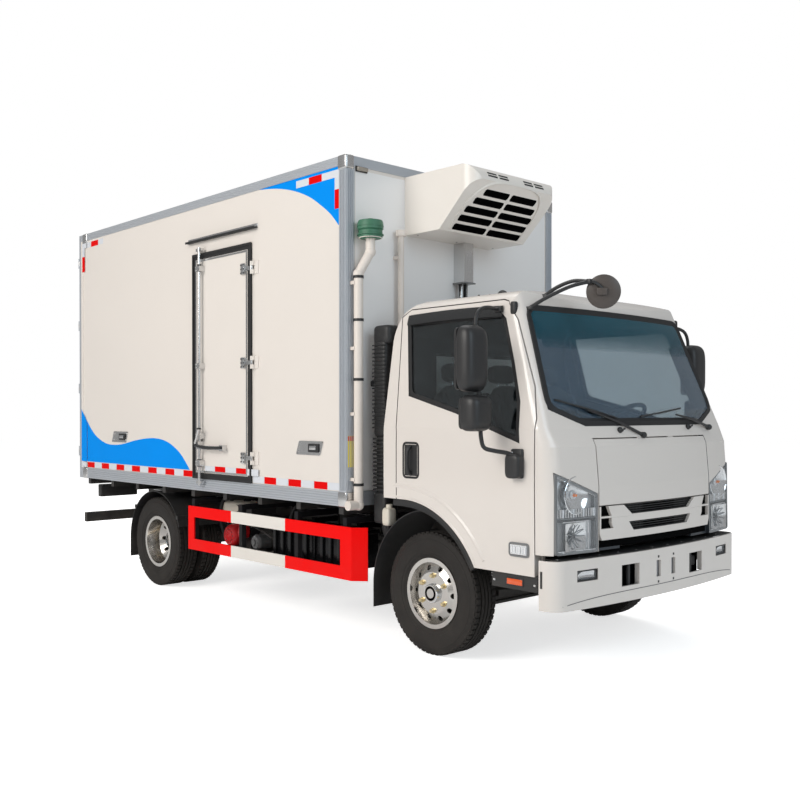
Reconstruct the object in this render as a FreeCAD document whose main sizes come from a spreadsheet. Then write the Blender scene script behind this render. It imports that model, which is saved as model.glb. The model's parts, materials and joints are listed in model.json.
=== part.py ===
"""Light refrigerated truck: ladder chassis, tilting cab, insulated box and its cooling unit.

Millimetres. +X is forward, +Y is the left side, +Z is up. The origin lies on the ground
under the middle of the vehicle.
"""
import FreeCAD, Part
import os
import re
import Sketcher

SIZES = {
    # layout
    "wheelbase": 3360, "rear_axle_x": -1520, "running_gap": 8, "seat_gap": 0.3,
    # tyres and wheels
    "tyre_radius": 387.5, "tyre_width": 205, "tyre_crown": 165, "bead_radius": 203,
    "rim_radius": 222, "rim_width": 170, "rim_wall": 8, "front_rim_face": 950,
    "rear_rim_face": 1000, "twin_pitch": 240, "disc_depth": 30, "dish_depth": 120,
    "disc_wall": 12, "hub_radius": 82, "hub_bore": 60, "hub_length": 90,
    "hand_hole_circle": 162, "hand_hole_radius": 17, "hand_hole_count": 10,
    # axles and steering
    "kingpin_y": 700, "kingpin_radius": 22, "kingpin_height": 170, "spindle_radius": 34,
    "beam_width": 70, "beam_height": 85, "beam_drop": 55, "axle_tube_radius": 65,
    "diff_radius": 165, "diff_length": 300, "shaft_radius": 45, "shaft_front_set": -800,
    "drum_radius": 160, "drum_width": 120,
    # chassis frame
    "frame_width": 760, "rail_height": 190, "rail_flange": 60, "rail_gauge": 7,
    "frame_bottom": 560, "frame_rear": -2780, "frame_front_set": 910, "cross_width": 60,
    "cross_height": 130, "cross_gauge": 6,
    "spring_width": 70, "spring_stack": 62, "spring_half": 610, "spring_eye": 26,
    # engine bay
    "engine_rear_set": -120, "engine_front_set": 560, "engine_half": 290, "engine_bottom": 460,
    "engine_top": 925, "gearbox_half": 165, "gearbox_top": 790,
    "radiator_x_set": 650, "radiator_depth": 60, "radiator_half": 310, "radiator_bottom": 480,
    "radiator_top": 945,
    # load box
    "box_front_set": -655, "box_rear": -2867, "box_width": 2200, "box_bottom": 893,
    "box_top": 3246, "wall": 80, "floor_depth": 100, "skin": 6, "bottom_band": 97,
    "top_band": 65, "post_band": 75, "rear_post": 60, "rear_sill": 90, "rear_header": 80,
    "sill_width": 60, "bearer_depth": 60, "bearer_width": 50,
    # side door of the box
    "side_door_front": 80, "side_door_rear": -750, "side_door_bottom": 994,
    "side_door_top": 2800, "seal_width": 45, "seal_proud": 11, "leaf_gap": 16, "handle_z": 1247,
    "rod_radius": 13, "rod_stand": 32, "rod_inset": 150, "hinge_pin_radius": 11,
    "hinge_height": 95, "hinge_out": 22,
    # rear doors
    "rear_leaf_gap": 6, "rear_leaf_bevel": 6, "rear_rod_inset": 260,
    # cooling unit and pipes
    "unit_y": -110, "unit_half": 445, "unit_round": 100, "unit_bottom": 2770, "unit_top": 3180, "unit_front_set": -5,
    "unit_wall": 22, "duct_width": 96, "duct_depth": 108, "duct_bottom": 2480,
    "vent_radius": 32, "vent_y": -1030, "vent_gap": 45, "vent_bottom": 905,
    "vent_top": 2700, "vent_cap_radius": 78, "vent_cap_height": 105, "pole_radius": 22,
    "pole_y": -640, "pole_bottom": 1000, "pole_top": 2750,
    # cab
    "cab_rear_set": -402, "cab_front_set": 1050, "cab_half": 992, "cab_floor": 1030,
    "cab_under": 967, "roof_z": 2285, "roof_half": 850, "waist_z": 1500,
    "screen_top_z": 2190, "screen_foot_x_set": 980, "screen_foot_z": 1430, "screen_rake": 0.379,
    "corner_radius": 110, "pillar_radius": 62, "pillar_width": 42, "pillar_depth": 60,
    "nose_bow": 65,
    "cab_wall": 62, "front_depth": 95, "cab_bottom": 600, "nose_bottom": 735,
    "arch_x_set": -220, "arch_z": 270, "arch_radius": 697, "well_radius": 500, "well_half": 925,
    "tunnel_half": 400, "tunnel_front_set": 960, "footwell_rear_set": 545, "footwell_floor": 680,
    "footwell_wall": 35, "pivot_x_set": 992, "pivot_z": 752, "pivot_radius": 14,
    "screen_half": 830, "screen_band": 60, "glass": 6,
    # cab doors
    "door_front_set": 850, "door_rear_set": -278, "door_top": 2192, "door_gap": 7,
    "lid_half": 612, "lid_top": 1370, "lid_bottom": 990, "lid_depth": 30,
    "lamp_inner": 620, "lamp_top": 1190, "lamp_bottom": 727, "lamp_depth": 45,
    "grille_bottom": 775, "grille_depth": 26,
    # bumper, guards and steps
    "bumper_front_set": 1080, "bumper_half": 1000, "bumper_rear_set": 890, "bumper_bottom": 420,
    "bumper_top": 700, "bumper_wall": 14, "bumper_corner": 90, "guard_y": 1050, "guard_plate": 12,
    "guard_rear": -920, "guard_front_set": -660, "guard_bottom": 390, "guard_top": 750,
    "guard_bar": 90, "guard_turn": 75, "fender_radius": 440, "fender_gauge": 6, "front_fender_radius": 520,
    "underrun_height": 90, "underrun_depth": 50, "underrun_z": 460,
    "step_height": 90, "step_rear_set": 520, "bumper_arm_z": 500,
    "bumper_lip": 16, "tail_lamp_z": 700,
    # tanks, auxiliary set and air intake
    "tank_rear": -420, "tank_length": 820, "tank_out": 985, "tank_bottom": 400,
    "tank_top": 740, "tank_round": 60, "battery_rear_set": -1220, "battery_length": 420,
    "battery_width": 380, "auxiliary_rear": -760, "auxiliary_length": 700,
    "auxiliary_reach": 520, "auxiliary_bottom": 405, "intake_x_set": -578, "intake_depth": 120,
    "intake_y": 800, "intake_width": 130, "intake_foot": 780, "intake_mouth": 1250,
    "intake_top": 2000,
    # lamps, mirrors, glass and seats
    "rear_glass_half": 560, "glass_inset": 10, "mirror_x_set": 555, "mirror_y": 1105,
    "mirror_width": 190, "mirror_z": 1645, "view_mirror_radius": 98, "steering_radius": 205,
    "duct_y": -8, "line_bottom": 1050,
}

doc = FreeCAD.newDocument("RefrigeratedTruck")
sheet = doc.addObject("Spreadsheet::Sheet", "Sizes")
for row, (alias, amount) in enumerate(SIZES.items(), start=1):
    sheet.set(f"A{row}", alias)
    sheet.set(f"B{row}", str(amount))
    sheet.setAlias(f"B{row}", alias)
for row, alias in enumerate([name for name in SIZES if name.endswith("_set")], start=len(SIZES) + 1):
    sheet.set(f"A{row}", alias[:-4])
    sheet.set(f"B{row}", f"=rear_axle_x + wheelbase + {alias}")
    sheet.setAlias(f"B{row}", alias[:-4])
doc.recompute()

nodes = []


def ref(text):
    """Gives a formula in which each size is read from the sheet."""
    return re.sub(r"[a-z][a-z_]*", lambda word: f"Sizes.{word[0]}" if sheet.getCellFromAlias(word[0]) else word[0],
                  str(text))


def amount_of(text):
    """Gives the present number of a formula."""
    return float(sheet.evalExpression(ref(text)))


def bind(thing, key, text):
    """Ties one property to a formula of the sheet."""
    thing.setExpression(key, ref(text))


def place(thing, x=0, y=0, z=0):
    """Ties a position to formulas of the sheet."""
    for axis, text in (("x", x), ("y", y), ("z", z)):
        bind(thing, f"Placement.Base.{axis}", text)
    return thing


def block(name, x, y, z):
    """Makes a box from its two limits along each axis."""
    thing = doc.addObject("Part::Box", name)
    for key, (low, high) in (("Length", x), ("Width", y), ("Height", z)):
        bind(thing, key, f"({high}) - ({low})")
    return place(thing, x[0], y[0], z[0])


def rod(name, radius, axis, span, at):
    """Makes a cylinder along an axis, over a span, with its centre at the other two places."""
    thing = doc.addObject("Part::Cylinder", name)
    bind(thing, "Radius", radius)
    bind(thing, "Height", f"({span[1]}) - ({span[0]})")
    turns = {"x": FreeCAD.Rotation(FreeCAD.Vector(0, 1, 0), 90),
             "y": FreeCAD.Rotation(FreeCAD.Vector(1, 0, 0), -90),
             "z": FreeCAD.Rotation()}
    thing.Placement.Rotation = turns[axis]
    spots = {"x": (span[0], at[0], at[1]), "y": (at[0], span[0], at[1]),
             "z": (at[0], at[1], span[0])}
    return place(thing, *spots[axis])


def outline(body, plane, corners):
    """Draws a closed outline whose corners, and middles of arcs, are tied to the sheet.

    A corner is (across, up) or, where an arc leads to it, (across, up, middle across, middle up).
    """
    sketch = body.newObject("Sketcher::SketchObject", f"{body.Name}_outline")
    support = [feature for feature in body.Origin.OriginFeatures if feature.Role == plane][0]
    sketch.AttachmentSupport = [(support, "")]
    sketch.MapMode = "FlatFace"
    spots = [FreeCAD.Vector(amount_of(c[0]), amount_of(c[1]), 0) for c in corners]
    for index, corner in enumerate(corners):
        start = spots[index - 1]
        if len(corner) == 2:
            sketch.addGeometry(Part.LineSegment(start, spots[index]), False)
        else:
            middle = FreeCAD.Vector(amount_of(corner[2]), amount_of(corner[3]), 0)
            sketch.addGeometry(Part.Arc(start, middle, spots[index]), False)
    sides = [ends(curve) for curve in sketch.Geometry]
    rules = []
    formulas = []

    def tie(index, end, across, up):
        for kind, text in (("DistanceX", across), ("DistanceY", up)):
            formulas.append((len(rules), text))
            rules.append(Sketcher.Constraint(kind, -1, 1, index, end, amount_of(text)))

    for index, corner in enumerate(corners):
        following = (index + 1) % len(corners)
        tie(index, sides[index][1], corner[0], corner[1])
        rules.append(Sketcher.Constraint("Coincident", index, sides[index][1],
                                         following, sides[following][0]))
        if len(corner) == 4:
            middle = FreeCAD.Vector(amount_of(corner[2]), amount_of(corner[3]), 0)
            point = sketch.addGeometry(Part.Point(middle), True)
            tie(point, 1, corner[2], corner[3])
            rules.append(Sketcher.Constraint("PointOnObject", point, 1, index))
    sketch.addConstraint(rules)
    for number, text in formulas:
        bind(sketch, f"Constraints[{number}]", text)
    return sketch


def ends(curve):
    """Tells which end of a line or arc is its first and which its last, as arcs run one way."""
    return (2, 1) if hasattr(curve, "Axis") and curve.Axis.z < 0 else (1, 2)


PLANES = {"x": "YZ_Plane", "y": "XZ_Plane", "z": "XY_Plane"}


def prism(name, axis, corners, span):
    """Pads an outline along an axis, over a span."""
    body = doc.addObject("PartDesign::Body", name)
    sketch = outline(body, PLANES[axis], corners)
    pad = body.newObject("PartDesign::Pad", f"{name}_pad")
    pad.Profile = sketch
    pad.Reversed = axis == "y"
    bind(pad, "Length", f"({span[1]}) - ({span[0]})")
    spots = {"x": (span[0], 0, 0), "y": (0, span[0], 0), "z": (0, 0, span[0])}
    return place(body, *spots[axis])


def turned(name, corners, x=0, y=0, z=0):
    """Revolves an outline, drawn as (along Y, radius), about the Y axis."""
    body = doc.addObject("PartDesign::Body", name)
    sketch = outline(body, "YZ_Plane", corners)
    ring = body.newObject("PartDesign::Revolution", f"{name}_turn")
    ring.Profile = sketch
    ring.ReferenceAxis = (sketch, ["H_Axis"])
    ring.Angle = 360
    return place(body, x, y, z)


def soften(body, axis, radius, spots):
    """Rounds the edges along an axis that stand at the given outline corners."""
    doc.recompute()
    shape = body.Tip.Shape
    keys = {"x": ("y", "z"), "y": ("x", "z"), "z": ("x", "y")}[axis]
    base = body.Placement.Base
    names = []
    for spot in spots:
        aim = [amount_of(text) for text in spot]
        for number, edge in enumerate(shape.Edges, start=1):
            points = [vertex.Point for vertex in edge.Vertexes]
            if len(points) == 2 and all(abs(getattr(point, key) - goal) < 0.01
                                        for point in points for key, goal in zip(keys, aim)):
                names.append(f"Edge{number}")
    solid = body.Tip
    rounding = body.newObject("PartDesign::Fillet", f"{body.Name}_round{len(body.Group)}")
    rounding.Base = (solid, names)
    bind(rounding, "Radius", radius)
    body.Tip = rounding
    return body


def join(name, *pieces):
    """Fuses pieces into one solid."""
    thing = doc.addObject("Part::MultiFuse", name)
    thing.Shapes = list(pieces)
    thing.Refine = True
    return thing


def shared(name, *pieces):
    """Keeps what lies in all pieces."""
    thing = doc.addObject("Part::MultiCommon", name)
    thing.Shapes = list(pieces)
    return thing


def cut(name, base, *tools):
    """Takes the tools away from the base."""
    for number, tool in enumerate(tools, start=1):
        thing = doc.addObject("Part::Cut", f"{name}_cut{number}" if number < len(tools) else name)
        thing.Base = base
        thing.Tool = tool
        base = thing
    return base


def group(name, *pieces):
    """Keeps like pieces that don't touch in one sub-part."""
    thing = doc.addObject("Part::Compound", name)
    thing.Links = list(pieces)
    return thing


def mirrored(name, source):
    """Mirrors a piece to the other side of the vehicle."""
    thing = doc.addObject("Part::Mirroring", name)
    thing.Source = source
    thing.Normal = FreeCAD.Vector(0, 1, 0)
    return thing


def pair(name, source):
    """Keeps a piece and its mirror image in one sub-part."""
    return group(name, source, mirrored(f"{name}_mirror", source))


def keep(name, thing):
    """Names a finished sub-part."""
    thing.Label = name
    nodes.append(thing)
    return thing


FRONT_AXLE = "rear_axle_x + wheelbase"
FRAME_TOP = "frame_bottom + rail_height"
BOX_HALF = "box_width / 2"
PANEL_Y = "box_width / 2 - skin"
PANEL_FRONT = "box_front - skin"
PANEL_TOP = "box_top - skin"
FLOOR_TOP = "box_bottom + floor_depth"


ARM = (("frame_width / 2 - rail_flange", "frame_width / 2 - 10"),
       ("bumper_arm_z - 55", "bumper_arm_z"))


def bumper_plan(name, inset, low, high):
    """Plan outline of the bumper, drawn in by an inset, between two levels."""
    half = f"(bumper_half - ({inset}))"
    front = f"(bumper_front - ({inset}))"
    side_x = f"{front} - nose_bow - bumper_corner * 0.986"
    mid_x = f"{front} - nose_bow - bumper_corner * 0.343"
    mid_y = f"({half} - bumper_corner * 0.234)"
    end_y = f"({half} - bumper_corner * 0.835)"
    return prism(name, "z", [
        ("bumper_rear", f"-{half}"), (side_x, f"-{half}"),
        (f"{front} - nose_bow", f"-{end_y}", mid_x, f"-{mid_y}"),
        (f"{front} - nose_bow", end_y, front, 0),
        (side_x, half, mid_x, mid_y), ("bumper_rear", half)], (low, high))


def chassis_frame():
    """Ladder frame: two channel rails, channel cross members, cab pivots and rear cab rest."""
    outer = "frame_width / 2"
    rail = prism("rail", "x", [
        (outer, "frame_bottom"), (outer, FRAME_TOP),
        (f"{outer} - rail_flange", FRAME_TOP),
        (f"{outer} - rail_flange", f"{FRAME_TOP} - rail_gauge"),
        (f"{outer} - rail_gauge", f"{FRAME_TOP} - rail_gauge"),
        (f"{outer} - rail_gauge", "frame_bottom + rail_gauge"),
        (f"{outer} - rail_flange", "frame_bottom + rail_gauge"),
        (f"{outer} - rail_flange", "frame_bottom")], ("frame_rear", "frame_front"))
    pieces = [rail, mirrored("rail_right", rail)]
    low = "frame_bottom + (rail_height - cross_height) / 2"
    high = f"{low} + cross_height"
    stations = ["frame_rear + 40", "rear_axle_x - spring_half - 60", "rear_axle_x + spring_half + 60",
                "rear_axle_x + 1700",
                "shaft_front - 150", "frame_front - cross_width - 20"]
    for number, station in enumerate(stations):
        far = f"{station} + cross_width"
        pieces.append(prism(f"cross{number}", "y", [
            (station, low), (far, low), (far, f"{low} + cross_gauge"),
            (f"{station} + cross_gauge", f"{low} + cross_gauge"),
            (f"{station} + cross_gauge", f"{high} - cross_gauge"),
            (far, f"{high} - cross_gauge"), (far, high), (station, high)],
            (f"rail_gauge / 2 - {outer}", f"{outer} - rail_gauge / 2")))
    pin = rod("pivot_pin", "pivot_radius", "y",
              (f"{outer} - rail_gauge", "tunnel_half + footwell_wall - 2"), ("pivot_x", "pivot_z"))
    ear = join("pivot_ear", rod("ear_end", "pivot_radius + 8", "y", (f"{outer} - rail_gauge", outer),
                                ("pivot_x", "pivot_z")),
               block("ear_bar", ("frame_front - 90", "pivot_x"), (f"{outer} - rail_gauge", outer),
                     ("pivot_z - pivot_radius - 8", "pivot_z + 12")))
    post = block("rest_post", ("cab_rear + 10", "cab_rear + 70"),
                 (f"{outer} - rail_flange", outer), (f"{FRAME_TOP} - 10", "cab_under - seat_gap"))
    pieces += [pin, mirrored("pivot_pin_right", pin), ear, mirrored("pivot_ear_right", ear)]
    pieces += [post, mirrored("rest_post_right", post)]
    pieces.append(block("rest_bar", ("cab_rear + 10", "cab_rear + 70"),
                        (f"-({outer})", outer), ("cab_under - 62", "cab_under - 12")))
    arm = join("bumper_arm", block("arm_rear", ("frame_front - 120", "bumper_rear + 10"), *ARM),
               shared("arm_tip", block("arm_front", ("bumper_rear", "bumper_front"), *ARM),
                      bumper_plan("arm_limit", "bumper_wall + seat_gap", "bumper_bottom",
                                  "bumper_top")))
    hanger = block("bumper_hanger", ("frame_front - 120", "frame_front - 20"),
                   (f"{outer} - rail_flange", f"{outer} - 10"),
                   ("bumper_arm_z - 20", "frame_bottom + rail_gauge"))
    pieces += [arm, mirrored("bumper_arm_right", arm), hanger, mirrored("hanger_right", hanger)]
    keep("chassis_frame", join("chassis_frame", *pieces))


def body_sills():
    """Long sills on the rails and the bearers that carry the floor of the box."""
    outer = "frame_width / 2"
    top = "box_bottom - bearer_depth"
    sill = block("sill", ("box_rear + 60", "box_front - 40"), (f"{outer} - sill_width", outer),
                 (FRAME_TOP, top))
    pieces = [sill, mirrored("sill_right", sill)]
    count = 9
    for number in range(count):
        middle = f"box_rear + 130 + (box_front - box_rear - 230) * {number} / {count - 1}"
        pieces.append(block(f"bearer{number}",
                            (f"{middle} - bearer_width / 2", f"{middle} + bearer_width / 2"),
                            ("40 - box_width / 2", "box_width / 2 - 40"), (f"{top} + seat_gap", "box_bottom")))
    keep("body_sills", group("body_sills", *pieces))


def front_axle():
    """Dropped I-beam with an eye at each end for the kingpin."""
    bottom = "tyre_radius - beam_drop - beam_height"
    middle = f"{bottom} + beam_height"
    beam = prism("beam", "x", [
        ("25 - kingpin_y", "tyre_radius - 45"), ("45 - kingpin_y", "tyre_radius - 45"),
        ("190 - kingpin_y", bottom), ("kingpin_y - 190", bottom),
        ("kingpin_y - 45", "tyre_radius - 45"), ("kingpin_y - 25", "tyre_radius - 45"),
        ("kingpin_y - 25", "tyre_radius + 45"), ("kingpin_y - 60", "tyre_radius + 45"),
        ("kingpin_y - 220", middle), ("220 - kingpin_y", middle),
        ("60 - kingpin_y", "tyre_radius + 45"), ("25 - kingpin_y", "tyre_radius + 45")],
        (f"{FRONT_AXLE} - beam_width / 2", f"{FRONT_AXLE} + beam_width / 2"))
    waist = block("waist", (f"{FRONT_AXLE} + 12", f"{FRONT_AXLE} + beam_width"),
                  ("240 - kingpin_y", "kingpin_y - 240"), (f"{bottom} + 18", f"{middle} - 18"))
    behind = block("waist_rear", (f"{FRONT_AXLE} - beam_width", f"{FRONT_AXLE} - 12"),
                   ("240 - kingpin_y", "kingpin_y - 240"), (f"{bottom} + 18", f"{middle} - 18"))
    pads = []
    for side in (-1, 1):
        pads.append(rod(f"beam_eye{side}", "kingpin_radius + 18", "z",
                        ("tyre_radius - 45", "tyre_radius + 45"),
                        (FRONT_AXLE, f"{side} * kingpin_y")))
    bores = []
    for side in (-1, 1):
        bores.append(rod(f"beam_bore{side}", "kingpin_radius + seat_gap", "z",
                         ("tyre_radius - 60", "tyre_radius + 60"),
                         (FRONT_AXLE, f"{side} * kingpin_y")))
    seats = []
    for side in (-1, 1):
        middle_y = f"{side} * (frame_width / 2 - spring_width / 2)"
        seats.append(block(f"beam_seat{side}", (f"{FRONT_AXLE} - 60", f"{FRONT_AXLE} + 60"),
                           (f"{middle_y} - spring_width / 2", f"{middle_y} + spring_width / 2"),
                           (f"{middle} - 30", f"{middle} + 12")))
    keep("front_axle", cut("front_axle", join("axle_beam", cut("beam_waist", beam, waist, behind),
                                              *pads, *seats), *bores))


def rear_axle():
    """Axle tube with its differential housing, and the propeller shaft that drives it."""
    centre = ("rear_axle_x", "tyre_radius")
    end = f"{MOUNT} - disc_wall - drum_width - seat_gap"
    tube = rod("axle_tube", "axle_tube_radius", "y", (f"-({end})", end), centre)
    housing = turned("differential", [
        ("-diff_length / 2", 0), ("-diff_length / 2", "axle_tube_radius"),
        ("-diff_length / 5", "diff_radius"), ("diff_length / 5", "diff_radius"),
        ("diff_length / 2", "axle_tube_radius"), ("diff_length / 2", 0)],
        "rear_axle_x", 0, "tyre_radius")
    nose = rod("diff_nose", "diff_radius / 2", "x", ("rear_axle_x", "rear_axle_x + 300"),
               (0, "tyre_radius + 20"))
    shaft = rod("shaft", "shaft_radius", "x", ("rear_axle_x + 290", "shaft_front - seat_gap"),
                (0, "tyre_radius + 60"))
    flange = rod("flange", "shaft_radius + 20", "x",
                 ("rear_axle_x + 290", "rear_axle_x + 330"), (0, "tyre_radius + 50"))
    seats = []
    for side in (-1, 1):
        middle_y = f"{side} * (frame_width / 2 - spring_width / 2)"
        seats.append(block(f"tube_seat{side}", ("rear_axle_x - 60", "rear_axle_x + 60"),
                           (f"{middle_y} - spring_width / 2", f"{middle_y} + spring_width / 2"),
                           ("tyre_radius + 20", "tyre_radius + axle_tube_radius + 10")))
    keep("rear_axle", join("rear_axle", tube, housing, nose, shaft, flange, *seats))


def leaf_springs():
    """Four leaf packs with their eyes and hangers under the rails."""
    springs = []
    for name, axle, seat in (("front", FRONT_AXLE, "tyre_radius - beam_drop + 12"),
                             ("rear", "rear_axle_x", "tyre_radius + axle_tube_radius + 10")):
        rise = "frame_bottom - 38"
        pack = prism(f"{name}_pack", "y", [
            (f"{axle} - spring_half", f"{rise} - 12"),
            (f"{axle} - spring_half / 2", f"({seat} + {rise}) / 2 - 22"),
            (f"{axle} - 70", seat), (f"{axle} + 70", seat),
            (f"{axle} + spring_half / 2", f"({seat} + {rise}) / 2 - 22"),
            (f"{axle} + spring_half", f"{rise} - 12"), (f"{axle} + spring_half", f"{rise} + 2"),
            (f"{axle} + spring_half / 2", f"({seat} + {rise}) / 2 + 12"),
            (f"{axle} + 90", f"{seat} + spring_stack * 0.7"),
            (f"{axle} - 90", f"{seat} + spring_stack * 0.7"),
            (f"{axle} - spring_half / 2", f"({seat} + {rise}) / 2 + 12"),
            (f"{axle} - spring_half", f"{rise} + 2")],
            ("frame_width / 2 - spring_width", "frame_width / 2"))
        parts = [pack]
        for end in (-1, 1):
            eye_x = f"{axle} + {end} * spring_half"
            parts.append(rod(f"{name}_eye{end}", "spring_eye", "y",
                             ("frame_width / 2 - spring_width", "frame_width / 2"),
                             (eye_x, f"{rise} - 5")))
            parts.append(block(f"{name}_hanger{end}", (f"{eye_x} - 24", f"{eye_x} + 24"),
                               ("frame_width / 2 - spring_width", "frame_width / 2"),
                               (f"{rise} - 5", "frame_bottom")))
        spring = join(f"{name}_spring", *parts)
        springs += [spring, mirrored(f"{name}_spring_right", spring)]
    keep("leaf_springs", group("leaf_springs", *springs))


def engine_bay():
    """Engine with its gearbox as one plain mass, and the radiator ahead of it."""
    engine = block("engine", ("engine_rear", "engine_front"), ("-engine_half", "engine_half"),
                   ("engine_bottom", "engine_top"))
    gearbox = block("gearbox", ("shaft_front", "engine_rear"), ("-gearbox_half", "gearbox_half"),
                    ("tyre_radius + 20", "gearbox_top"))
    brace = block("engine_foot", ("engine_rear + 300", "engine_rear + 380"),
                  ("rail_gauge - frame_width / 2", "frame_width / 2 - rail_gauge"),
                  ("frame_bottom + 20", "frame_bottom + 80"))
    tail = block("gearbox_foot", ("shaft_front + 70", "shaft_front + 130"),
                 ("rail_gauge - frame_width / 2", "frame_width / 2 - rail_gauge"),
                 ("frame_bottom + 20", "frame_bottom + 70"))
    keep("engine_block", join("engine_block", engine, gearbox, brace, tail))
    core = block("core", ("radiator_x", "radiator_x + radiator_depth"),
                 ("-radiator_half", "radiator_half"), ("radiator_bottom", "radiator_top"))
    foot = block("core_foot", ("radiator_x + 5", "radiator_x + radiator_depth - 5"),
                 ("rail_gauge - frame_width / 2", "frame_width / 2 - rail_gauge"),
                 ("frame_bottom + 30", "frame_bottom + 90"))
    keep("radiator", join("radiator", core, foot))


def tanks():
    """Fuel tank and battery box on the left rail, auxiliary motor set on the right rail."""
    rail = "frame_width / 2"
    tank = prism("tank", "x", [
        (f"{rail} + 60", "tank_bottom"), ("tank_out", "tank_bottom"), ("tank_out", "tank_top"),
        (f"{rail} + 60", "tank_top")], ("tank_rear", "tank_rear + tank_length"))
    soften(tank, "x", "tank_round", [(f"{rail} + 60", "tank_bottom"), ("tank_out", "tank_bottom"),
                                     ("tank_out", "tank_top"), (f"{rail} + 60", "tank_top")])
    straps = []
    for share in ("0.2", "0.8"):
        straps.append(block(f"strap{share[2]}",
                            (f"tank_rear + tank_length * {share} - 20",
                             f"tank_rear + tank_length * {share} + 20"),
                            (rail, f"{rail} + 90"), ("tank_bottom + 60", "tank_top - 30")))
    keep("fuel_tank", join("fuel_tank", tank, *straps))
    keep("battery_box", block("battery_box", ("battery_rear", "battery_rear + battery_length"),
                              (rail, f"{rail} + battery_width"),
                              ("tank_bottom + 40", "tank_bottom + 285")))
    side = f"-({rail})"
    tray = block("tray", ("auxiliary_rear", "auxiliary_rear + auxiliary_length"),
                 (f"{side} - auxiliary_reach", side), ("auxiliary_bottom - 25", "auxiliary_bottom"))
    back = block("tray_back", ("auxiliary_rear", "auxiliary_rear + auxiliary_length"),
                 (f"{side} - 20", side), ("auxiliary_bottom - 25", "frame_bottom + 85"))
    crank = block("crankcase", ("auxiliary_rear + 60", "auxiliary_rear + 330"),
                  (f"{side} - 380", f"{side} - 120"), ("auxiliary_bottom", "auxiliary_bottom + 210"))
    starter = rod("starter", 88, "y", (f"{side} - 460", f"{side} - 380"),
                  ("auxiliary_rear + 175", "auxiliary_bottom + 110"))
    fuel = block("small_tank", ("auxiliary_rear + 40", "auxiliary_rear + 400"),
                 (f"{side} - 420", f"{side} - 180"),
                 ("auxiliary_bottom + 290", "auxiliary_bottom + 360"))
    neck = block("small_neck", ("auxiliary_rear + 130", "auxiliary_rear + 270"),
                 (f"{side} - 360", f"{side} - 220"),
                 ("auxiliary_bottom + 200", "auxiliary_bottom + 300"))
    head = rod("compressor", 85, "x", ("auxiliary_rear + 380", "auxiliary_rear + 640"),
               (f"{side} - 260", "auxiliary_bottom + 85"))
    keep("auxiliary_engine", join("auxiliary_engine", tray, back, crank, starter, fuel, neck, head))


def guards():
    """Side guards with their brackets, mudguards, rear under-run bar and the air intake."""
    inner = "guard_y - guard_plate"
    plate = block("guard_face", ("guard_rear", "guard_front"), (inner, "guard_y"),
                  ("guard_bottom", "guard_top"))
    hole = block("guard_hole", ("guard_rear + guard_bar", "guard_front - guard_bar - 30"),
                 (f"{inner} - 5", "guard_y + 5"),
                 ("guard_bottom + guard_bar", "guard_top - guard_bar"))
    ends = prism("guard_return", "z", [
        ("guard_front", "guard_y"), ("guard_front", inner),
        ("guard_front + guard_turn - 4", f"{inner} - guard_turn"),
        ("guard_front + guard_turn + 6", f"guard_y - guard_turn")], ("guard_bottom", "guard_top"))
    arms = []
    for number, share in enumerate((0.03, 0.36, 0.7, 0.96)):
        station = f"guard_rear + (guard_front - guard_rear) * {share}"
        arms.append(block(f"guard_post{number}", (f"{station} - 20", f"{station} + 20"),
                          (f"{inner} - 40", inner), ("guard_bottom + 20", "guard_top + 60")))
        arms.append(block(f"guard_arm{number}", (f"{station} - 20", f"{station} + 20"),
                          ("frame_width / 2", inner), ("guard_top + 20", "guard_top + 60")))
        arms.append(block(f"guard_foot{number}", (f"{station} - 20", f"{station} + 20"),
                          ("frame_width / 2", "frame_width / 2 + sill_width"),
                          ("frame_bottom + 130", "guard_top + 60")))
    guard = join("side_guard", cut("guard_frame", plate, hole), ends, *arms)
    keep("side_guards", pair("side_guards", guard))

    depth = ("frame_rear - underrun_depth - seat_gap", "frame_rear - seat_gap")
    bar = block("underrun_bar", depth, ("30 - box_width / 2", "box_width / 2 - 30"),
                ("underrun_z", "underrun_z + underrun_height"))
    leg = block("underrun_leg", depth, ("frame_width / 2 - rail_flange", "frame_width / 2"),
                ("underrun_z + 10", f"{FRAME_TOP} - 10"))
    keep("rear_underrun", join("rear_underrun", bar, leg, mirrored("underrun_leg_right", leg)))

    high = block("intake_head", ("intake_x", "intake_x + intake_depth"),
                 ("-intake_y - intake_width", "-intake_y"), ("intake_mouth", "intake_top"))
    tube = block("intake_tube", ("intake_x + 15", "intake_x + intake_depth - 15"),
                 ("15 - intake_y - intake_width", "-intake_y - 15"), ("intake_foot", "intake_mouth"))
    elbow = block("intake_elbow", ("intake_x + 15", "intake_x + intake_depth - 15"),
                  ("-intake_y - 60", "-(frame_width / 2)"), ("intake_foot", "intake_foot + 90"))
    drop = block("intake_drop", ("intake_x + 15", "intake_x + intake_depth - 15"),
                 ("-(frame_width / 2) - 60", "-(frame_width / 2)"),
                 ("frame_bottom + 80", "intake_foot + 90"))
    keep("air_intake", join("air_intake", high, tube, elbow, drop))


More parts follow.
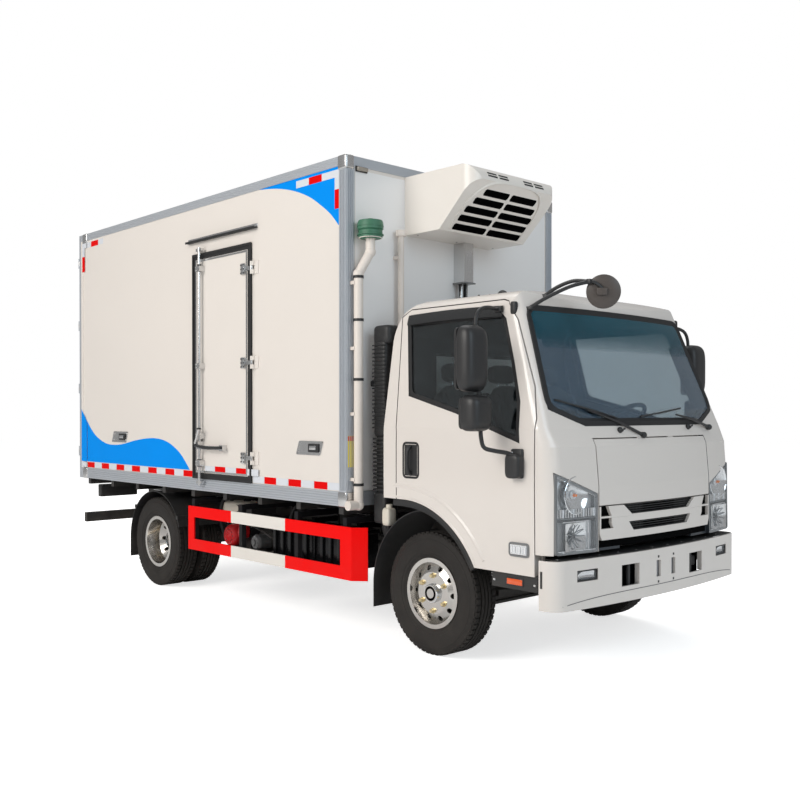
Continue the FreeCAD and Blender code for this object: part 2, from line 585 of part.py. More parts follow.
def fender(name, axle, radius, y, first, last, flap):
    """One mudguard sheet round an axle, from an upright line behind it to one ahead of it."""
    ring = cut(f"{name}_ring",
               rod(f"{name}_outer", f"{radius} + fender_gauge", "y", y, (axle, "tyre_radius")),
               rod(f"{name}_inner", radius, "y", (f"{y[0]} - 5", f"{y[1]} + 5"),
                   (axle, "tyre_radius")))
    zone = block(f"{name}_zone", (first, last), (f"{y[0]} - 1", f"{y[1]} + 1"),
                 ("tyre_radius", f"tyre_radius + {radius} + 20"))
    sheet_top = shared(f"{name}_arc", ring, zone)
    tail = block(f"{name}_tail", (f"{axle} - {radius} - fender_gauge", f"{axle} - {radius}"), y,
                 (flap, "tyre_radius + 1"))
    return [sheet_top, tail]


def mudguards():
    """Rear mudguards over the twin wheels and the rear halves of the front ones, with flaps."""
    inner = "rear_rim_face - rim_width - twin_pitch - 40"
    outer = "rear_rim_face + 30"
    rear = fender("rear_fender", "rear_axle_x", "fender_radius", (inner, outer),
                  "rear_axle_x - fender_radius - 20", "rear_axle_x + fender_radius * 0.93", 215)
    stays = [block("fender_stay", ("rear_axle_x - fender_radius * 0.8 - 15",
                                   "rear_axle_x - fender_radius * 0.8 + 15"),
                   ("frame_width / 2", outer), ("frame_bottom + 100", "frame_bottom + 130")),
             block("fender_stay_front", ("rear_axle_x + fender_radius * 0.85 - 15",
                                         "rear_axle_x + fender_radius * 0.85 + 15"),
                   ("frame_width / 2", outer), ("frame_bottom + 52", "frame_bottom + 82"))]
    rear_one = join("rear_mudguard", *rear, *stays)
    front = fender("front_fender", FRONT_AXLE, "front_fender_radius",
                   ("well_half - 365", "cab_half - 20"),
                   f"{FRONT_AXLE} - front_fender_radius - 20", FRONT_AXLE, 230)
    hold = block("front_fender_stay",
                 (f"{FRONT_AXLE} - front_fender_radius * 0.94",
                  f"{FRONT_AXLE} - front_fender_radius * 0.88"),
                 ("frame_width / 2", "well_half - 340"),
                 ("tyre_radius + front_fender_radius * 0.4",
                  "tyre_radius + front_fender_radius * 0.4 + 30"))
    front_one = join("front_mudguard", *front, hold)
    keep("mudguards", group("mudguards", rear_one, mirrored("rear_mudguard_right", rear_one),
                            front_one, mirrored("front_mudguard_right", front_one)))


def bumper():
    """Wrap-round bumper shell with its openings, and the lamps at front and rear."""
    outer = bumper_plan("bumper_outer", "0", "bumper_bottom", "bumper_top")
    inner = bumper_plan("bumper_inner", "bumper_wall", "bumper_bottom + bumper_lip", "bumper_top + 5")
    under = block("bumper_under", ("bumper_rear - 5", "bumper_front - nose_bow - 70"),
                  ("90 - bumper_half", "bumper_half - 90"),
                  ("bumper_bottom - 5", "bumper_bottom + bumper_lip + 5"))
    holes = []
    for side in (-1, 1):
        edges = sorted((side * 280, side * 450))
        holes.append(block(f"tow_hole{side}", ("bumper_front - 120", "bumper_front + 5"),
                           edges, ("bumper_bottom + 90", "bumper_bottom + 215")))
        edges = sorted((side * 660, side * 830))
        holes.append(block(f"lamp_hole{side}", ("bumper_front - 150", "bumper_front + 5"),
                           edges, ("bumper_bottom + 155", "bumper_bottom + 220")))
        edges = sorted((side * 60, side * 105))
        holes.append(block(f"plate_hole{side}", ("bumper_front - 60", "bumper_front + 5"),
                           edges, ("bumper_bottom + 110", "bumper_bottom + 210")))
    keep("front_bumper", cut("front_bumper", outer, inner, under, *holes))
    lamps = []
    for side in (-1, 1):
        edges = sorted((f"{side} * (660 + seat_gap)", f"{side} * (830 - seat_gap)"), key=amount_of)
        glass = bumper_plan(f"lamp_face{side}", "3", "bumper_bottom + 155 + seat_gap",
                            "bumper_bottom + 220 - seat_gap")
        back = bumper_plan(f"lamp_back{side}", "bumper_wall + 6", "bumper_bottom + 150",
                    "bumper_bottom + 225")
        zone = block(f"lamp_zone{side}", ("bumper_front - 150", "bumper_front + 5"), edges,
                     ("bumper_bottom + 150", "bumper_bottom + 225"))
        lamps.append(shared(f"bumper_lamp{side}", cut(f"lamp_skin{side}", glass, back), zone))
        edges = sorted((side * 560, side * 950))
        tail = block(f"tail_lamp{side}", ("frame_rear - 20", "frame_rear + 60"), edges,
                     ("tail_lamp_z", "tail_lamp_z + 120"))
        span = sorted((f"{side} * frame_width / 2", f"{side} * 600"), key=amount_of)
        hold = block(f"tail_bracket{side}", ("frame_rear + 20", "frame_rear + 50"), span,
                     ("tail_lamp_z + 20", "tail_lamp_z + 80"))
        lamps.append(join(f"tail_set{side}", tail, hold))
    keep("body_lamps", group("body_lamps", *lamps))


def box_shell():
    """Insulated panels of the load box, its rear frame and the aluminium edge profiles."""
    rear = "box_rear + wall"
    inner = f"{PANEL_Y} - wall"
    slab = block("floor_slab", (rear, PANEL_FRONT), (f"-({PANEL_Y})", PANEL_Y),
                 ("box_bottom", FLOOR_TOP))
    sheeting = block("floor_sheet", (f"{rear} + 5", f"{PANEL_FRONT} - wall - 5"),
                     (f"5 - ({inner})", f"{inner} - 5"), (FLOOR_TOP, f"{FLOOR_TOP} + 3"))
    keep("box_floor", join("box_floor", slab, sheeting))
    left = block("box_side_left", (rear, PANEL_FRONT), (inner, PANEL_Y), (FLOOR_TOP, PANEL_TOP))
    keep("box_side_left", left)
    doorway = block("side_doorway", ("side_door_rear + 8", "side_door_front - 8"),
                    (f"-({PANEL_Y}) - 5", f"5 - ({inner})"), (f"{FLOOR_TOP} - 5", "side_door_top - 8"))
    right = block("right_panel", (rear, PANEL_FRONT), (f"-({PANEL_Y})", f"-({inner})"),
                  (FLOOR_TOP, PANEL_TOP))
    fixed = []
    for number, station in enumerate(SIDE_HINGES):
        fixed.append(hinge_fixed(f"side_hinge{number}", "side_door_front + hinge_out",
                                 f"-({PANEL_Y}) - hinge_out", station, 1, 1))
    keep("box_side_right", join("box_side_right", cut("right_wall", right, doorway), *fixed))
    keep("box_front_wall", block("box_front_wall", (f"{PANEL_FRONT} - wall", PANEL_FRONT),
                                 (f"-({inner})", inner), (FLOOR_TOP, f"{PANEL_TOP} - wall")))
    keep("box_roof", block("box_roof", (rear, PANEL_FRONT), (f"-({inner})", inner),
                           (f"{PANEL_TOP} - wall", PANEL_TOP)))
    ring = block("rear_ring", ("box_rear", rear), (f"-({BOX_HALF})", BOX_HALF),
                 ("box_bottom", "box_top"))
    mouth = block("rear_mouth", ("box_rear - 5", f"{rear} + 5"),
                  (f"rear_post - {BOX_HALF}", f"{BOX_HALF} - rear_post"),
                  (FLOOR_TOP, "box_top - rear_header"))
    pins = []
    for side in (-1, 1):
        for number, station in enumerate(REAR_HINGES):
            pins.append(hinge_fixed(f"rear_hinge{side}_{number}", "box_rear - hinge_out",
                                    f"{side} * ({BOX_HALF} - 12)", station, 0, side))
    keep("rear_frame", join("rear_frame", cut("rear_opening", ring, mouth), *pins))

    solid = block("profile_outer", (rear, "box_front"), (f"-({BOX_HALF})", BOX_HALF),
                  ("box_bottom", "box_top"))
    core = block("profile_inner", (f"{rear} - 5", PANEL_FRONT), (f"-({PANEL_Y})", PANEL_Y),
                 ("box_bottom - 5", PANEL_TOP))
    across = block("side_window", (f"{rear} - 5", "box_front - post_band"),
                   (f"-({BOX_HALF}) - 5", f"{BOX_HALF} + 5"),
                   ("box_bottom + bottom_band", "box_top - top_band"))
    ahead = block("front_window", ("box_front - 60", "box_front + 5"),
                  (f"post_band - {BOX_HALF}", f"{BOX_HALF} - post_band"),
                  ("box_bottom + bottom_band", "box_top - top_band"))
    above = block("roof_window", (f"{rear} - 5", "box_front - top_band"),
                  (f"top_band - {BOX_HALF}", f"{BOX_HALF} - top_band"),
                  ("box_top - 60", "box_top + 5"))
    keep("edge_profiles", cut("edge_profiles", solid, core, across, ahead, above))


SIDE_HINGES = [f"(side_door_bottom + (side_door_top - side_door_bottom) * {share})"
               for share in (0.103, 0.502, 0.895)]
REAR_HINGES = [f"(box_bottom + (box_top - box_bottom) * {share})"
               for share in (0.109, 0.368, 0.628, 0.887)]


def hinge_fixed(name, x, y, station, along, side):
    """Pin, outer knuckles and leaf of a hinge on the box, at the side wall or the rear frame."""
    third = "hinge_height / 6"
    low, high = f"{station} - hinge_height / 2", f"{station} + hinge_height / 2"
    pieces = [rod(f"{name}_pin", "hinge_pin_radius * 0.55", "z", (low, high), (x, y))]
    for number, span in enumerate(((low, f"{station} - {third}"), (f"{station} + {third}", high))):
        pieces.append(rod(f"{name}_knuckle{number}", "hinge_pin_radius", "z", span, (x, y)))
        if along:
            pieces.append(block(f"{name}_arm{number}", (x, f"{x} + 24"), (y, f"-({PANEL_Y})"), span))
        else:
            pieces.append(block(f"{name}_arm{number}", (x, "box_rear"),
                                (f"{y} - 8", f"{y} + 8"), span))
    if along:
        pieces.append(block(f"{name}_leaf", (f"{x} + 16", f"{x} + 66"),
                            (f"-({PANEL_Y}) - 8", f"-({PANEL_Y})"), (low, high)))
    return join(name, *pieces)


def hinge_moving(name, x, y, station, strap_x, strap_y):
    """Middle knuckle of a hinge with the strap that lies on the door leaf."""
    third = "hinge_height / 6 - seat_gap"
    span = (f"{station} - ({third})", f"{station} + {third}")
    knuckle = rod(f"{name}_middle", "hinge_pin_radius", "z", span, (x, y))
    strap = block(f"{name}_strap", strap_x, strap_y, span)
    bore = rod(f"{name}_bore", "hinge_pin_radius * 0.55 + seat_gap", "z",
               (f"{station} - hinge_height", f"{station} + hinge_height"), (x, y))
    return cut(name, join(f"{name}_arm", knuckle, strap), bore)


def side_door():
    """Insulated side door: plug leaf with its outer skin, rubber seal, lock rod and hinges."""
    inner = f"{PANEL_Y} - wall"
    gap = "8 + leaf_gap"
    core = block("leaf_core", (f"side_door_rear + {gap}", f"side_door_front - ({gap})"),
                 (f"-({PANEL_Y})", f"-({inner})"),
                 (f"{FLOOR_TOP} + leaf_gap", f"side_door_top - ({gap})"))
    face = block("leaf_face", ("side_door_rear + seal_width + seat_gap",
                               "side_door_front - seal_width - seat_gap"),
                 (f"-({PANEL_Y}) - seal_proud", f"-({PANEL_Y})"),
                 ("side_door_bottom + seal_width + seat_gap",
                  "side_door_top - seal_width - seat_gap"))
    keep("side_door", join("side_door", core, face))
    ring = block("seal_outer", ("side_door_rear", "side_door_front"),
                 (f"-({PANEL_Y}) - seal_proud", f"-({PANEL_Y}) - seat_gap"),
                 ("side_door_bottom", "side_door_top"))
    hole = block("seal_inner", ("side_door_rear + seal_width", "side_door_front - seal_width"),
                 (f"-({PANEL_Y}) - seal_proud - 5", f"5 - ({PANEL_Y})"),
                 ("side_door_bottom + seal_width", "side_door_top - seal_width"))
    keep("side_door_seal", cut("side_door_seal", ring, hole))
    face_y = f"-({PANEL_Y}) - seal_proud"
    rod_y = f"{face_y} - rod_stand"
    rod_x = "side_door_rear + rod_inset"
    bar = rod("lock_rod", "rod_radius", "z", ("side_door_bottom - 55", "side_door_top + 45"),
              (rod_x, rod_y))
    pieces = [bar]
    for number, station in enumerate((0.07, 0.19, 0.5, 0.93)):
        station = f"side_door_bottom + (side_door_top - side_door_bottom) * {station}"
        pieces.append(block(f"rod_guide{number}", (f"{rod_x} - 32", f"{rod_x} + 32"),
                            (f"{rod_y} - rod_radius - 5", face_y),
                            (f"({station}) - 22", f"({station}) + 22")))
    for number, station in enumerate(("side_door_bottom - 40", "side_door_top + 15")):
        pieces.append(block(f"rod_cam{number}", (f"{rod_x} - 38", f"{rod_x} + 38"),
                            (f"{rod_y} - 8", f"{rod_y} + 20"), (station, f"{station} + 22")))
    pieces.append(rod("handle_hub", 30, "y", (f"{rod_y} - 26", face_y), (f"{rod_x} - 14", "handle_z + 31")))
    pieces.append(block("handle_bar", (rod_x, f"{rod_x} + 370"), (f"{rod_y} - 24", f"{rod_y} - 8"),
                        ("handle_z - 15", "handle_z + 15")))
    pieces.append(block("handle_catch", (f"{rod_x} + 300", f"{rod_x} + 350"),
                        (f"{rod_y} - 10", face_y), ("handle_z - 22", "handle_z + 23")))
    for number, station in enumerate(SIDE_HINGES):
        pieces.append(hinge_moving(f"side_strap{number}", "side_door_front + hinge_out",
                                   f"-({PANEL_Y}) - hinge_out", station,
                                   ("side_door_front - seal_width - 60",
                                    "side_door_front + hinge_out"),
                                   (f"{face_y} - 7", face_y)))
    keep("side_door_hardware", group("side_door_hardware", join("lock_set", *pieces[:-3]),
                                     *pieces[-3:]))


def rear_doors():
    """Two insulated rear leaves with bevelled edges, hinge straps and lock rods."""
    for name, side in (("left", 1), ("right", -1)):
        edge = f"{BOX_HALF} - rear_post - rear_leaf_gap"
        corners = [("box_rear", f"{side} * ({edge})"), ("box_rear", f"{side} * 4"),
                   ("box_rear + wall", f"{side} * 10"),
                   ("box_rear + wall", f"{side} * ({edge} - rear_leaf_bevel)")]
        leaf = prism(f"leaf_{name}", "z", corners,
                     (f"{FLOOR_TOP} + rear_leaf_gap", "box_top - rear_header - rear_leaf_gap"))
        pieces = [leaf]
        for number, inset in enumerate(("rear_rod_inset", "rear_rod_inset + 480")):
            rod_y = f"{side} * {inset}" if number == 0 else f"{side} * ({inset})"
            rod_x = "box_rear - rod_stand"
            pieces.append(rod(f"{name}_rod{number}", "rod_radius", "z",
                              (f"{FLOOR_TOP} + 20", "box_top - rear_header - 20"), (rod_x, rod_y)))
            for count, share in enumerate((0.06, 0.25, 0.53, 0.81, 0.96)):
                station = f"{FLOOR_TOP} + (box_top - ({FLOOR_TOP})) * {share}"
                pieces.append(block(f"{name}_guide{number}_{count}",
                                    (f"{rod_x} - rod_radius - 5", "box_rear"),
                                    (f"{rod_y} - 30", f"{rod_y} + 30"),
                                    (f"{station} - 20", f"{station} + 20")))
        span = sorted((f"{side} * (rear_rod_inset - 20)", f"{side} * (rear_rod_inset + 500)"),
                      key=amount_of)
        pieces.append(block(f"{name}_handle", ("box_rear - rod_stand - rod_radius - 14",
                                               "box_rear - rod_stand - rod_radius + 2"),
                            span, ("box_bottom + 492", "box_bottom + 522")))
        for number, station in enumerate(REAR_HINGES):
            pin_y = f"{side} * ({BOX_HALF} - 12)"
            span = sorted((f"{side} * ({edge} - 160)", pin_y), key=amount_of)
            pieces.append(hinge_moving(f"{name}_strap{number}", "box_rear - hinge_out", pin_y,
                                       station, ("box_rear - 8 - 8", "box_rear - 8"), span))
            span = sorted((f"{side} * ({edge} - 160)", f"{side} * ({edge} - 10)"), key=amount_of)
            pieces.append(block(f"{name}_pad{number}", ("box_rear - 9", "box_rear"), span,
                                (f"{station} - 15", f"{station} + 15")))
        keep(f"rear_door_{name}", join(f"rear_door_{name}", *pieces))


def cooling_unit():
    """Cooling unit on the front wall: hollow cover with slotted grille, its coil and the duct."""
    foot = PANEL_FRONT

    def profile(name, inset, half):
        front = f"(unit_front - {inset})"
        side = prism(f"{name}_side", "y", [
            (foot, f"unit_bottom + {inset}"), (f"{front} - 320", f"unit_bottom + {inset}"),
            (f"{front} - 45", "unit_bottom + 265"), (front, "unit_top - 110"),
            (f"{front} - 125", f"unit_top - 6 - {inset}",
             f"{front} - 38", f"unit_top - 36 - {inset}"),
            (foot, f"unit_top - {inset}")], (f"unit_y - ({half})", f"unit_y + {half}"))
        plan = prism(f"{name}_plan", "z", [
            (foot, f"unit_y - ({half})"), (f"{front} - unit_round", f"unit_y - ({half})"),
            (front, f"unit_y - ({half}) + unit_round", f"{front} - unit_round * 0.293",
             f"unit_y - ({half}) + unit_round * 0.293"),
            (front, f"unit_y + {half} - unit_round"),
            (f"{front} - unit_round", f"unit_y + {half}", f"{front} - unit_round * 0.293",
             f"unit_y + {half} - unit_round * 0.293"),
            (foot, f"unit_y + {half}")], ("unit_bottom - 5", "unit_top + 5"))
        return shared(name, side, plan)
    cover = profile("cover_outer", "0", "unit_half")
    hollow = profile("cover_inner", "unit_wall", "unit_half - unit_wall")
    slots = []
    for side in (-1, 1):
        for rank, drawn_in in enumerate((0, 0, 5, 35, 80)):
            edges = sorted((f"unit_y + {side} * 14",
                            f"unit_y + {side} * (unit_half - 108 - {drawn_in})"), key=amount_of)
            low = f"unit_bottom + 16 + {rank} * 52"
            slots.append(block(f"slot{side}_{rank}", ("unit_front - 345", "unit_front + 40"),
                               edges, (low, f"{low} + 29")))
    keep("fridge_unit", cut("fridge_unit", cover, hollow, *slots))
    coil = block("coil", (foot, "unit_front - 400"),
                 ("unit_y + 60 - unit_half", "unit_y + unit_half - 60"),
                 ("unit_bottom + 40", "unit_top - 60"))
    keep("fridge_core", coil)
    duct = block("duct", (foot, f"{foot} + duct_depth"),
                 ("duct_y - duct_width / 2", "duct_y + duct_width / 2"),
                 ("duct_bottom", "unit_bottom - seat_gap"))
    lines = []
    for number, shift in enumerate((-25, 25)):
        lines.append(rod(f"line{number}", 15, "z", ("line_bottom", "duct_bottom + 5"),
                         (f"{foot} + duct_depth / 2", f"duct_y + {shift}")))
        lines.append(block(f"line_clip{number}", (foot, f"{foot} + duct_depth / 2"),
                           (f"duct_y + {shift} - 8", f"duct_y + {shift} + 8"),
                           ("line_bottom + 60", "line_bottom + 90")))
    keep("fridge_duct", join("fridge_duct", duct, *lines))


def pipes():
    """Vent pipe at the front corner of the box with its ribbed cap, and the cable conduit."""
    x = "box_front + vent_gap"
    cap_x = "box_front + vent_cap_radius + 8"
    cap_y = "vent_y + 70"
    route = [(x, "vent_y - 95", "vent_bottom"), (x, "vent_y", "vent_bottom"),
             (x, "vent_y", "vent_top - 250"), (cap_x, cap_y, "vent_top - 100"),
             (cap_x, cap_y, "vent_top")]
    pieces = []
    for number, (start, finish) in enumerate(zip(route, route[1:])):
        pieces.append(strut(f"vent_run{number}", "vent_radius", start, finish))
    for number, spot in enumerate(route[1:-1]):
        knee = doc.addObject("Part::Sphere", f"vent_knee{number}")
        bind(knee, "Radius", "vent_radius + 5")
        pieces.append(place(knee, *spot))
    pieces.append(rod("vent_hood", "vent_cap_radius", "z", ("vent_top - 10", "vent_top + 36"),
                      (cap_x, cap_y)))
    pieces.append(rod("vent_crown", "vent_cap_radius * 0.82", "z",
                      ("vent_top + 36", "vent_top + vent_cap_height"), (cap_x, cap_y)))
    clips = []
    for number in range(4):
        height = f"vent_bottom + 160 + (vent_top - vent_bottom - 480) * {number} / 3"
        clips.append(block(f"vent_clip{number}", ("box_front", x),
                           ("vent_y - vent_radius - 6", "vent_y + vent_radius + 6"),
                           (height, f"{height} + 22")))
    pole_x = "box_front + vent_gap"
    pole = rod("pole", "pole_radius", "z", ("pole_bottom", "pole_top"), (pole_x, "pole_y"))
    cap_two = rod("pole_cap", "pole_radius + 14", "z", ("pole_top - 2", "pole_top + 40"),
                  (pole_x, "pole_y"))
    clips_two = []
    for number in range(3):
        height = f"pole_bottom + 160 + (pole_top - pole_bottom - 320) * {number} / 2"
        clips_two.append(block(f"pole_clip{number}", (PANEL_FRONT, pole_x),
                               ("pole_y - pole_radius - 6", "pole_y + pole_radius + 6"),
                               (height, f"{height} + 22")))
    keep("vent_pipe", group("vent_pipe", join("vent_set", *pieces, *clips),
                            join("pole_set", pole, cap_two, *clips_two)))


def cab_form(name, side_inset, front_inset, low):
    """Body of the cab as a loft of rounded plan outlines, from a low level up past the roof."""
    body = doc.addObject("PartDesign::Body", name)
    side_inset = f"({side_inset})"
    top = "roof_z + 15"
    sections = (
        # level, front at the middle, half width, corner radius
        (low, "cab_front + 5", "cab_half - 6", "corner_radius"),
        ("screen_foot_z - 330", "cab_front", "cab_half", "corner_radius"),
        ("screen_foot_z - 100", "cab_front - 22", "cab_half", "corner_radius * 0.9"),
        ("screen_foot_z", "screen_foot_x", "cab_half - 2", "pillar_radius + 10"),
        (top, f"screen_foot_x - screen_rake * ({top} - screen_foot_z)", "roof_half + 5",
         "pillar_radius"))
    sketches = []
    for level, front, half, corner in sections:
        front = f"{front} - {front_inset}"
        half = f"({half} - {side_inset})"
        side_x = f"{front} - nose_bow - ({corner}) * 0.986"
        mid_x = f"{front} - nose_bow - ({corner}) * 0.343"
        mid_y = f"({half} - ({corner}) * 0.234)"
        end_y = f"({half} - ({corner}) * 0.835)"
        end_x = f"{front} - nose_bow"
        sketch = outline(body, "XY_Plane", [
            (f"cab_rear + {side_inset}", f"-{half}"), (side_x, f"-{half}"),
            (end_x, f"-{end_y}", mid_x, f"-{mid_y}"), (end_x, end_y, front, 0),
            (side_x, half, mid_x, mid_y), (f"cab_rear + {side_inset}", half)])
        bind(sketch, "AttachmentOffset.Base.z", level)
        sketches.append(sketch)
    loft = body.newObject("PartDesign::AdditiveLoft", f"{name}_loft")
    loft.Profile = sketches[0]
    loft.Sections = sketches[1:]
    loft.Ruled = True
    loft.Refine = False
    body.Tip = loft
    side = prism(f"{name}_side", "y", [
        (f"cab_rear + {side_inset}", f"{low} - 10"),
        (f"cab_rear + {side_inset}", "roof_z - 335"),
        (f"cab_rear + 150 + {side_inset} * 0.3", f"roof_z - 55 - {side_inset} * 0.8",
         f"cab_rear + 38 + {side_inset} * 0.8", f"roof_z - 165 - {side_inset} * 0.4"),
        ("screen_foot_x - 490", f"roof_z - 8 - {side_inset} * 0.8",
         "cab_rear + 470", f"roof_z + 3 - {side_inset} * 0.8"),
        ("screen_foot_x - 284", f"screen_top_z - {side_inset} * 0.8",
         "screen_foot_x - 375", f"roof_z - 39 - {side_inset} * 0.8"),
        ("cab_front + 110", f"screen_top_z - 30 - {side_inset} * 0.8"),
        ("cab_front + 110", f"{low} - 10")], ("-cab_half - 60", "cab_half + 60"))
    shoulder = f"(cab_half - 110 - {side_inset} * 0.9)"
    crown = f"(cab_half - 200 - {side_inset} * 0.8)"
    knee = f"(cab_half - 140 - {side_inset} * 0.85)"
    front = prism(f"{name}_front", "x", [
        ("-cab_half - 60", f"{low} - 10"), ("cab_half + 60", f"{low} - 10"),
        ("cab_half + 60", f"roof_z - 190 - {side_inset} * 0.8"),
        (shoulder, f"roof_z - 145 - {side_inset} * 0.8"),
        (crown, f"roof_z - 38 - {side_inset} * 0.8", knee, f"roof_z - 78 - {side_inset} * 0.8"),
        (f"-{crown}", f"roof_z - 38 - {side_inset} * 0.8", 0, f"roof_z + 3 - {side_inset} * 0.8"),
        (f"-{shoulder}", f"roof_z - 145 - {side_inset} * 0.8",
         f"-{knee}", f"roof_z - 78 - {side_inset} * 0.8"),
        ("-cab_half - 60", f"roof_z - 190 - {side_inset} * 0.8")],
        ("cab_rear - 20", "cab_front + 60"))
    return shared(f"{name}_form", body, side, front)


def moved(name, source, x=0, y=0, z=0):
    """Gives a copy of a form at an offset."""
    return place(group(name, source), x, y, z)


def door_outline(name, gap, span):
    """Outline of the cab door seen from the side, widened by a gap, padded across the cab."""
    return prism(name, "y", [
        (f"door_front + {gap}", "cab_bottom - 80"), (f"door_front + {gap}", "screen_foot_z + 60"),
        (f"door_front - 48 + {gap}", "screen_foot_z + 245"),
        (f"door_front - 210 + {gap}", "door_top - 126"),
        (f"door_front - 290 + {gap} / 2", f"door_top - 12 + {gap}"),
        (f"door_front - 330", f"door_top + {gap}"), (f"door_rear + 8", f"door_top + {gap}"),
        (f"door_rear - 58 - {gap}", f"door_top - 45 + {gap} / 2"),
        (f"door_rear - {gap}", "screen_foot_z - 30"), (f"door_rear - {gap}", "cab_bottom - 80")],
        span)


def window_outline(name, inset, span):
    """Outline of the side window, narrowed by an inset, padded across the cab."""
    return prism(name, "y", [
        (f"door_rear + 78 + {inset}", f"screen_foot_z + 200 + {inset}"),
        (f"door_rear + 511", f"screen_foot_z + 88 + {inset}"),
        (f"door_front - 105 - {inset}", f"screen_foot_z - 82 + {inset} * 1.4"),
        (f"door_front - 120 - {inset}", "screen_foot_z + 160"),
        (f"door_front - 190 - {inset}", "screen_foot_z + 380"),
        (f"door_front - 290 - {inset}", "door_top - 112"),
        (f"door_front - 330 - {inset}", f"door_top - 77 - {inset}"),
        (f"door_rear + 10 + {inset}", f"door_top - 77 - {inset}"),
        (f"door_rear - 5 + {inset}", f"door_top - 92 - {inset}")], span)


def screen_outline(name, inset):
    """Outline of the windscreen seen from ahead, narrowed by an inset."""
    low = f"screen_foot_z + 15 + {inset}"
    knee = f"screen_foot_z + 112 + {inset}"
    high = f"screen_top_z - 42 - {inset}"
    return prism(name, "x", [
        (f"{inset} - 640", low), (f"640 - {inset}", low), (f"cab_half - 92 - {inset}", knee),
        (f"roof_half - 38 - {inset}", high), (f"{inset} + 38 - roof_half", high),
        (f"92 - cab_half + {inset}", knee)], ("door_front - 390", "cab_front + 60"))


def pillar(name, solid, gap):
    """Post beside the windscreen that belongs to the cab and not to its door."""
    return cut(name, screen_outline(f"{name}_form", f"(0 - pillar_width - {gap})"),
               moved(f"{name}_back", solid, f"-(pillar_depth + {gap})"))


def side_band(name, depth):
    """Layer along the right side of the cab, as deep as its door and leaning in with it."""
    return prism(name, "x", [
        ("-cab_half - 60", "cab_bottom - 90"), (f"{depth} - cab_half", "cab_bottom - 90"),
        (f"{depth} - cab_half", "screen_foot_z"), (f"{depth} - roof_half - 5", "roof_z + 15"),
        ("-cab_half - 60", "roof_z + 15")], ("cab_rear - 20", "cab_front + 60"))


def nose_region(name, half, low, high):
    """Part of the cab's face between two levels, as wide as given."""
    return block(name, ("door_front - 60", "cab_front + 60"), (f"-({half})", half), (low, high))


def lamp_region(name, inset):
    """Part of the cab's face that one headlamp fills, on the left side."""
    return prism(name, "x", [
        (f"lamp_inner + {inset}", f"lamp_bottom + {inset}"),
        (f"cab_half - 38 - {inset}", f"lamp_bottom + {inset}"),
        (f"cab_half - 38 - {inset}", f"lamp_top - {inset}"),
        (f"lamp_inner + {inset}", f"lamp_top - 130 - {inset}")],
        ("door_front + 30", "cab_front + 60"))


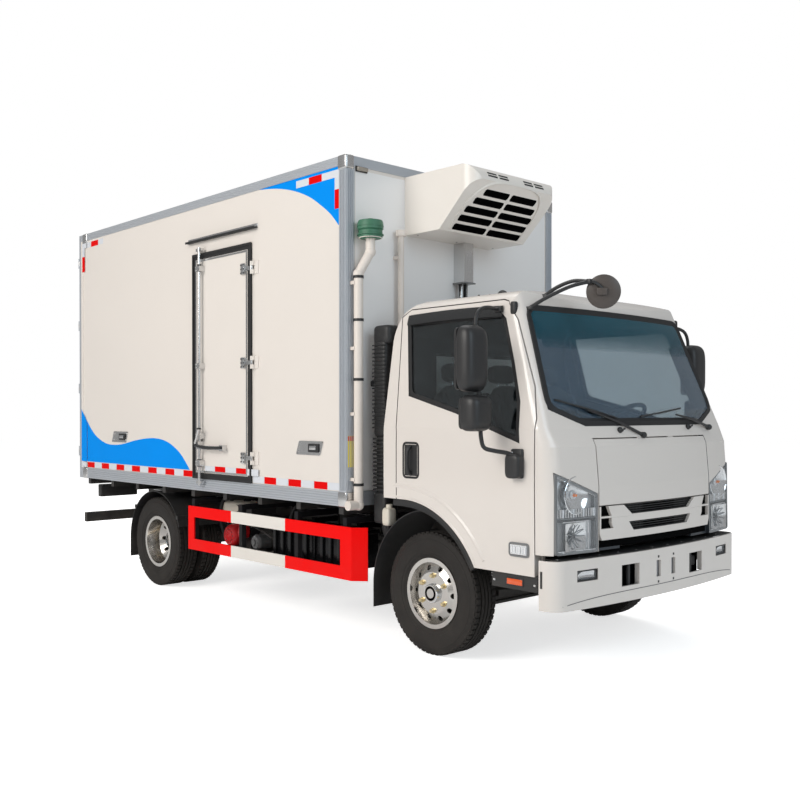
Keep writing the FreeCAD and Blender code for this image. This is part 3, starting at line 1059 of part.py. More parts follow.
def cab():
    """Hollow tilting cab with windows, lamps, grille, front lid, steps, seats and dashboard."""
    solid = cab_form("cab_outer", "0", "0", "cab_bottom")
    cavity = cab_form("cab_inner", "cab_wall", "front_depth", "footwell_floor")

    wide = ("-cab_half - 60", "cab_half + 60")
    arch = join("arch", rod("arch_round", "arch_radius", "y", wide, ("arch_x", "arch_z")),
                block("arch_flat", ("cab_rear - 60", "arch_x"), wide,
                      ("arch_z - 200", "arch_z + arch_radius")))
    well = rod("well", "well_radius", "y", ("-well_half", "well_half"),
               (FRONT_AXLE, "tyre_radius"))
    tunnel = block("tunnel", (FRONT_AXLE, "tunnel_front"), ("-tunnel_half", "tunnel_half"),
                   ("cab_bottom - 60", "cab_under"))
    chin = block("chin", ("door_front + door_gap", "cab_front + 60"), wide,
                 ("cab_bottom - 60", "lamp_bottom"))
    floor_mass = block("floor_mass", ("cab_rear - 60", "footwell_rear"), wide,
                       ("cab_bottom - 60", "cab_floor"))
    tunnel_mass = block("tunnel_mass", (FRONT_AXLE, "cab_front + 60"),
                        ("-tunnel_half - footwell_wall", "tunnel_half + footwell_wall"),
                        ("cab_bottom - 60", "cab_floor"))
    room = cut("cab_room", cavity, floor_mass, tunnel_mass)

    lid_back = moved("lid_back", solid, "-lid_depth")
    lid_recess = cut("lid_recess", nose_region("lid_zone", "lid_half + door_gap",
                                               "lid_bottom - door_gap", "lid_top + door_gap"),
                     moved("lid_floor", solid, "-lid_depth - door_gap"))
    grille_back = moved("grille_back", solid, "-grille_depth")
    grille_recess = cut("grille_recess", nose_region("grille_zone", "lid_half + door_gap",
                                                     "lamp_bottom - 10", "lid_bottom - 7"),
                        grille_back)
    mouth = block("grille_mouth", ("tunnel_front - 60", "cab_front + 60"),
                  ("-tunnel_half", "tunnel_half"), ("lamp_bottom - 10", "cab_under"))
    lamp_back = moved("lamp_back", solid, "-lamp_depth")
    lamp_hole = cut("lamp_hole", lamp_region("lamp_zone", "0"), lamp_back)
    rear_hole = block("rear_hole", ("cab_rear - 10", "cab_rear + cab_wall + 10"),
                      ("-rear_glass_half", "rear_glass_half"), ("waist_z", "waist_z + 430"))
    pivot = rod("pivot_hole", "pivot_radius + seat_gap", "y",
                ("-tunnel_half - footwell_wall - 5", "tunnel_half + footwell_wall + 5"),
                ("pivot_x", "pivot_z"))
    doorway = cut("doorway", shared("doorway_mass", door_outline(
        "doorway_form", "door_gap", ("-cab_half - 60", "-(cab_half) / 2")),
        side_band("doorway_depth", "cab_wall + door_gap")),
        pillar("doorway_pillar", solid, "0"))
    shell = cut("cab_shell", solid, arch, well, tunnel, chin, room, lid_recess, grille_recess,
                mouth, lamp_hole, mirrored("lamp_hole_right", lamp_hole),
                screen_outline("screen_hole", "0"), rear_hole, pivot, doorway,
                mirrored("doorway_left", doorway))
    keep("cab_shell", shell)

    screen = cut("windscreen", shared("screen_mass", solid, screen_outline("screen_pane", "seat_gap")),
                 moved("screen_back", solid, "-glass"))
    rear_glass = block("rear_glass", ("cab_rear + 20", "cab_rear + 20 + glass"),
                       ("seat_gap - rear_glass_half", "rear_glass_half - seat_gap"),
                       ("waist_z + seat_gap", "waist_z + 430 - seat_gap"))
    keep("cab_glass", group("cab_glass", screen, rear_glass))
    lamp = cut("headlamp", shared("lamp_mass", solid, lamp_region("lamp_body", "seat_gap")), lamp_back)
    keep("headlamps", pair("headlamps", lamp))
    lid = cut("lid_panel", shared("lid_mass", solid, nose_region(
        "lid_body", "lid_half", "lid_bottom", "lid_top")), lid_back)
    seam_z = "lid_top + door_gap / 2"
    seam_x = f"(screen_foot_x + (screen_foot_z - ({seam_z})) * 0.48 - 6)"
    lid_pieces = [lid]
    for side in (-1, 1):
        span = sorted((side * 140, side * 200))
        lid_pieces.append(rod(f"lid_knuckle{side}", "door_gap / 2 - seat_gap", "y", span,
                              (seam_x, seam_z)))
        lid_pieces.append(block(f"lid_tab{side}", (f"{seam_x} - 8", f"{seam_x} - 1"), span,
                                ("lid_top - 3", f"{seam_z} - 0.5")))
    keep("front_lid", join("front_lid", *lid_pieces))

    bars = []
    for low, high, inner, outer in ((905, 948, 350, 275), (822, 868, 330, 270)):
        bars.append(prism(f"slot_{low}", "x", [
            (f"-{outer}", low), (outer, low), (inner, high), (f"-{inner}", high)],
            ("tunnel_front - 60", "cab_front + 60")))
        for side in (-1, 1):
            bars.append(prism(f"slot_side{side}_{low}", "x", [
                (side * 430, low), (side * 590, low), (side * 590, high), (side * 500, high)],
                ("tunnel_front - 60", "cab_front + 60")))
    face = cut("grille_face", shared("grille_mass", solid, nose_region(
        "grille_body", "lid_half", "grille_bottom", "lid_bottom - 7.3")), grille_back)
    keep("grille", cut("grille", face, *bars))

    step = block("step", ("step_rear", "door_front + 10"), ("cab_half - 172", "cab_half - 22"),
                 ("cab_bottom - step_height", "cab_bottom"))
    keep("cab_steps", pair("cab_steps", step))
    return solid


def cab_doors(solid):
    """Two cab doors with their window frames, panes and mirrors."""
    span = ("-cab_half - 60", "-(cab_half) / 2")
    arch = join("door_arch", rod("door_arch_round", "arch_radius", "y", span, ("arch_x", "arch_z")),
                block("door_arch_flat", ("cab_rear - 60", "arch_x"), span,
                      ("arch_z - 200", "arch_z + arch_radius")))
    leaf = cut("door_leaf", shared("door_form", solid, door_outline("door_body", "0", span),
                                   side_band("door_depth", "cab_wall")),
               arch, window_outline("window_hole", "0", span),
               pillar("door_pillar", solid, "door_gap"))
    keep("cab_door_right", leaf)
    keep("cab_door_left", mirrored("cab_door_left", leaf))
    pane = shared("pane", cut("pane_skin", moved("pane_front", solid, 0, "glass_inset"),
                              moved("pane_back", solid, 0, "glass_inset + glass")),
                  window_outline("pane_form", "seat_gap", span))
    keep("door_glass_right", pane)
    keep("door_glass_left", mirrored("door_glass_left", pane))
    parts = []
    for name, x, low, high in (("upper", "mirror_x", "mirror_z", "mirror_z + 370"),
                               ("lower", "mirror_x + 35", "mirror_z - 225", "mirror_z - 25")):
        shell = block(f"{name}_mirror", (f"{x} - 38", f"{x} + 38"),
                      ("-mirror_y - mirror_width", "-mirror_y"), (low, high))
        parts.append(shell)
    stem_y = "-mirror_y - 40"
    parts.append(rod("mirror_stem", 12, "z", ("mirror_z - 240", "door_top - 38"),
                     ("mirror_x", stem_y)))
    parts.append(rod("mirror_top_arm", 10, "y", (f"{stem_y} - 5", "-(roof_half + 32)"),
                     ("mirror_x", "door_top - 52")))
    parts.append(rod("mirror_low_arm", 10, "x", ("mirror_x - 5", "mirror_x + 166"),
                     (stem_y, "mirror_z - 228")))
    parts.append(rod("mirror_drop", 12, "z", ("mirror_z - 350", "mirror_z - 210"),
                     ("mirror_x + 160", stem_y)))
    parts.append(block("mirror_foot", ("mirror_x + 110", "mirror_x + 210"),
                       (f"{stem_y} - 20", "-(cab_half + seat_gap)"), ("mirror_z - 490", "mirror_z - 330")))
    mirror = join("mirror_set", *parts)
    keep("door_mirror_right", mirror)
    keep("door_mirror_left", mirrored("door_mirror_left", mirror))


def strut(name, radius, start, finish):
    """Round bar between two points."""
    thing = doc.addObject("Part::Cylinder", name)
    bind(thing, "Radius", radius)
    spans = [f"(({b}) - ({a}))" for a, b in zip(start, finish)]
    bind(thing, "Height", "sqrt(" + " + ".join(f"{s} ^ 2" for s in spans) + ")")
    direction = FreeCAD.Vector(*[amount_of(text) for text in spans])
    thing.Placement.Rotation = FreeCAD.Rotation(FreeCAD.Vector(0, 0, 1), direction)
    return place(thing, *start)


def cab_fittings(solid):
    """Under-view mirror, seats, and dashboard with its steering column and wheel."""
    centre = ("cab_front - 60", -500, "screen_top_z + 30")
    disc = doc.addObject("Part::Cylinder", "view_disc")
    bind(disc, "Radius", "view_mirror_radius")
    bind(disc, "Height", 26)
    disc.Placement.Rotation = FreeCAD.Rotation(FreeCAD.Vector(0, 1, 0), 65)
    place(disc, *centre)
    base = ("screen_foot_x - 470", "120 - roof_half", "roof_z - 42")
    pieces = [disc,
              strut("view_arm_high", 11, base, (f"{centre[0]} - 250", centre[1], "roof_z + 60")),
              strut("view_arm_low", 11, (f"{base[0]} + 90", "60 - roof_half", "roof_z - 85"),
                    (f"{centre[0]} - 250", centre[1], "roof_z + 60")),
              strut("view_arm_end", 11, (f"{centre[0]} - 250", centre[1], "roof_z + 60"),
                    (f"{centre[0]} + 12", centre[1], centre[2]))]
    keep("under_view_mirror", cut("under_view_mirror", join("view_mirror", *pieces),
                                  moved("roof_seat", solid, 0, 0, "seat_gap")))

    seats = []
    for name, middle, half in (("driver", 520, 230), ("centre", 30, 170), ("passenger", -440, 230)):
        side = (f"{middle - half}", f"{middle + half}")
        cushion = block(f"{name}_cushion", ("cab_rear + cab_wall + 200", "cab_rear + 700"), side,
                        ("cab_floor + seat_gap", "cab_floor + 190"))
        back = prism(f"{name}_back", "y", [
            ("cab_rear + cab_wall + 190", "cab_floor + 150"),
            ("cab_rear + cab_wall + 310", "cab_floor + 150"),
            ("cab_rear + cab_wall + 180", "cab_floor + 700"),
            ("cab_rear + cab_wall + 80", "cab_floor + 700")], side)
        rest = block(f"{name}_rest", ("cab_rear + cab_wall + 70", "cab_rear + cab_wall + 160"),
                     (f"{middle - half / 2}", f"{middle + half / 2}"),
                     ("cab_floor + 690", "cab_floor + 860"))
        seats.append(join(f"{name}_seat", cushion, back, rest))
    keep("seats", group("seats", *seats))

    board = prism("board", "y", [
        ("footwell_rear + 90", "cab_floor + seat_gap"),
        ("cab_front - front_depth - 160", "cab_floor + seat_gap"),
        ("cab_front - front_depth - 150", "screen_foot_z - 60"),
        ("footwell_rear + 180", "screen_foot_z - 15"), ("footwell_rear + 60", "screen_foot_z - 60"),
        ("footwell_rear + 40", "screen_foot_z - 190")], ("160 - cab_half", "cab_half - 160"))
    cowl = block("board_wall", ("cab_front - front_depth - 170", "cab_front - front_depth - 90"),
                 ("300 - cab_half", "cab_half - 300"), ("cab_floor + 60", "cab_floor + 200"))
    wheel_at = ("footwell_rear - 130", 470, "screen_foot_z + 20")
    rim = doc.addObject("Part::Torus", "steering_rim")
    bind(rim, "Radius1", "steering_radius")
    bind(rim, "Radius2", 15)
    rim.Placement.Rotation = FreeCAD.Rotation(FreeCAD.Vector(0, 1, 0), -38)
    place(rim, *wheel_at)
    spokes = []
    for side in (-1, 1):
        spokes.append(strut(f"spoke{side}", 11, wheel_at,
                            (wheel_at[0], f"{wheel_at[1]} + {side} * steering_radius", wheel_at[2])))
    column = strut("column", 34, wheel_at, ("footwell_rear + 100", 470, "screen_foot_z - 280"))
    keep("dashboard", join("dashboard", board, cowl, rim, column, *spokes))


def knuckles():
    """Steering knuckles with their kingpins and spindles."""
    pin = rod("kingpin", "kingpin_radius", "z",
              ("tyre_radius - kingpin_height / 2", "tyre_radius + kingpin_height / 2"),
              (FRONT_AXLE, "kingpin_y"))
    lugs = []
    for number, span in enumerate((("tyre_radius + 50", "tyre_radius + kingpin_height / 2"),
                                   ("tyre_radius - kingpin_height / 2", "tyre_radius - 50"))):
        lugs.append(block(f"lug{number}", (f"{FRONT_AXLE} - 34", f"{FRONT_AXLE} + 34"),
                          ("kingpin_y - 30", "kingpin_y + 62"), span))
    plate = block("knuckle_plate", (f"{FRONT_AXLE} - 50", f"{FRONT_AXLE} + 50"),
                  ("kingpin_y + 46", "kingpin_y + 62"),
                  ("tyre_radius - kingpin_height / 2", "tyre_radius + kingpin_height / 2"))
    spindle = rod("spindle", "spindle_radius", "y", ("kingpin_y + 60", "front_rim_face - 60"),
                  (FRONT_AXLE, "tyre_radius"))
    knuckle = join("knuckle", pin, *lugs, plate, spindle)
    keep("knuckle_left", knuckle)
    keep("knuckle_right", mirrored("knuckle_right", knuckle))


def rim(name, face, sign, nuts, skirt):
    """Pressed wheel seen from its face: barrel with flanges and a disc whose nuts sit at a depth."""
    def at(depth):
        return f"{face} - {sign} * ({depth})"
    well = "bead_radius - rim_wall"
    barrel = [(at("0"), "rim_radius"), (at("rim_wall"), "rim_radius"),
              (at("rim_wall"), "bead_radius"), (at("rim_width - rim_wall"), "bead_radius"),
              (at("rim_width - rim_wall"), "rim_radius"), (at("rim_width"), "rim_radius"),
              (at("rim_width"), well), (at("0"), well)]
    disc = [(at(skirt), f"{well} + 2"), (at(nuts), "hand_hole_circle - 30"), (at(nuts), "hub_bore"),
            (at(f"{nuts} + disc_wall"), "hub_bore"),
            (at(f"{nuts} + disc_wall"), "hand_hole_circle - 33"),
            (at(f"{skirt} + disc_wall"), f"{well} + 2")]
    pieces = [turned(f"{name}_barrel", barrel), turned(f"{name}_disc", disc)]
    holes = []
    for number in range(SIZES["hand_hole_count"]):
        turn = f"{number} * 360 / hand_hole_count"
        holes.append(rod(f"{name}_hole{number}", "hand_hole_radius", "y",
                         sorted((at(f"{skirt} - 70"), at(f"{skirt} + 90")), key=amount_of),
                         (f"hand_hole_circle * cos({turn})", f"hand_hole_circle * sin({turn})")))
    return pieces[0], cut(f"{name}_pierced", pieces[1], group(f"{name}_holes", *holes))


def tyre(name, middle):
    """Tyre as a turned ring: bead, bulging walls, shoulders and crown."""
    bead = "(rim_width / 2 - rim_wall)"
    tread = "(tyre_crown / 2)"
    bulge = "(tyre_width / 2)"
    waist = "(rim_radius + tyre_radius) / 2"
    return turned(name, [
        (f"{middle} - {bead}", "bead_radius"), (f"{middle} + {bead}", "bead_radius"),
        (f"{middle} + {bead}", "rim_radius + 5"),
        (f"{middle} + {tread} + 9", "tyre_radius - 14", f"{middle} + {bulge}", waist),
        (f"{middle} + {tread}", "tyre_radius"), (f"{middle} - {tread}", "tyre_radius"),
        (f"{middle} - {tread} - 9", "tyre_radius - 14"),
        (f"{middle} - {bead}", "rim_radius + 5", f"{middle} - {bulge}", waist)])


def wheels():
    """Front wheels and rear twin wheels with hubs, drums and tyres."""
    front = [*rim("front_rim", "front_rim_face", 1, "14", "45"),
             turned("front_hub", [
                 ("kingpin_y + 75", "spindle_radius + seat_gap"), ("kingpin_y + 75", "drum_radius"),
                 ("kingpin_y + 75 + drum_width", "drum_radius"),
                 ("kingpin_y + 75 + drum_width", "hub_radius"),
                 ("front_rim_face - 20", "hub_radius"), ("front_rim_face - 20", "hub_bore - 4"),
                 ("front_rim_face + 12", "hub_bore - 8"), ("front_rim_face + 12", 0),
                 ("front_rim_face - 60 + seat_gap", 0),
                 ("front_rim_face - 60 + seat_gap", "spindle_radius + seat_gap")])]
    wheel = place(join("front_wheel", *front), FRONT_AXLE, 0, "tyre_radius")
    keep("front_wheel_left", wheel)
    keep("front_wheel_right", mirrored("front_wheel_right", wheel))
    ring = place(tyre("front_tyre", "front_rim_face - rim_width / 2"), FRONT_AXLE, 0, "tyre_radius")
    keep("front_tyre_left", ring)
    keep("front_tyre_right", mirrored("front_tyre_right", ring))

    nuts = f"rear_rim_face - ({MOUNT}) - disc_wall"
    rear = [*rim("outer_rim", "rear_rim_face", 1, nuts, "dish_depth"),
            *rim("inner_rim", f"2 * ({MOUNT}) - rear_rim_face", -1, nuts, "dish_depth"),
            turned("rear_hub", [
                (f"{MOUNT} - disc_wall - drum_width", 0),
                (f"{MOUNT} - disc_wall - drum_width", "drum_radius"),
                (f"{MOUNT} - disc_wall", "drum_radius"), (f"{MOUNT} - disc_wall", "hub_bore + 2"),
                (f"{MOUNT} + hub_length", "hub_bore - 6"), (f"{MOUNT} + hub_length", 0)])]
    twin = place(join("rear_wheel", *rear), "rear_axle_x", 0, "tyre_radius")
    keep("rear_wheels_left", twin)
    keep("rear_wheels_right", mirrored("rear_wheels_right", twin))
    rings = [tyre("outer_tyre", "rear_rim_face - rim_width / 2"),
             tyre("inner_tyre", "rear_rim_face - rim_width / 2 - twin_pitch")]
    both = place(group("rear_tyres", *rings), "rear_axle_x", 0, "tyre_radius")
    keep("rear_tyres_left", both)
    keep("rear_tyres_right", mirrored("rear_tyres_right", both))


MOUNT = "rear_rim_face - rim_width / 2 - twin_pitch / 2"

chassis_frame()
body_sills()
front_axle()
rear_axle()
leaf_springs()
engine_bay()
tanks()
guards()
mudguards()
bumper()
box_shell()
side_door()
rear_doors()
cooling_unit()
pipes()
cab_solid = cab()
cab_doors(cab_solid)
cab_fittings(cab_solid)
knuckles()
wheels()

doc.recompute()
faults = [thing.Name for thing in doc.Objects
          if "Invalid" in thing.State or "Error" in thing.State]
for node in nodes:
    if node.Shape.isNull() or not node.Shape.isValid() or not node.Shape.Solids:
        faults.append(node.Label)
if faults:
    raise SystemExit(f"failed objects: {faults}")
os.makedirs("parts", exist_ok=True)
for node in nodes:
    node.Shape.exportStep(f"parts/{node.Label}.step")
    print(node.Label, len(node.Shape.Solids), round(node.Shape.Volume / 1e6, 2), "litres")
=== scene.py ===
import bpy
import bmesh
import json
import math
from itertools import product
from mathutils import Matrix, Vector
from mathutils.bvhtree import BVHTree

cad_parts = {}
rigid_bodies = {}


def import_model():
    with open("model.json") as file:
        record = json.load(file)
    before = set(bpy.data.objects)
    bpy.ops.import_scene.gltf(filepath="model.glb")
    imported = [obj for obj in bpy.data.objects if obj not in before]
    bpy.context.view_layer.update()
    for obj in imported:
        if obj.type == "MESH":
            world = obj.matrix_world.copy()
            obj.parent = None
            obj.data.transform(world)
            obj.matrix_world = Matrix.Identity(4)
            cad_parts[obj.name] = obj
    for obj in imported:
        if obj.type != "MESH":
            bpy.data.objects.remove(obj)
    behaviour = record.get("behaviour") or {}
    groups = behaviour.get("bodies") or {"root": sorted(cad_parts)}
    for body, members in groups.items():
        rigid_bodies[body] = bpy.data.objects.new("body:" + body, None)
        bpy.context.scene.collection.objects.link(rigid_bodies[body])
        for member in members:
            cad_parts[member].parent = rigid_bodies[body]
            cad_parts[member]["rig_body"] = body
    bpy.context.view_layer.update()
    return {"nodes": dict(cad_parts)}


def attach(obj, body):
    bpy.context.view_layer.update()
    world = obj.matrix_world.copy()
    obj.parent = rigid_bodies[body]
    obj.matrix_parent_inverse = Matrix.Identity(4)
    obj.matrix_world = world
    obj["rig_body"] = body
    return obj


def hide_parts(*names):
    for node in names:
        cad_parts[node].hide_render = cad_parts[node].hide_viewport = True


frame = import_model()
nodes = frame["nodes"]
print("frame loaded:", len(nodes), "nodes")

# small helpers for node trees and objects; a value may be another node's socket


def setInputs(tree, node, values):
    for label, value in values.items():
        if isinstance(value, bpy.types.NodeSocket):
            tree.links.new(value, node.inputs[label])
        else:
            node.inputs[label].default_value = value


def addNode(tree, kind, values=None, **settings):
    node = tree.nodes.new(kind)
    for label, value in settings.items():
        setattr(node, label, value)
    setInputs(tree, node, values or {})
    return node


def addMath(tree, operation, *values, clamp=False):
    return addNode(tree, "ShaderNodeMath", dict(enumerate(values)), operation=operation,
        use_clamp=clamp).outputs[0]


def addMix(tree, share, first, second, blend="MIX"):
    first, second = ((*tone, 1) if isinstance(tone, tuple) else tone for tone in (first, second))
    return addNode(tree, "ShaderNodeMix", {0: share, 6: first, 7: second}, data_type="RGBA",
        blend_type=blend).outputs[2]


def newObject(name, data):
    made = bpy.data.objects.new(name, data)
    bpy.context.collection.objects.link(made)
    return made


# camera, lamps and floor
view = {"place": (6.098, -5.221, 1.525), "yaw": 137.489, "pitch": -0.503, "lens": 43.19,
    "shiftX": 0.01447, "shiftY": 0.02606}
studio = {"floorSize": 90, "floorTone": 0.93, "floorGlow": 0.68, "fill": 0.34,
    "lamps": (("keyLamp", (0.6, -11.0, 6.5), (0.0, 0.0, 1.3), 7.0, 760, (1.0, 0.965, 0.92)),
    ("frontLamp", (10.0, -1.5, 5.0), (1.5, 0.0, 1.4), 6.0, 205, (0.72, 0.88, 1.0)),
    ("topLamp", (-1.0, 1.0, 11.0), (-0.5, 0.0, 1.0), 8.0, 330, (0.97, 0.985, 1.0)),
    ("backLamp", (-9.0, 7.0, 5.5), (-1.0, 0.0, 1.4), 6.0, 400, (1.0, 0.98, 0.95)))}


def makeCamera():
    yaw, pitch = math.radians(view["yaw"]), math.radians(view["pitch"])
    ahead = Vector((math.cos(pitch) * math.cos(yaw), math.cos(pitch) * math.sin(yaw), math.sin(pitch)))
    data = bpy.data.cameras.new("camera")
    data.lens, data.sensor_width = view["lens"], 36
    data.shift_x, data.shift_y = view["shiftX"], view["shiftY"]
    data.clip_start, data.clip_end = 0.1, 200
    camera = newObject("camera", data)
    camera.location = view["place"]
    camera.rotation_euler = ahead.to_track_quat("-Z", "Y").to_euler()
    bpy.context.scene.camera = camera


def makeLamps():
    for name, place, aim, size, power, tint in studio["lamps"]:
        data = bpy.data.lights.new(name, "AREA")
        data.shape, data.size, data.energy, data.color = "DISK", size, power, tint
        lamp = newObject(name, data)
        lamp.location = place
        lamp.rotation_euler = (Vector(aim) - Vector(place)).to_track_quat("-Z", "Y").to_euler()
    world = bpy.data.worlds.new("studioWorld")
    bpy.context.scene.world = world
    world.use_nodes = True
    tree = world.node_tree
    tree.nodes.clear()
    rays = addNode(tree, "ShaderNodeLightPath").outputs
    seen = addMath(tree, "MAXIMUM", rays["Is Camera Ray"], rays["Is Transmission Ray"])
    level = addNode(tree, "ShaderNodeMapRange", {"Value": seen, "To Min": studio["fill"], "To Max": 1.0})
    sky = addNode(tree, "ShaderNodeBackground", {"Color": (1, 1, 1, 1), "Strength": level.outputs["Result"]})
    addNode(tree, "ShaderNodeOutputWorld", {0: sky.outputs[0]})


def makeFloor():
    half = studio["floorSize"] / 2
    mesh = bpy.data.meshes.new("floor")
    mesh.from_pydata([(-half, -half, 0), (half, -half, 0), (half, half, 0),
        (-half, half, 0)], [], [(0, 1, 2, 3)])
    paint = bpy.data.materials.new("floorPaint")
    paint.use_nodes = True
    tree = paint.node_tree
    tree.nodes.clear()
    flat = addNode(tree, "ShaderNodeBsdfDiffuse", {"Color": (studio["floorTone"],) * 3 + (1,)}).outputs[0]
    glow = addNode(tree, "ShaderNodeEmission", {"Color": (1, 1, 1, 1),
        "Strength": studio["floorGlow"]}).outputs[0]
    both = addNode(tree, "ShaderNodeAddShader", {0: flat, 1: glow}).outputs[0]
    rays = addNode(tree, "ShaderNodeLightPath").outputs
    share = addNode(tree, "ShaderNodeMixShader", {0: rays["Is Camera Ray"], 1: flat, 2: both}).outputs[0]
    addNode(tree, "ShaderNodeOutputMaterial", {0: share})
    mesh.materials.append(paint)
    newObject("floor", mesh)


makeCamera()
makeLamps()
makeFloor()
bpy.context.scene.view_settings.view_transform = "Standard"
print("camera, lamps and floor ready")

# finishes: fine grain on everything, and road dust that thins out upwards
dust = {"tone": (0.22, 0.195, 0.165), "patches": 7.0, "detail": 6.0, "spread": (1.6, -0.25), "roughness": 0.5}


def newGroup(name, inputs, outputs):
    tree = bpy.data.node_groups.new(name, "ShaderNodeTree")
    for label, kind, value in inputs:
        socket = tree.interface.new_socket(label, in_out="INPUT", socket_type="NodeSocket" + kind)
        socket.default_value = value
    for label, kind in outputs:
        tree.interface.new_socket(label, in_out="OUTPUT", socket_type="NodeSocket" + kind)
    return tree, addNode(tree, "NodeGroupInput").outputs, addNode(tree, "NodeGroupOutput")


def placeOf(tree, output="Object"):
    return addNode(tree, "ShaderNodeTexCoord").outputs[output]


def axesOf(tree, output="Object"):
    return addNode(tree, "ShaderNodeSeparateXYZ", {0: placeOf(tree, output)}).outputs


def makeGrainGroup():
    tree, given, end = newGroup("surfaceGrain", (("Scale", "Float", 40.0), ("Stretch", "Vector", (1, 1, 1)),
        ("Detail", "Float", 3.0)), (("Value", "Float"), ("Height", "Float")))
    spot = addNode(tree, "ShaderNodeVectorMath", {0: placeOf(tree),
        1: given["Stretch"]}, operation="MULTIPLY")
    broad, fine = (addNode(tree, "ShaderNodeTexNoise", {"Vector": spot.outputs[0], "Scale": scale,
        "Detail": given["Detail"]}).outputs[0] for scale in (given["Scale"],
        addMath(tree, "MULTIPLY", given["Scale"], 6.0)))
    height = addMath(tree, "MULTIPLY_ADD", fine, 0.4, addMath(tree, "MULTIPLY", broad, 0.6))
    setInputs(tree, end, {"Value": broad, "Height": height})
    return tree


def makeDustGroup():
    tree, given, end = newGroup("roadDust", (("Color", "Color", (1, 1, 1, 1)),
        ("Dust", "Color", (0.3, 0.27, 0.23, 1)), ("Amount", "Float", 0.3), ("Top", "Float", 1.0)),
        (("Color", "Color"), ("Mask", "Float")))
    rise = addMath(tree, "DIVIDE", axesOf(tree)[2], given["Top"])
    low = addMath(tree, "SUBTRACT", 1.0, rise, clamp=True)
    patch = addNode(tree, "ShaderNodeTexNoise", {"Scale": dust["patches"], "Detail": dust["detail"],
        "Vector": placeOf(tree)}).outputs[0]
    spread = addMath(tree, "MULTIPLY_ADD", patch, *dust["spread"], clamp=True)
    mask = addMath(tree, "MULTIPLY", addMath(tree, "MULTIPLY", low, spread), given["Amount"], clamp=True)
    setInputs(tree, end, {"Color": addMix(tree, mask, given["Color"], given["Dust"]), "Mask": mask})
    return tree


grainGroup, dustGroup = makeGrainGroup(), makeDustGroup()


def newFinish(name, **grainSize):
    finish = bpy.data.materials.new(name)
    finish.use_nodes = True
    tree = finish.node_tree
    grain = addNode(tree, "ShaderNodeGroup", grainSize, node_tree=grainGroup).outputs
    return finish, tree, tree.nodes["Principled BSDF"], grain


# second lays another coating over a mask, and on the cab shell it lays painted shade: (mask, colour,
# roughness, metal)
def makeFinish(name, color, rough, metal, coat, scale, depth, tint, vary, dusty, dustTop, stretch=(1, 1, 1),
        pattern=None, specular=0.5, sheen=0.0, second=None):
    finish, tree, shader, grain = newFinish(name, Scale=scale, Stretch=stretch)
    if pattern:
        tone = addMath(tree, "MULTIPLY_ADD", grain["Value"], 2 * tint, 1 - tint)
        level = addNode(tree, "ShaderNodeCombineColor", {0: tone, 1: tone, 2: tone}).outputs[0]
        toned = addMix(tree, 1.0, pattern(tree), level, "MULTIPLY")
    else:
        toned = addMix(tree, grain["Value"], tuple(c * (1 - tint) for c in color),
            tuple(min(1.0, c * (1 + tint)) for c in color))
    gloss, shine = rough - vary / 2, metal
    if second:
        mask, color2, rough2, metal2 = second
        share = mask(tree)
        toned = addMix(tree, share, toned, color2)
        gloss = addMath(tree, "SUBTRACT", addMath(tree, "MULTIPLY_ADD", share,
            rough2 - rough, rough), vary / 2)
        if metal2 != metal:
            shine = addMath(tree, "MULTIPLY_ADD", share, metal2 - metal, metal)
    road = addNode(tree, "ShaderNodeGroup", {"Color": toned, "Dust": (*dust["tone"], 1), "Amount": dusty,
        "Top": dustTop}, node_tree=dustGroup).outputs
    gloss = addMath(tree, "MULTIPLY_ADD", grain["Value"], vary, gloss, clamp=True)
    gloss = addMath(tree, "MULTIPLY_ADD", road["Mask"], dust["roughness"], gloss, clamp=True)
    setInputs(tree, shader, {"Base Color": road["Color"], "Roughness": gloss, "Metallic": shine,
        "Coat Weight": coat, "Coat Roughness": 0.06, "Specular IOR Level": specular, "Sheen Weight": sheen})
    if depth:
        bump = addNode(tree, "ShaderNodeBump", {"Strength": 1.0, "Distance": depth,
            "Height": grain["Height"]})
        setInputs(tree, shader, {"Normal": bump.outputs[0]})
    return finish


def makeGlass(name, color, rough=0.02, through=1.0, alpha=1.0, fade=None):
    finish, tree, shader, grain = newFinish(name, Scale=3.0)
    if fade:
        rise = addMath(tree, "SUBTRACT", axesOf(tree)[2], fade[0])
        rise = addMath(tree, "DIVIDE", rise, fade[1] - fade[0], clamp=True)
        alpha = addMath(tree, "MULTIPLY", addMath(tree, "POWER", rise, 0.7), alpha)
    setInputs(tree, shader, {"Base Color": addMix(tree, grain["Value"], tuple(c * 0.96 for c in color),
        color), "Roughness": addMath(tree, "MULTIPLY_ADD", grain["Value"], 0.02, rough),
        "Transmission Weight": through, "IOR": 1.45, "Alpha": alpha, "Specular IOR Level": 0.2})
    return finish


# masks and patterns by place: each is given a tree and puts out a socket
def allOf(tree, first, *others):
    for other in others:
        first = addMath(tree, "MULTIPLY", first, other)
    return first


def nearTo(tree, along, middle, reach):
    gap = addMath(tree, "SUBTRACT", along, middle)
    return addMath(tree, "LESS_THAN", addMath(tree, "ABSOLUTE", gap), reach)


def byStation(steps):
    def pattern(tree):
        along, tone = axesOf(tree)[0], steps[0][1]
        for start, color in steps[1:]:
            tone = addMix(tree, addMath(tree, "GREATER_THAN", along, start), tone, color)
        return tone
    return pattern


def pastX(limit):
    return lambda tree: addMath(tree, "LESS_THAN", axesOf(tree)[0], limit)
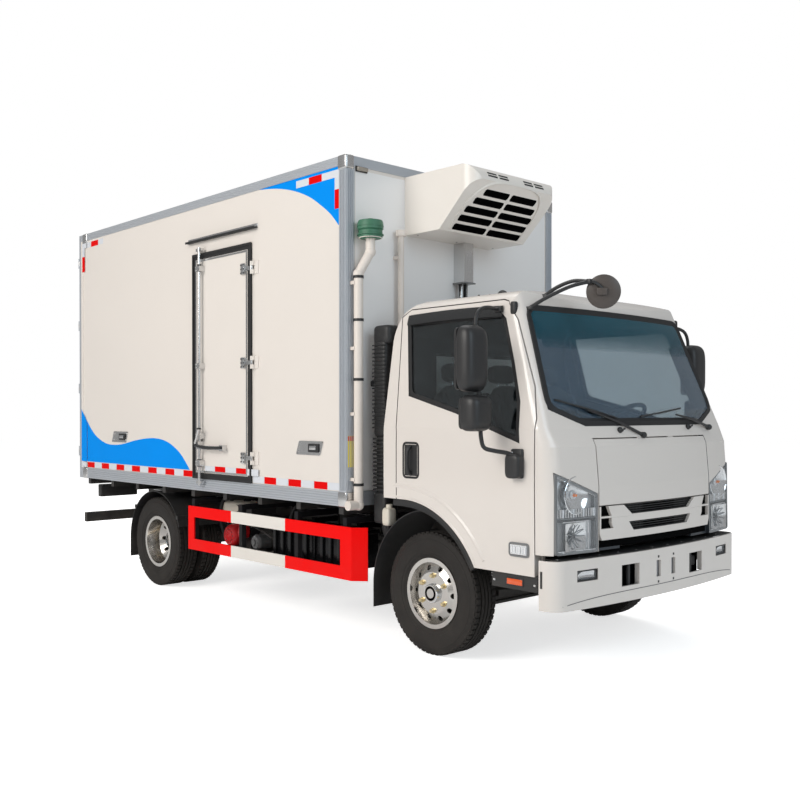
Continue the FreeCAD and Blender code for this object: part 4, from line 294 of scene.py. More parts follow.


# painted shade: a bluish near-black on faces that look back at the cab's middle, on its low undersides and on
# the apron behind the bumper
def cabPaintedShade(tree):
    place, normal = axesOf(tree), axesOf(tree, "Normal")
    outward = 0.0
    for k, centre in enumerate((2.08, 0.0, 1.62)):
        outward = addMath(tree, "MULTIPLY_ADD", addMath(tree, "SUBTRACT", place[k],
            centre), normal[k], outward)
    under = allOf(tree, addMath(tree, "LESS_THAN", normal[2], -0.35),
        addMath(tree, "LESS_THAN", place[2], 1.0))
    inner = addMath(tree, "MAXIMUM", addMath(tree, "LESS_THAN", outward, 0.0), under)
    apron = allOf(tree, addMath(tree, "LESS_THAN", place[2], 0.79), nearTo(tree, place[1], 0.0, 0.62),
        addMath(tree, "GREATER_THAN", place[0], 2.7))
    return addMath(tree, "MAXIMUM", inner, apron)


def rearStrip(tree):
    place = axesOf(tree)
    outer = addMath(tree, "GREATER_THAN", addMath(tree, "ABSOLUTE", place[1]), 1.085)
    return allOf(tree, outer, nearTo(tree, place[0], -2.767, 0.062), nearTo(tree, place[2], 2.087, 1.096))


def insideGuard(tree):
    place = axesOf(tree)
    return allOf(tree, nearTo(tree, place[1], 0.0, 1.0392), addMath(tree, "LESS_THAN", place[0], 1.176))


guardRed, guardWhite = (0.93, 0.001, 0.001), (0.8, 0.77, 0.72)


# for each finish: colour, roughness, metal, coat, grain scale, grain depth, tint, unevenness, dust, its top
finishTable = {
    "cabPaint": ((0.745, 0.695, 0.65), 0.22, 0, 0.5, 260, 0.00004, 0.015, 0.04, 0.1, 1.15),
    # the cab's white with painted shade on its inward faces, low undersides and the apron behind the bumper
    "cabShellShaded": ((0.745, 0.695, 0.65), 0.22, 0, 0.5, 260, 0.00004, 0.015, 0.04, 0.1, 1.15,
        dict(second=(cabPaintedShade, (0.026, 0.034, 0.044), 0.8, 0.0))),
    "rearDoorPaint": ((0.785, 0.735, 0.685), 0.3, 0, 0.25, 1.6, 0.0015, 0.02, 0.08, 0, 1,
        dict(second=(pastX(-2.8685), (0.62, 0.62, 0.62), 0.28, 1.0))),
    "panelPaint": ((0.785, 0.735, 0.685), 0.3, 0, 0.25, 1.6, 0.0015, 0.02, 0.08, 0.1, 1.4),
    # the box's white again, made brighter and cooler for the front wall: painted light
    "wallPaintLit": ((0.88, 0.87, 0.86), 0.3, 0, 0.25, 1.6, 0.0012, 0.02, 0.08, 0.1, 1.4),
    "unitPaint": ((0.82, 0.775, 0.72), 0.35, 0, 0.2, 300, 0.00008, 0.02, 0.05, 0, 1),
    "pipePaint": ((0.76, 0.69, 0.63), 0.4, 0, 0, 120, 0.00008, 0.04, 0.05, 0.25, 1),
    "frameBlack": ((0.01, 0.01, 0.011), 0.45, 0, 0, 60, 0.0003, 0.3, 0.25, 0.55, 1.2),
    "springSteel": ((0.03, 0.03, 0.031), 0.55, 0, 0, 80, 0.0005, 0.3, 0.05, 0.6, 0.9),
    "engineIron": ((0.19, 0.2, 0.21), 0.6, 0.5, 0, 150, 0.0006, 0.25, 0.05, 0.5, 1.1),
    "coilMetal": ((0.2, 0.21, 0.22), 0.5, 0.7, 0, 30, 0.001, 0.4, 0.05, 0, 1, dict(stretch=(1, 60, 1))),
    "tankMetal": ((0.6, 0.61, 0.63), 0.32, 0.9, 0, 12, 0.0001, 0.12, 0.15, 0.4, 1, dict(stretch=(1, 30, 30))),
    "railMetal": ((0.53, 0.56, 0.6), 0.38, 0.5, 0, 14, 0.0001, 0.07, 0.15, 0.15, 1,
        dict(stretch=(1, 1, 30), second=(rearStrip, (0.785, 0.735, 0.685), 0.3, 0.0))),
    # a darker copy of the rail metal for the ribs: painted shade of the grooves between them
    "railGrooveShade": ((0.46, 0.49, 0.53), 0.42, 0.4, 0, 90, 0, 0.08, 0.05, 0, 1),
    # near-black without shine laid in hollows: painted shade behind the grille, in the tow holes and in the
    # cooling unit's mouths
    "deepBlack": ((0.002, 0.002, 0.0022), 0.9, 0, 0, 90, 0, 0.1, 0.05, 0, 1, dict(specular=0.04)),
    "darkGloss": ((0.005, 0.005, 0.006), 0.25, 0, 0, 90, 0, 0.1, 0.05, 0, 1, dict(specular=0.25)),
    "lampShell": ((0.6, 0.61, 0.62), 0.3, 0.35, 0, 200, 0, 0.06, 0.05, 0, 1),
    "markerGrey": ((0.34, 0.3, 0.25), 0.2, 0, 0.4, 200, 0, 0.06, 0.05, 0, 1),
    "stainless": ((0.66, 0.66, 0.66), 0.24, 1, 0, 30, 0.00006, 0.06, 0.12, 0, 1, dict(stretch=(1, 1, 14))),
    "polished": ((0.6, 0.58, 0.55), 0.2, 1, 0, 16, 0.000006, 0.05, 0.1, 0.12, 0.8),
    "floorMetal": ((0.6, 0.61, 0.62), 0.4, 0.85, 0, 22, 0.0004, 0.1, 0.05, 0, 1),
    "blackPlastic": ((0.017, 0.017, 0.018), 0.5, 0, 0, 420, 0.00015, 0.2, 0.12, 0.25, 0.9),
    "mirrorShell": ((0.02, 0.02, 0.021), 0.42, 0, 0, 500, 0.00012, 0.15, 0.05, 0, 1),
    "sealRubber": ((0.012, 0.012, 0.013), 0.62, 0, 0, 200, 0.0002, 0.2, 0.05, 0, 1),
    "tyreRubber": ((0.0135, 0.0115, 0.0105), 0.68, 0, 0, 90, 0.0004, 0.3, 0.1, 0.12, 1, dict(specular=0.35)),
    "guardPaint": (guardRed, 0.5, 0, 0, 160, 0.00006, 0.03, 0.05, 0.12, 0.8,
        dict(specular=0.08, pattern=byStation(((-9, guardRed), (-0.28, guardWhite), (0.43, guardRed))),
             second=(insideGuard, (0.016, 0.016, 0.018), 0.5, 0.0))),
    "seatCloth": ((0.045, 0.046, 0.05), 0.85, 0, 0, 700, 0.0006, 0.35, 0.05, 0, 1, dict(sheen=0.3)),
    "dashPlastic": ((0.05, 0.052, 0.056), 0.6, 0, 0, 500, 0.0003, 0.15, 0.05, 0, 1),
    "brass": ((0.72, 0.6, 0.36), 0.3, 1, 0, 60, 0.0001, 0.12, 0.05, 0, 1),
    "tapeRed": ((0.76, 0.001, 0.001), 0.5, 0, 0, 600, 0.00008, 0.08, 0.05, 0, 1, dict(specular=0.06)),
    "tapeWhite": ((0.7, 0.73, 0.78), 0.3, 0, 0.5, 600, 0.00008, 0.06, 0.05, 0, 1),
    "waveBlue": ((0.0, 0.27, 0.86), 0.6, 0, 0, 3, 0.0006, 0.03, 0.05, 0, 1, dict(specular=0.05)),
    "ventGreen": ((0.05, 0.17, 0.1), 0.5, 0, 0, 200, 0.0001, 0.1, 0.05, 0, 1),
    "starterRed": ((0.6, 0.01, 0.015), 0.35, 0, 0.3, 90, 0.0001, 0.1, 0.05, 0, 1),
    "amberLens": ((0.85, 0.2, 0.01), 0.18, 0, 0.8, 90, 0, 0.05, 0.05, 0, 1),
    "redLens": ((0.62, 0.01, 0.01), 0.18, 0, 0.8, 90, 0, 0.05, 0.05, 0, 1),
    "whiteLens": ((0.75, 0.76, 0.78), 0.15, 0, 0.8, 90, 0, 0.05, 0.05, 0, 1),
    "plateYellow": ((0.86, 0.7, 0.004), 0.6, 0, 0, 200, 0, 0.04, 0.05, 0, 1, dict(specular=0.1)),
    "plateOrange": ((0.7, 0.1, 0.02), 0.6, 0, 0, 200, 0, 0.04, 0.05, 0, 1, dict(specular=0.1)),
    "reflector": ((0.8, 0.81, 0.82), 0.08, 1, 0, 30, 0, 0.03, 0.05, 0, 1),
    "orangeLens": ((0.8, 0.1, 0.01), 0.2, 0, 0.8, 500, 0.0001, 0.1, 0.05, 0, 1),
    "bottleWhite": ((0.7, 0.65, 0.56), 0.4, 0, 0, 60, 0.0001, 0.06, 0.05, 0.2, 1),
    "seatSide": ((0.03, 0.031, 0.034), 0.5, 0, 0, 300, 0.0003, 0.2, 0.05, 0, 1),
    "plateGrey": ((0.33, 0.33, 0.34), 0.5, 0, 0, 120, 0, 0.1, 0.05, 0, 1),
    # grey for the line along the bumper's groove: painted shade
    "grooveShadeGrey": ((0.13, 0.13, 0.13), 0.5, 0, 0, 200, 0, 0.1, 0.05, 0, 1),
    "hubBlue": ((0.1, 0.16, 0.24), 0.25, 0.6, 0, 60, 0, 0.1, 0.05, 0, 1),
    "lampGrey": ((0.17, 0.175, 0.18), 0.35, 0, 0.3, 300, 0.0001, 0.06, 0.05, 0, 1),
    "smokedPlastic": ((0.02, 0.021, 0.022), 0.12, 0, 0.4, 60, 0, 0.1, 0.05, 0, 1),
    "mirrorBack": ((0.075, 0.062, 0.055), 0.42, 0, 0, 500, 0.0001, 0.12, 0.05, 0, 1),
    "mirrorGlass": ((0.75, 0.78, 0.8), 0.04, 1, 0, 5, 0, 0.02, 0.05, 0, 1),
}
glassTable = {
    "tealTint": ((0.025, 0.1, 0.135), dict(rough=0.03, through=0.0, alpha=0.85, fade=(1.9, 2.13))),
    # bluish film laid over the windscreen: painted reflection
    "reflectionBlue": ((0.13, 0.2, 0.28), dict(rough=0.05, through=0.0, alpha=0.3)),
    "windowGlass": ((0.8, 0.86, 0.87), dict()),
    "doorGlass": ((0.42, 0.48, 0.5), dict()),
    "clearLens": ((0.8, 0.82, 0.84), dict(rough=0.01, through=0.0, alpha=0.07)),
}
finishes = {name: makeFinish(name, *row[:10], **dict(*row[10:])) for name, row in finishTable.items()}
finishes.update({name: makeGlass(name, color, **rest) for name, (color, rest) in glassTable.items()})

nodeFinish = {"cabPaint": "front_lid grille front_bumper",
    "cabShellShaded": "cab_shell cab_door_left cab_door_right",
    "panelPaint": "box_side_left box_side_right box_roof side_door",
    "rearDoorPaint": "rear_door_left rear_door_right", "wallPaintLit": "box_front_wall",
    "unitPaint": "fridge_unit", "pipePaint": "vent_pipe",
    "frameBlack": "chassis_frame body_sills front_axle rear_axle rear_underrun knuckle_left knuckle_right",
    "springSteel": "leaf_springs", "engineIron": "engine_block", "coilMetal": "radiator fridge_core",
    "tankMetal": "fuel_tank", "railMetal": "edge_profiles rear_frame",
    "stainless": "side_door_hardware fridge_duct",
    "polished": "front_wheel_left front_wheel_right rear_wheels_left rear_wheels_right",
    "floorMetal": "box_floor",
    "blackPlastic": "battery_box mudguards air_intake cab_steps under_view_mirror auxiliary_engine",
    "mirrorShell": "door_mirror_left door_mirror_right", "sealRubber": "side_door_seal",
    "tyreRubber": "front_tyre_left front_tyre_right rear_tyres_left rear_tyres_right",
    "guardPaint": "side_guards", "seatCloth": "seats", "dashPlastic": "dashboard", "redLens": "body_lamps",
    "reflector": "headlamps", "windowGlass": "cab_glass", "doorGlass": "door_glass_left door_glass_right",}
for finishName, members in nodeFinish.items():
    for member in members.split():
        nodes[member].data.materials.clear()
        nodes[member].data.materials.append(finishes[finishName])
print("finishes ready:", len(finishes))

# shapes: a part is points and faces, perhaps with a finish of its own, and a piece is a list of parts


def fromWork(work):
    work.verts.index_update()
    points, faces = [v.co.copy() for v in work.verts], [tuple(v.index for v in f.verts) for f in work.faces]
    work.free()
    return points, faces


def closedPart(points, faces, merge=False):
    work = bmesh.new()
    made = [work.verts.new(p) for p in points]
    for face in faces:
        work.faces.new([made[i] for i in face])
    if merge:
        bmesh.ops.remove_doubles(work, verts=work.verts[:], dist=1e-6)
    bmesh.ops.recalc_face_normals(work, faces=work.faces[:])
    return fromWork(work)


# the parts given their own finish
def painted(finish, *parts):
    return [(*part[:2], finish) for part in parts]


def boxPart(low, high, bevel=0.0, steps=2):
    work = bmesh.new()
    bmesh.ops.create_cube(work, size=1)
    low, high = Vector(low), Vector(high)
    for v in work.verts:
        v.co = Vector(l + (c + 0.5) * (h - l) for l, h, c in zip(low, high, v.co))
    if bevel:
        bmesh.ops.bevel(work, geom=work.edges[:], offset=bevel, segments=steps, profile=0.5, affect="EDGES")
    return fromWork(work)


def turned(part, matrix):
    return [matrix @ p for p in part[0]], part[1]


# turned round an axis from (along, radius) pairs, with ends on the axis or closed on itself
def lathePart(profile, centre, axis="Y", steps=48):
    closed = profile[0][1] > 1e-6 and profile[-1][1] > 1e-6
    points, faces, rings = [], [], len(profile)
    for along, radius in profile:
        for k in range(steps):
            a = 2 * math.pi * k / steps
            u, w = radius * math.cos(a), radius * math.sin(a)
            spot = {"X": (along, u, w), "Y": (w, along, u), "Z": (u, w, along)}[axis]
            points.append(Vector(centre) + Vector(spot))
    for r in range(rings if closed else rings - 1):
        here, ahead = r * steps, (r + 1) % rings * steps
        faces += [(here + k, here + (k + 1) % steps, ahead + (k + 1) % steps,
            ahead + k) for k in range(steps)]
    return closedPart(points, faces, merge=True)


# profile given by steps outwards from a face, and the radius at each
def profileFrom(face, sign, *steps):
    return [(face + sign * step, radius) for step, radius in steps]


# profile of a bolt head or stud: its face, the radius there, then the edge, its radius and the foot
def stud(face, inner, edge, outer, foot):
    return [(face, 0), (face, inner), (edge, outer), (foot, outer), (foot, 0)]


def easedPath(points, steps=6):
    spots = [Vector(p) for p in points]
    if len(spots) < 3:
        return spots
    path = []
    for i in range(len(spots) - 1):
        a, b = spots[max(i - 1, 0)], spots[i]
        c, d = spots[i + 1], spots[min(i + 2, len(spots) - 1)]
        for k in range(steps):
            t = k / steps
            square, cube = 2 * a - 5 * b + 4 * c - d, 3 * b - a - 3 * c + d
            path.append(0.5 * (2 * b + (c - a) * t + square * t * t + cube * t ** 3))
    return path + [spots[-1]]


def tubePart(points, radius, sides=12, eased=True):
    path = easedPath(points) if eased else [Vector(p) for p in points]
    radii = radius if isinstance(radius, list) else [radius] * len(path)
    spots, faces, lift = [], [], Vector((0, 0, 1))
    for i, here in enumerate(path):
        ahead = (path[min(i + 1, len(path) - 1)] - path[max(i - 1, 0)]).normalized()
        if abs(ahead.dot(lift)) > 0.95:
            lift = Vector((1, 0, 0)) if abs(ahead.x) < 0.9 else Vector((0, 1, 0))
        side = ahead.cross(lift).normalized()
        lift = side.cross(ahead).normalized()
        for k in range(sides):
            a = 2 * math.pi * k / sides
            spots.append(here + (side * math.cos(a) + lift * math.sin(a)) * radii[i])
    for base in range(0, (len(path) - 1) * sides, sides):
        for k in range(sides):
            n = (k + 1) % sides
            faces.append((base + k, base + n, base + sides + n, base + sides + k))
    last = (len(path) - 1) * sides
    return spots, faces + [tuple(range(sides))[::-1], tuple(range(last, last + sides))]


def onCircle(count, radius, other=None):
    for k in range(count):
        a = 2 * math.pi * k / count
        yield radius * math.cos(a), (other or radius) * math.sin(a)


def roundCorners(points, radius, steps=5):
    made, count = [], len(points)
    for i, here in enumerate(points):
        h, a, b = Vector(here), Vector(points[i - 1]), Vector(points[(i + 1) % count])
        reach = min(radius, (a - h).length * 0.45, (b - h).length * 0.45)
        p, q = h + (a - h).normalized() * reach, h + (b - h).normalized() * reach
        for k in range(steps + 1):
            t = k / steps
            made.append(tuple((1 - t) ** 2 * p + 2 * t * (1 - t) * h + t * t * q))
    return made


def rectangle(a0, a1, b0, b1, radius=0.0, steps=5):
    corners = [(a0, b0), (a1, b0), (a1, b1), (a0, b1)]
    return roundCorners(corners, radius, steps) if radius else corners


spreads = {"X": (1, 2, 0), "Y": (0, 2, 1), "Z": (0, 1, 2)}


def onPlane(axis, a, b, depth):
    spot = [0.0, 0.0, 0.0]
    for index, value in zip(spreads[axis], (a, b, depth)):
        spot[index] = value
    return Vector(spot)


# flat plate between two depths along an axis, with an optional hole of as many points
def platePart(outline, axis, near, far, hole=None):
    work = bmesh.new()
    count = len(outline)

    def ringPair(path):
        return [[work.verts.new(onPlane(axis, a, b, depth)) for a, b in path] for depth in (near, far)]
    rings = ringPair(outline)
    for k in range(count):
        work.faces.new((rings[0][k], rings[0][(k + 1) % count], rings[1][(k + 1) % count], rings[1][k]))
    if hole:
        inner = ringPair(hole)
        for k in range(count):
            n = (k + 1) % count
            work.faces.new((inner[0][k], inner[1][k], inner[1][n], inner[0][n]))
            for side in (0, 1):
                work.faces.new((rings[side][k], inner[side][k], inner[side][n], rings[side][n]))
    else:
        for ring in rings:
            work.faces.new(ring)
        bmesh.ops.triangulate(work, faces=[f for f in work.faces if len(f.verts) > 4])
    bmesh.ops.recalc_face_normals(work, faces=work.faces[:])
    return fromWork(work)


def surfaceOf(*names):
    points, faces = [], []
    for name in names:
        mesh, base = nodes[name].data, len(points)
        points.extend(v.co.copy() for v in mesh.vertices)
        faces.extend([base + i for i in p.vertices] for p in mesh.polygons)
    return BVHTree.FromPolygons(points, faces)


# a path moved sideways, to its right as it runs
def offsetPath(path, distance, closed=True):
    moved, count = [], len(path)
    for i, here in enumerate(path):
        a = path[i - 1] if closed or i else here
        b = path[(i + 1) % count] if closed or i < count - 1 else here
        along = (Vector(b) - Vector(a)).normalized()
        moved.append((here[0] + along.y * distance, here[1] - along.x * distance))
    return moved


starts = {"X": 4, "Y": -2, "Z": 4}


def depthOn(surface, axis, a, b, start, side):
    hit = surface.ray_cast(onPlane(axis, a, b, start), onPlane(axis, 0, 0, -side))[0]
    return hit["XYZ".index(axis)] if hit else None


# band along a path laid on a surface, seen from a start along an axis: it stands proud by lift
def bandPart(surface, path, inner, outer, axis, lift, sink, closed=True, probe=0.0, start=None):
    start = start or starts[axis]
    side = 1 if start > 0 else -1
    edges = [offsetPath(path, inner, closed), offsetPath(path, outer, closed)]
    points, faces, last, depths, count = [], [], None, [], len(path)
    for a, b in offsetPath(path, probe, closed):
        met = depthOn(surface, axis, a, b, start, side)
        last = last if met is None else met
        depths.append(last)
    first = next(d for d in depths if d is not None)
    for i, depth in enumerate(depths):
        depth = first if depth is None else depth
        points += [onPlane(axis, *edge[i], depth + side * level) for edge in edges for level in (lift, -sink)]
    for i in range(count if closed else count - 1):
        a, b = 4 * i, 4 * ((i + 1) % count)
        faces += [(a + p, a + q, b + q, b + p) for p, q in ((0, 2), (2, 3), (3, 1), (1, 0))]
    if not closed:
        end = 4 * (count - 1)
        faces += [(0, 1, 3, 2), (end, end + 2, end + 3, end + 1)]
    return closedPart(points, faces)


def flatAt(depth):
    return lambda a, b: depth


# depth of a surface met along an axis from a start, moved towards the start by a lift
def laidOn(surface, axis, lift=0.0, other=0.0):
    start = starts[axis]
    side = 1 if start > other else -1

    def depthAt(a, b):
        met = depthOn(surface, axis, a, b, start, side)
        return (other if met is None else met) + side * lift
    return depthAt


# the cab front's crown, whose depth falls with the square of the distance from the middle
cabCrown = 0.0805


def crowned(depth):
    return lambda a, b: depth - cabCrown * a * a


def lifted(depthAt, lift):
    return lambda a, b: depthAt(a, b) + lift


# closed sheet through rows of points, with its thickness below the depth along the axis
def sheetPart(rows, axis, depthAt, thick):
    high, wide = len(rows), len(rows[0])
    points = [onPlane(axis, a, b, depthAt(a, b) - sink) for sink in (0,
        thick) for row in rows for a, b in row]
    size = high * wide
    faces = [(base + r * wide + k, base + r * wide + k + 1, base + (r + 1) * wide + k + 1,
        base + (r + 1) * wide + k) for base in (0, size) for r in range(high - 1) for k in range(wide - 1)]
    edge = ([k for k in range(wide)] + [r * wide + wide - 1 for r in range(1,
        high)] + [(high - 1) * wide + k for k in range(wide - 2, -1,
        -1)] + [r * wide for r in range(high - 2, 0, -1)])
    faces += [(a, b, size + b, size + a) for a, b in zip(edge, edge[1:] + edge[:1])]
    return closedPart(points, faces, merge=True)


def spaced(first, last, count):
    return [first + (last - first) * k / (count - 1) for k in range(count)]


def rowsBetween(first, second, count=2):
    return [[tuple(a + (b - a) * k / (count - 1) for a, b in zip(p, q)) for p,
        q in zip(first, second)] for k in range(count)]


def gridRows(lowA, highA, lowB, highB, countA=8, countB=2):
    line = spaced(lowA, highA, countA)
    return rowsBetween([(a, lowB) for a in line], [(a, highB) for a in line], countB)


def dividedCube(steps):
    work = bmesh.new()
    bmesh.ops.create_cube(work, size=2)
    bmesh.ops.subdivide_edges(work, edges=work.edges[:], cuts=steps, use_grid_fill=True)
    return work


# joins parts into one mesh, each in its own finish or the piece's
def makePiece(name, parts, finish, body="chassis", slot=None, smooth=32):
    points, faces, slots, order = [], [], [], [finish]
    for part in parts:
        own = part[2] if len(part) > 2 else finish
        if own not in order:
            order.append(own)
        base = len(points)
        points.extend(part[0])
        faces.extend(tuple(base + i for i in face) for face in part[1])
        slots.extend([order.index(own)] * len(part[1]))
    mesh = bpy.data.meshes.new(name)
    mesh.from_pydata([tuple(p) for p in points], [], faces)
    for label in order:
        mesh.materials.append(finishes[label])
    mesh.polygons.foreach_set("material_index", slots)
    mesh.polygons.foreach_set("use_smooth", [True] * len(faces))
    mesh.set_sharp_from_angle(angle=math.radians(smooth))
    mesh.update()
    piece = newObject(name, mesh)
    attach(piece, body)
    return piece


def mirrorPart(part):
    return ([Vector((p[0], -p[1], p[2])) for p in part[0]], [tuple(reversed(f)) for f in part[1]], *part[2:])


# the right side's piece and its mirror image on the left
def bothSides(name, parts, finish, body="chassis", **rest):
    made = []
    for hand, shapes in (("Right", parts), ("Left", [mirrorPart(p) for p in parts])):
        rider = f"{body}_{hand.lower()}" if body == "cab_door" else body
        made.append(makePiece(name + hand, shapes, finish, rider, **rest))
    return made


# repeats: one tree sets copies in a row, the other round an axle


def makeRepeatTree(name, ring):
    tree = bpy.data.node_groups.new(name, "GeometryNodeTree")
    tree.interface.new_socket("Geometry", in_out="OUTPUT", socket_type="NodeSocketGeometry")
    places = (("Centre", "Vector"), ("Turn", "Vector")) if ring else (("Step", "Vector"),)
    for label, kind in (("Unit", "Geometry"), ("Count", "Int"), *places, ("Finish", "Material")):
        tree.interface.new_socket(label, in_out="INPUT", socket_type="NodeSocket" + kind)
    given, end = addNode(tree, "NodeGroupInput").outputs, addNode(tree, "NodeGroupOutput")
    row = addNode(tree, "GeometryNodeMeshLine", {"Count": given["Count"]}, mode="OFFSET")
    copies = addNode(tree, "GeometryNodeInstanceOnPoints", {"Points": row.outputs[0]})
    unit = given["Unit"]
    if ring:
        back = addNode(tree, "ShaderNodeVectorMath", {0: given["Centre"]}, operation="SCALE")
        setInputs(tree, back, {"Scale": -1})
        unit = addNode(tree, "GeometryNodeTransform", {"Geometry": unit,
            "Translation": back.outputs[0]}).outputs[0]
        number = addNode(tree, "GeometryNodeInputIndex").outputs[0]
        angle = addNode(tree, "ShaderNodeVectorMath", {0: given["Turn"], "Scale": number}, operation="SCALE")
        turn = addNode(tree, "FunctionNodeEulerToRotation", {0: angle.outputs[0]})
        setInputs(tree, copies, {"Rotation": turn.outputs[0]})
        setInputs(tree, row, {"Offset": (0, 0, 0), "Start Location": given["Centre"]})
    else:
        setInputs(tree, row, {"Offset": given["Step"]})
    setInputs(tree, copies, {"Instance": unit})
    real = addNode(tree, "GeometryNodeRealizeInstances", {0: copies.outputs[0]})
    dress = addNode(tree, "GeometryNodeSetMaterial", {"Geometry": real.outputs[0],
        "Material": given["Finish"]})
    setInputs(tree, end, {0: dress.outputs[0]})
    return tree


rowTree, ringTree = makeRepeatTree("copiesInRow", False), makeRepeatTree("copiesRoundAxle", True)


# leaves the modified mesh as a plain one, before it rides its body
def repeated(name, parts, finish, body, tree, values, slot=None):
    piece = makePiece(name, parts, finish, body, slot=slot)
    piece.parent = None
    repeat = piece.modifiers.new("repeat", "NODES")
    repeat.node_group = tree
    for item in tree.interface.items_tree:
        if item.item_type == "SOCKET" and item.in_out == "INPUT" and item.name in values:
            repeat[item.identifier] = values[item.name]
        elif item.item_type == "SOCKET" and item.name == "Finish":
            repeat[item.identifier] = finishes[finish]
    graph = bpy.context.evaluated_depsgraph_get()
    graph.update()
    mesh = bpy.data.meshes.new_from_object(piece.evaluated_get(graph))
    piece.modifiers.clear()
    piece.data = mesh
    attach(piece, body)
    return piece


def inRow(name, parts, finish, body, count, step, slot=None):
    return repeated(name, parts, finish, body, rowTree, {"Count": count, "Step": step}, slot)


def roundAxle(name, parts, finish, body, count, centre, slot=None):
    turn = (0.0, 2 * math.pi / count, 0.0)
    return repeated(name, parts, finish, body, ringTree, {"Count": count,
        "Centre": centre, "Turn": turn}, slot)


# merges finished pieces of one body into one, so that they count as one
def joined(name, pieces):
    body, work, order = pieces[0]["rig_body"], bmesh.new(), []
    for piece in pieces:
        start, shift = len(work.faces), []
        for material in piece.data.materials:
            if material not in order:
                order.append(material)
            shift.append(order.index(material))
        work.from_mesh(piece.data)
        work.faces.ensure_lookup_table()
        for face in work.faces[start:]:
            face.material_index = shift[face.material_index]
        bpy.data.objects.remove(piece)
    mesh = bpy.data.meshes.new(name)
    work.to_mesh(mesh)
    work.free()
    for material in order:
        mesh.materials.append(material)
    piece = newObject(name, mesh)
    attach(piece, body)
    return piece


# load box: livery, tape, rails, plates and side door trim

side = {"face": -1.094, "rear": -2.712, "front": 1.11, "low": 0.99, "high": 3.181, "film": 0.0009,
    "thick": 0.0012, "waveLow": 1.052, "waveTop": ((-2.712, 1.437), (-2.617, 1.358), (-2.5, 1.29),
    (-2.32, 1.236), (-2.14, 1.226), (-1.96, 1.241), (-1.76, 1.274), (-1.5, 1.3), (-1.316, 1.297),
    (-1.15, 1.265), (-0.99, 1.194), (-0.88, 1.11), (-0.825, 1.055)),
    "rearTop": ((-2.826, 1.556), (-2.785, 1.513), (-2.745, 1.472), (-2.712, 1.437)), "rearFace": -1.1,
    "swooshEdge": ((0.178, 3.18), (0.4, 3.15), (0.6, 3.1), (0.78, 3.028), (0.92, 2.942),
    (1.02, 2.868), (1.11, 2.775))}


def easedLine(points):
    return [(p.x, p.z) for p in easedPath([(a, 0, b) for a, b in points], 5)]


def makeLivery():
    wave, swoosh = easedLine(side["waveTop"]), easedLine(side["swooshEdge"])
    parts = [sheetPart([[(a, level) for a, b in line], line], "Y", flatAt(side["face"] - side["film"]),
        -side["thick"]) for line, level in ((wave, side["waveLow"]), (swoosh, side["high"]))]
    tail = easedLine(side["rearTop"])
    parts.append(sheetPart([[(a, side["waveLow"]) for a, b in tail], tail], "Y",
        flatAt(side["rearFace"] - side["film"]), -side["thick"]))
    bothSides("livery", parts, "waveBlue")


tape = {"length": 0.148, "height": 0.05, "step": 0.2975, "proud": 0.0016,
    "runs": (("rear", -2.705, 0.997, 7, 6, 0.0), ("front", 0.238, 0.997, 3, 4, -0.15)),
    "door": (-0.42, 1.048, 2, 3, -0.148), "corners": ((0.63, 3.112, 0.145, 0.05, "tapeWhite"),
    (0.775, 3.112, 0.145, 0.05, "tapeRed"), (0.92, 3.112, 0.14, 0.05, "tapeWhite"),
    (1.06, 3.03, 0.05, 0.132, "tapeWhite"), (1.06, 2.9, 0.05, 0.13, "tapeRed"),
    (-2.621, 3.112, 0.15, 0.05, "tapeRed"), (-2.471, 3.112, 0.1, 0.05, "tapeWhite"),
    (-2.705, 3.112, 0.084, 0.05, "tapeWhite"), (-2.826, 0.997, 0.112, 0.05, -1.1, "tapeWhite"),
    (-2.8, 2.886, 0.05, 0.145, -1.1, "tapeRed"), (-2.8, 3.031, 0.05, 0.131, -1.1, "tapeWhite"),
    (-2.75, 3.112, 0.04, 0.05, -1.1, "tapeWhite"))}


def makeTape():
    def film(x, z, wide=tape["length"], tall=tape["height"], face=side["face"]):
        return platePart(rectangle(x, x + wide, z, z + tall), "Y", face - tape["proud"], face)
    for sign, hand in ((1, "Right"), (-1, "Left")):
        for label, x, z, reds, whites, shift in tape["runs"]:
            for finish, count, at in (("tapeRed", reds, x), ("tapeWhite", whites,
                    x + shift + (0.15 if not shift else 0))):
                unit = film(at, z) if sign > 0 else mirrorPart(film(at, z))
                inRow(f"{finish}_{label}{hand}", [unit], finish, "chassis", count, (tape["step"], 0, 0))
    x, z, reds, whites, shift = tape["door"]
    leaf = (-1.1072, -1.1049)
    for finish, count, at in (("tapeRed", reds, x), ("tapeWhite", whites, x + shift)):
        outline = rectangle(at, at + tape["length"], z, z + tape["height"])
        inRow(f"{finish}_door", [platePart(outline, "Y", *leaf)], finish, "side_door",
            count, (tape["step"], 0, 0))
    parts = [(*film(*row[:-1]), row[-1]) for row in tape["corners"]]
    bothSides("cornerTape", parts, "tapeWhite")
    for sign, hand in ((-1, "right"), (1, "left")):
        strips = []
        for k in range(6):
            y = sign * (0.06 + 0.15 * k)
            low, high = sorted((y, y + sign * tape["length"]))
            outline = rectangle(low, high, 1.04, 1.09)
            strips.append((*platePart(outline, "X", -2.8685, -2.867), "tapeRed" if k % 2 else "tapeWhite"))
        makePiece(f"rearTape_{hand}", strips, "tapeWhite", f"rear_door_{hand}")


rails = {"ribProud": 0.005, "lowRibs": 5, "postRibs": 4, "topRibs": 3}
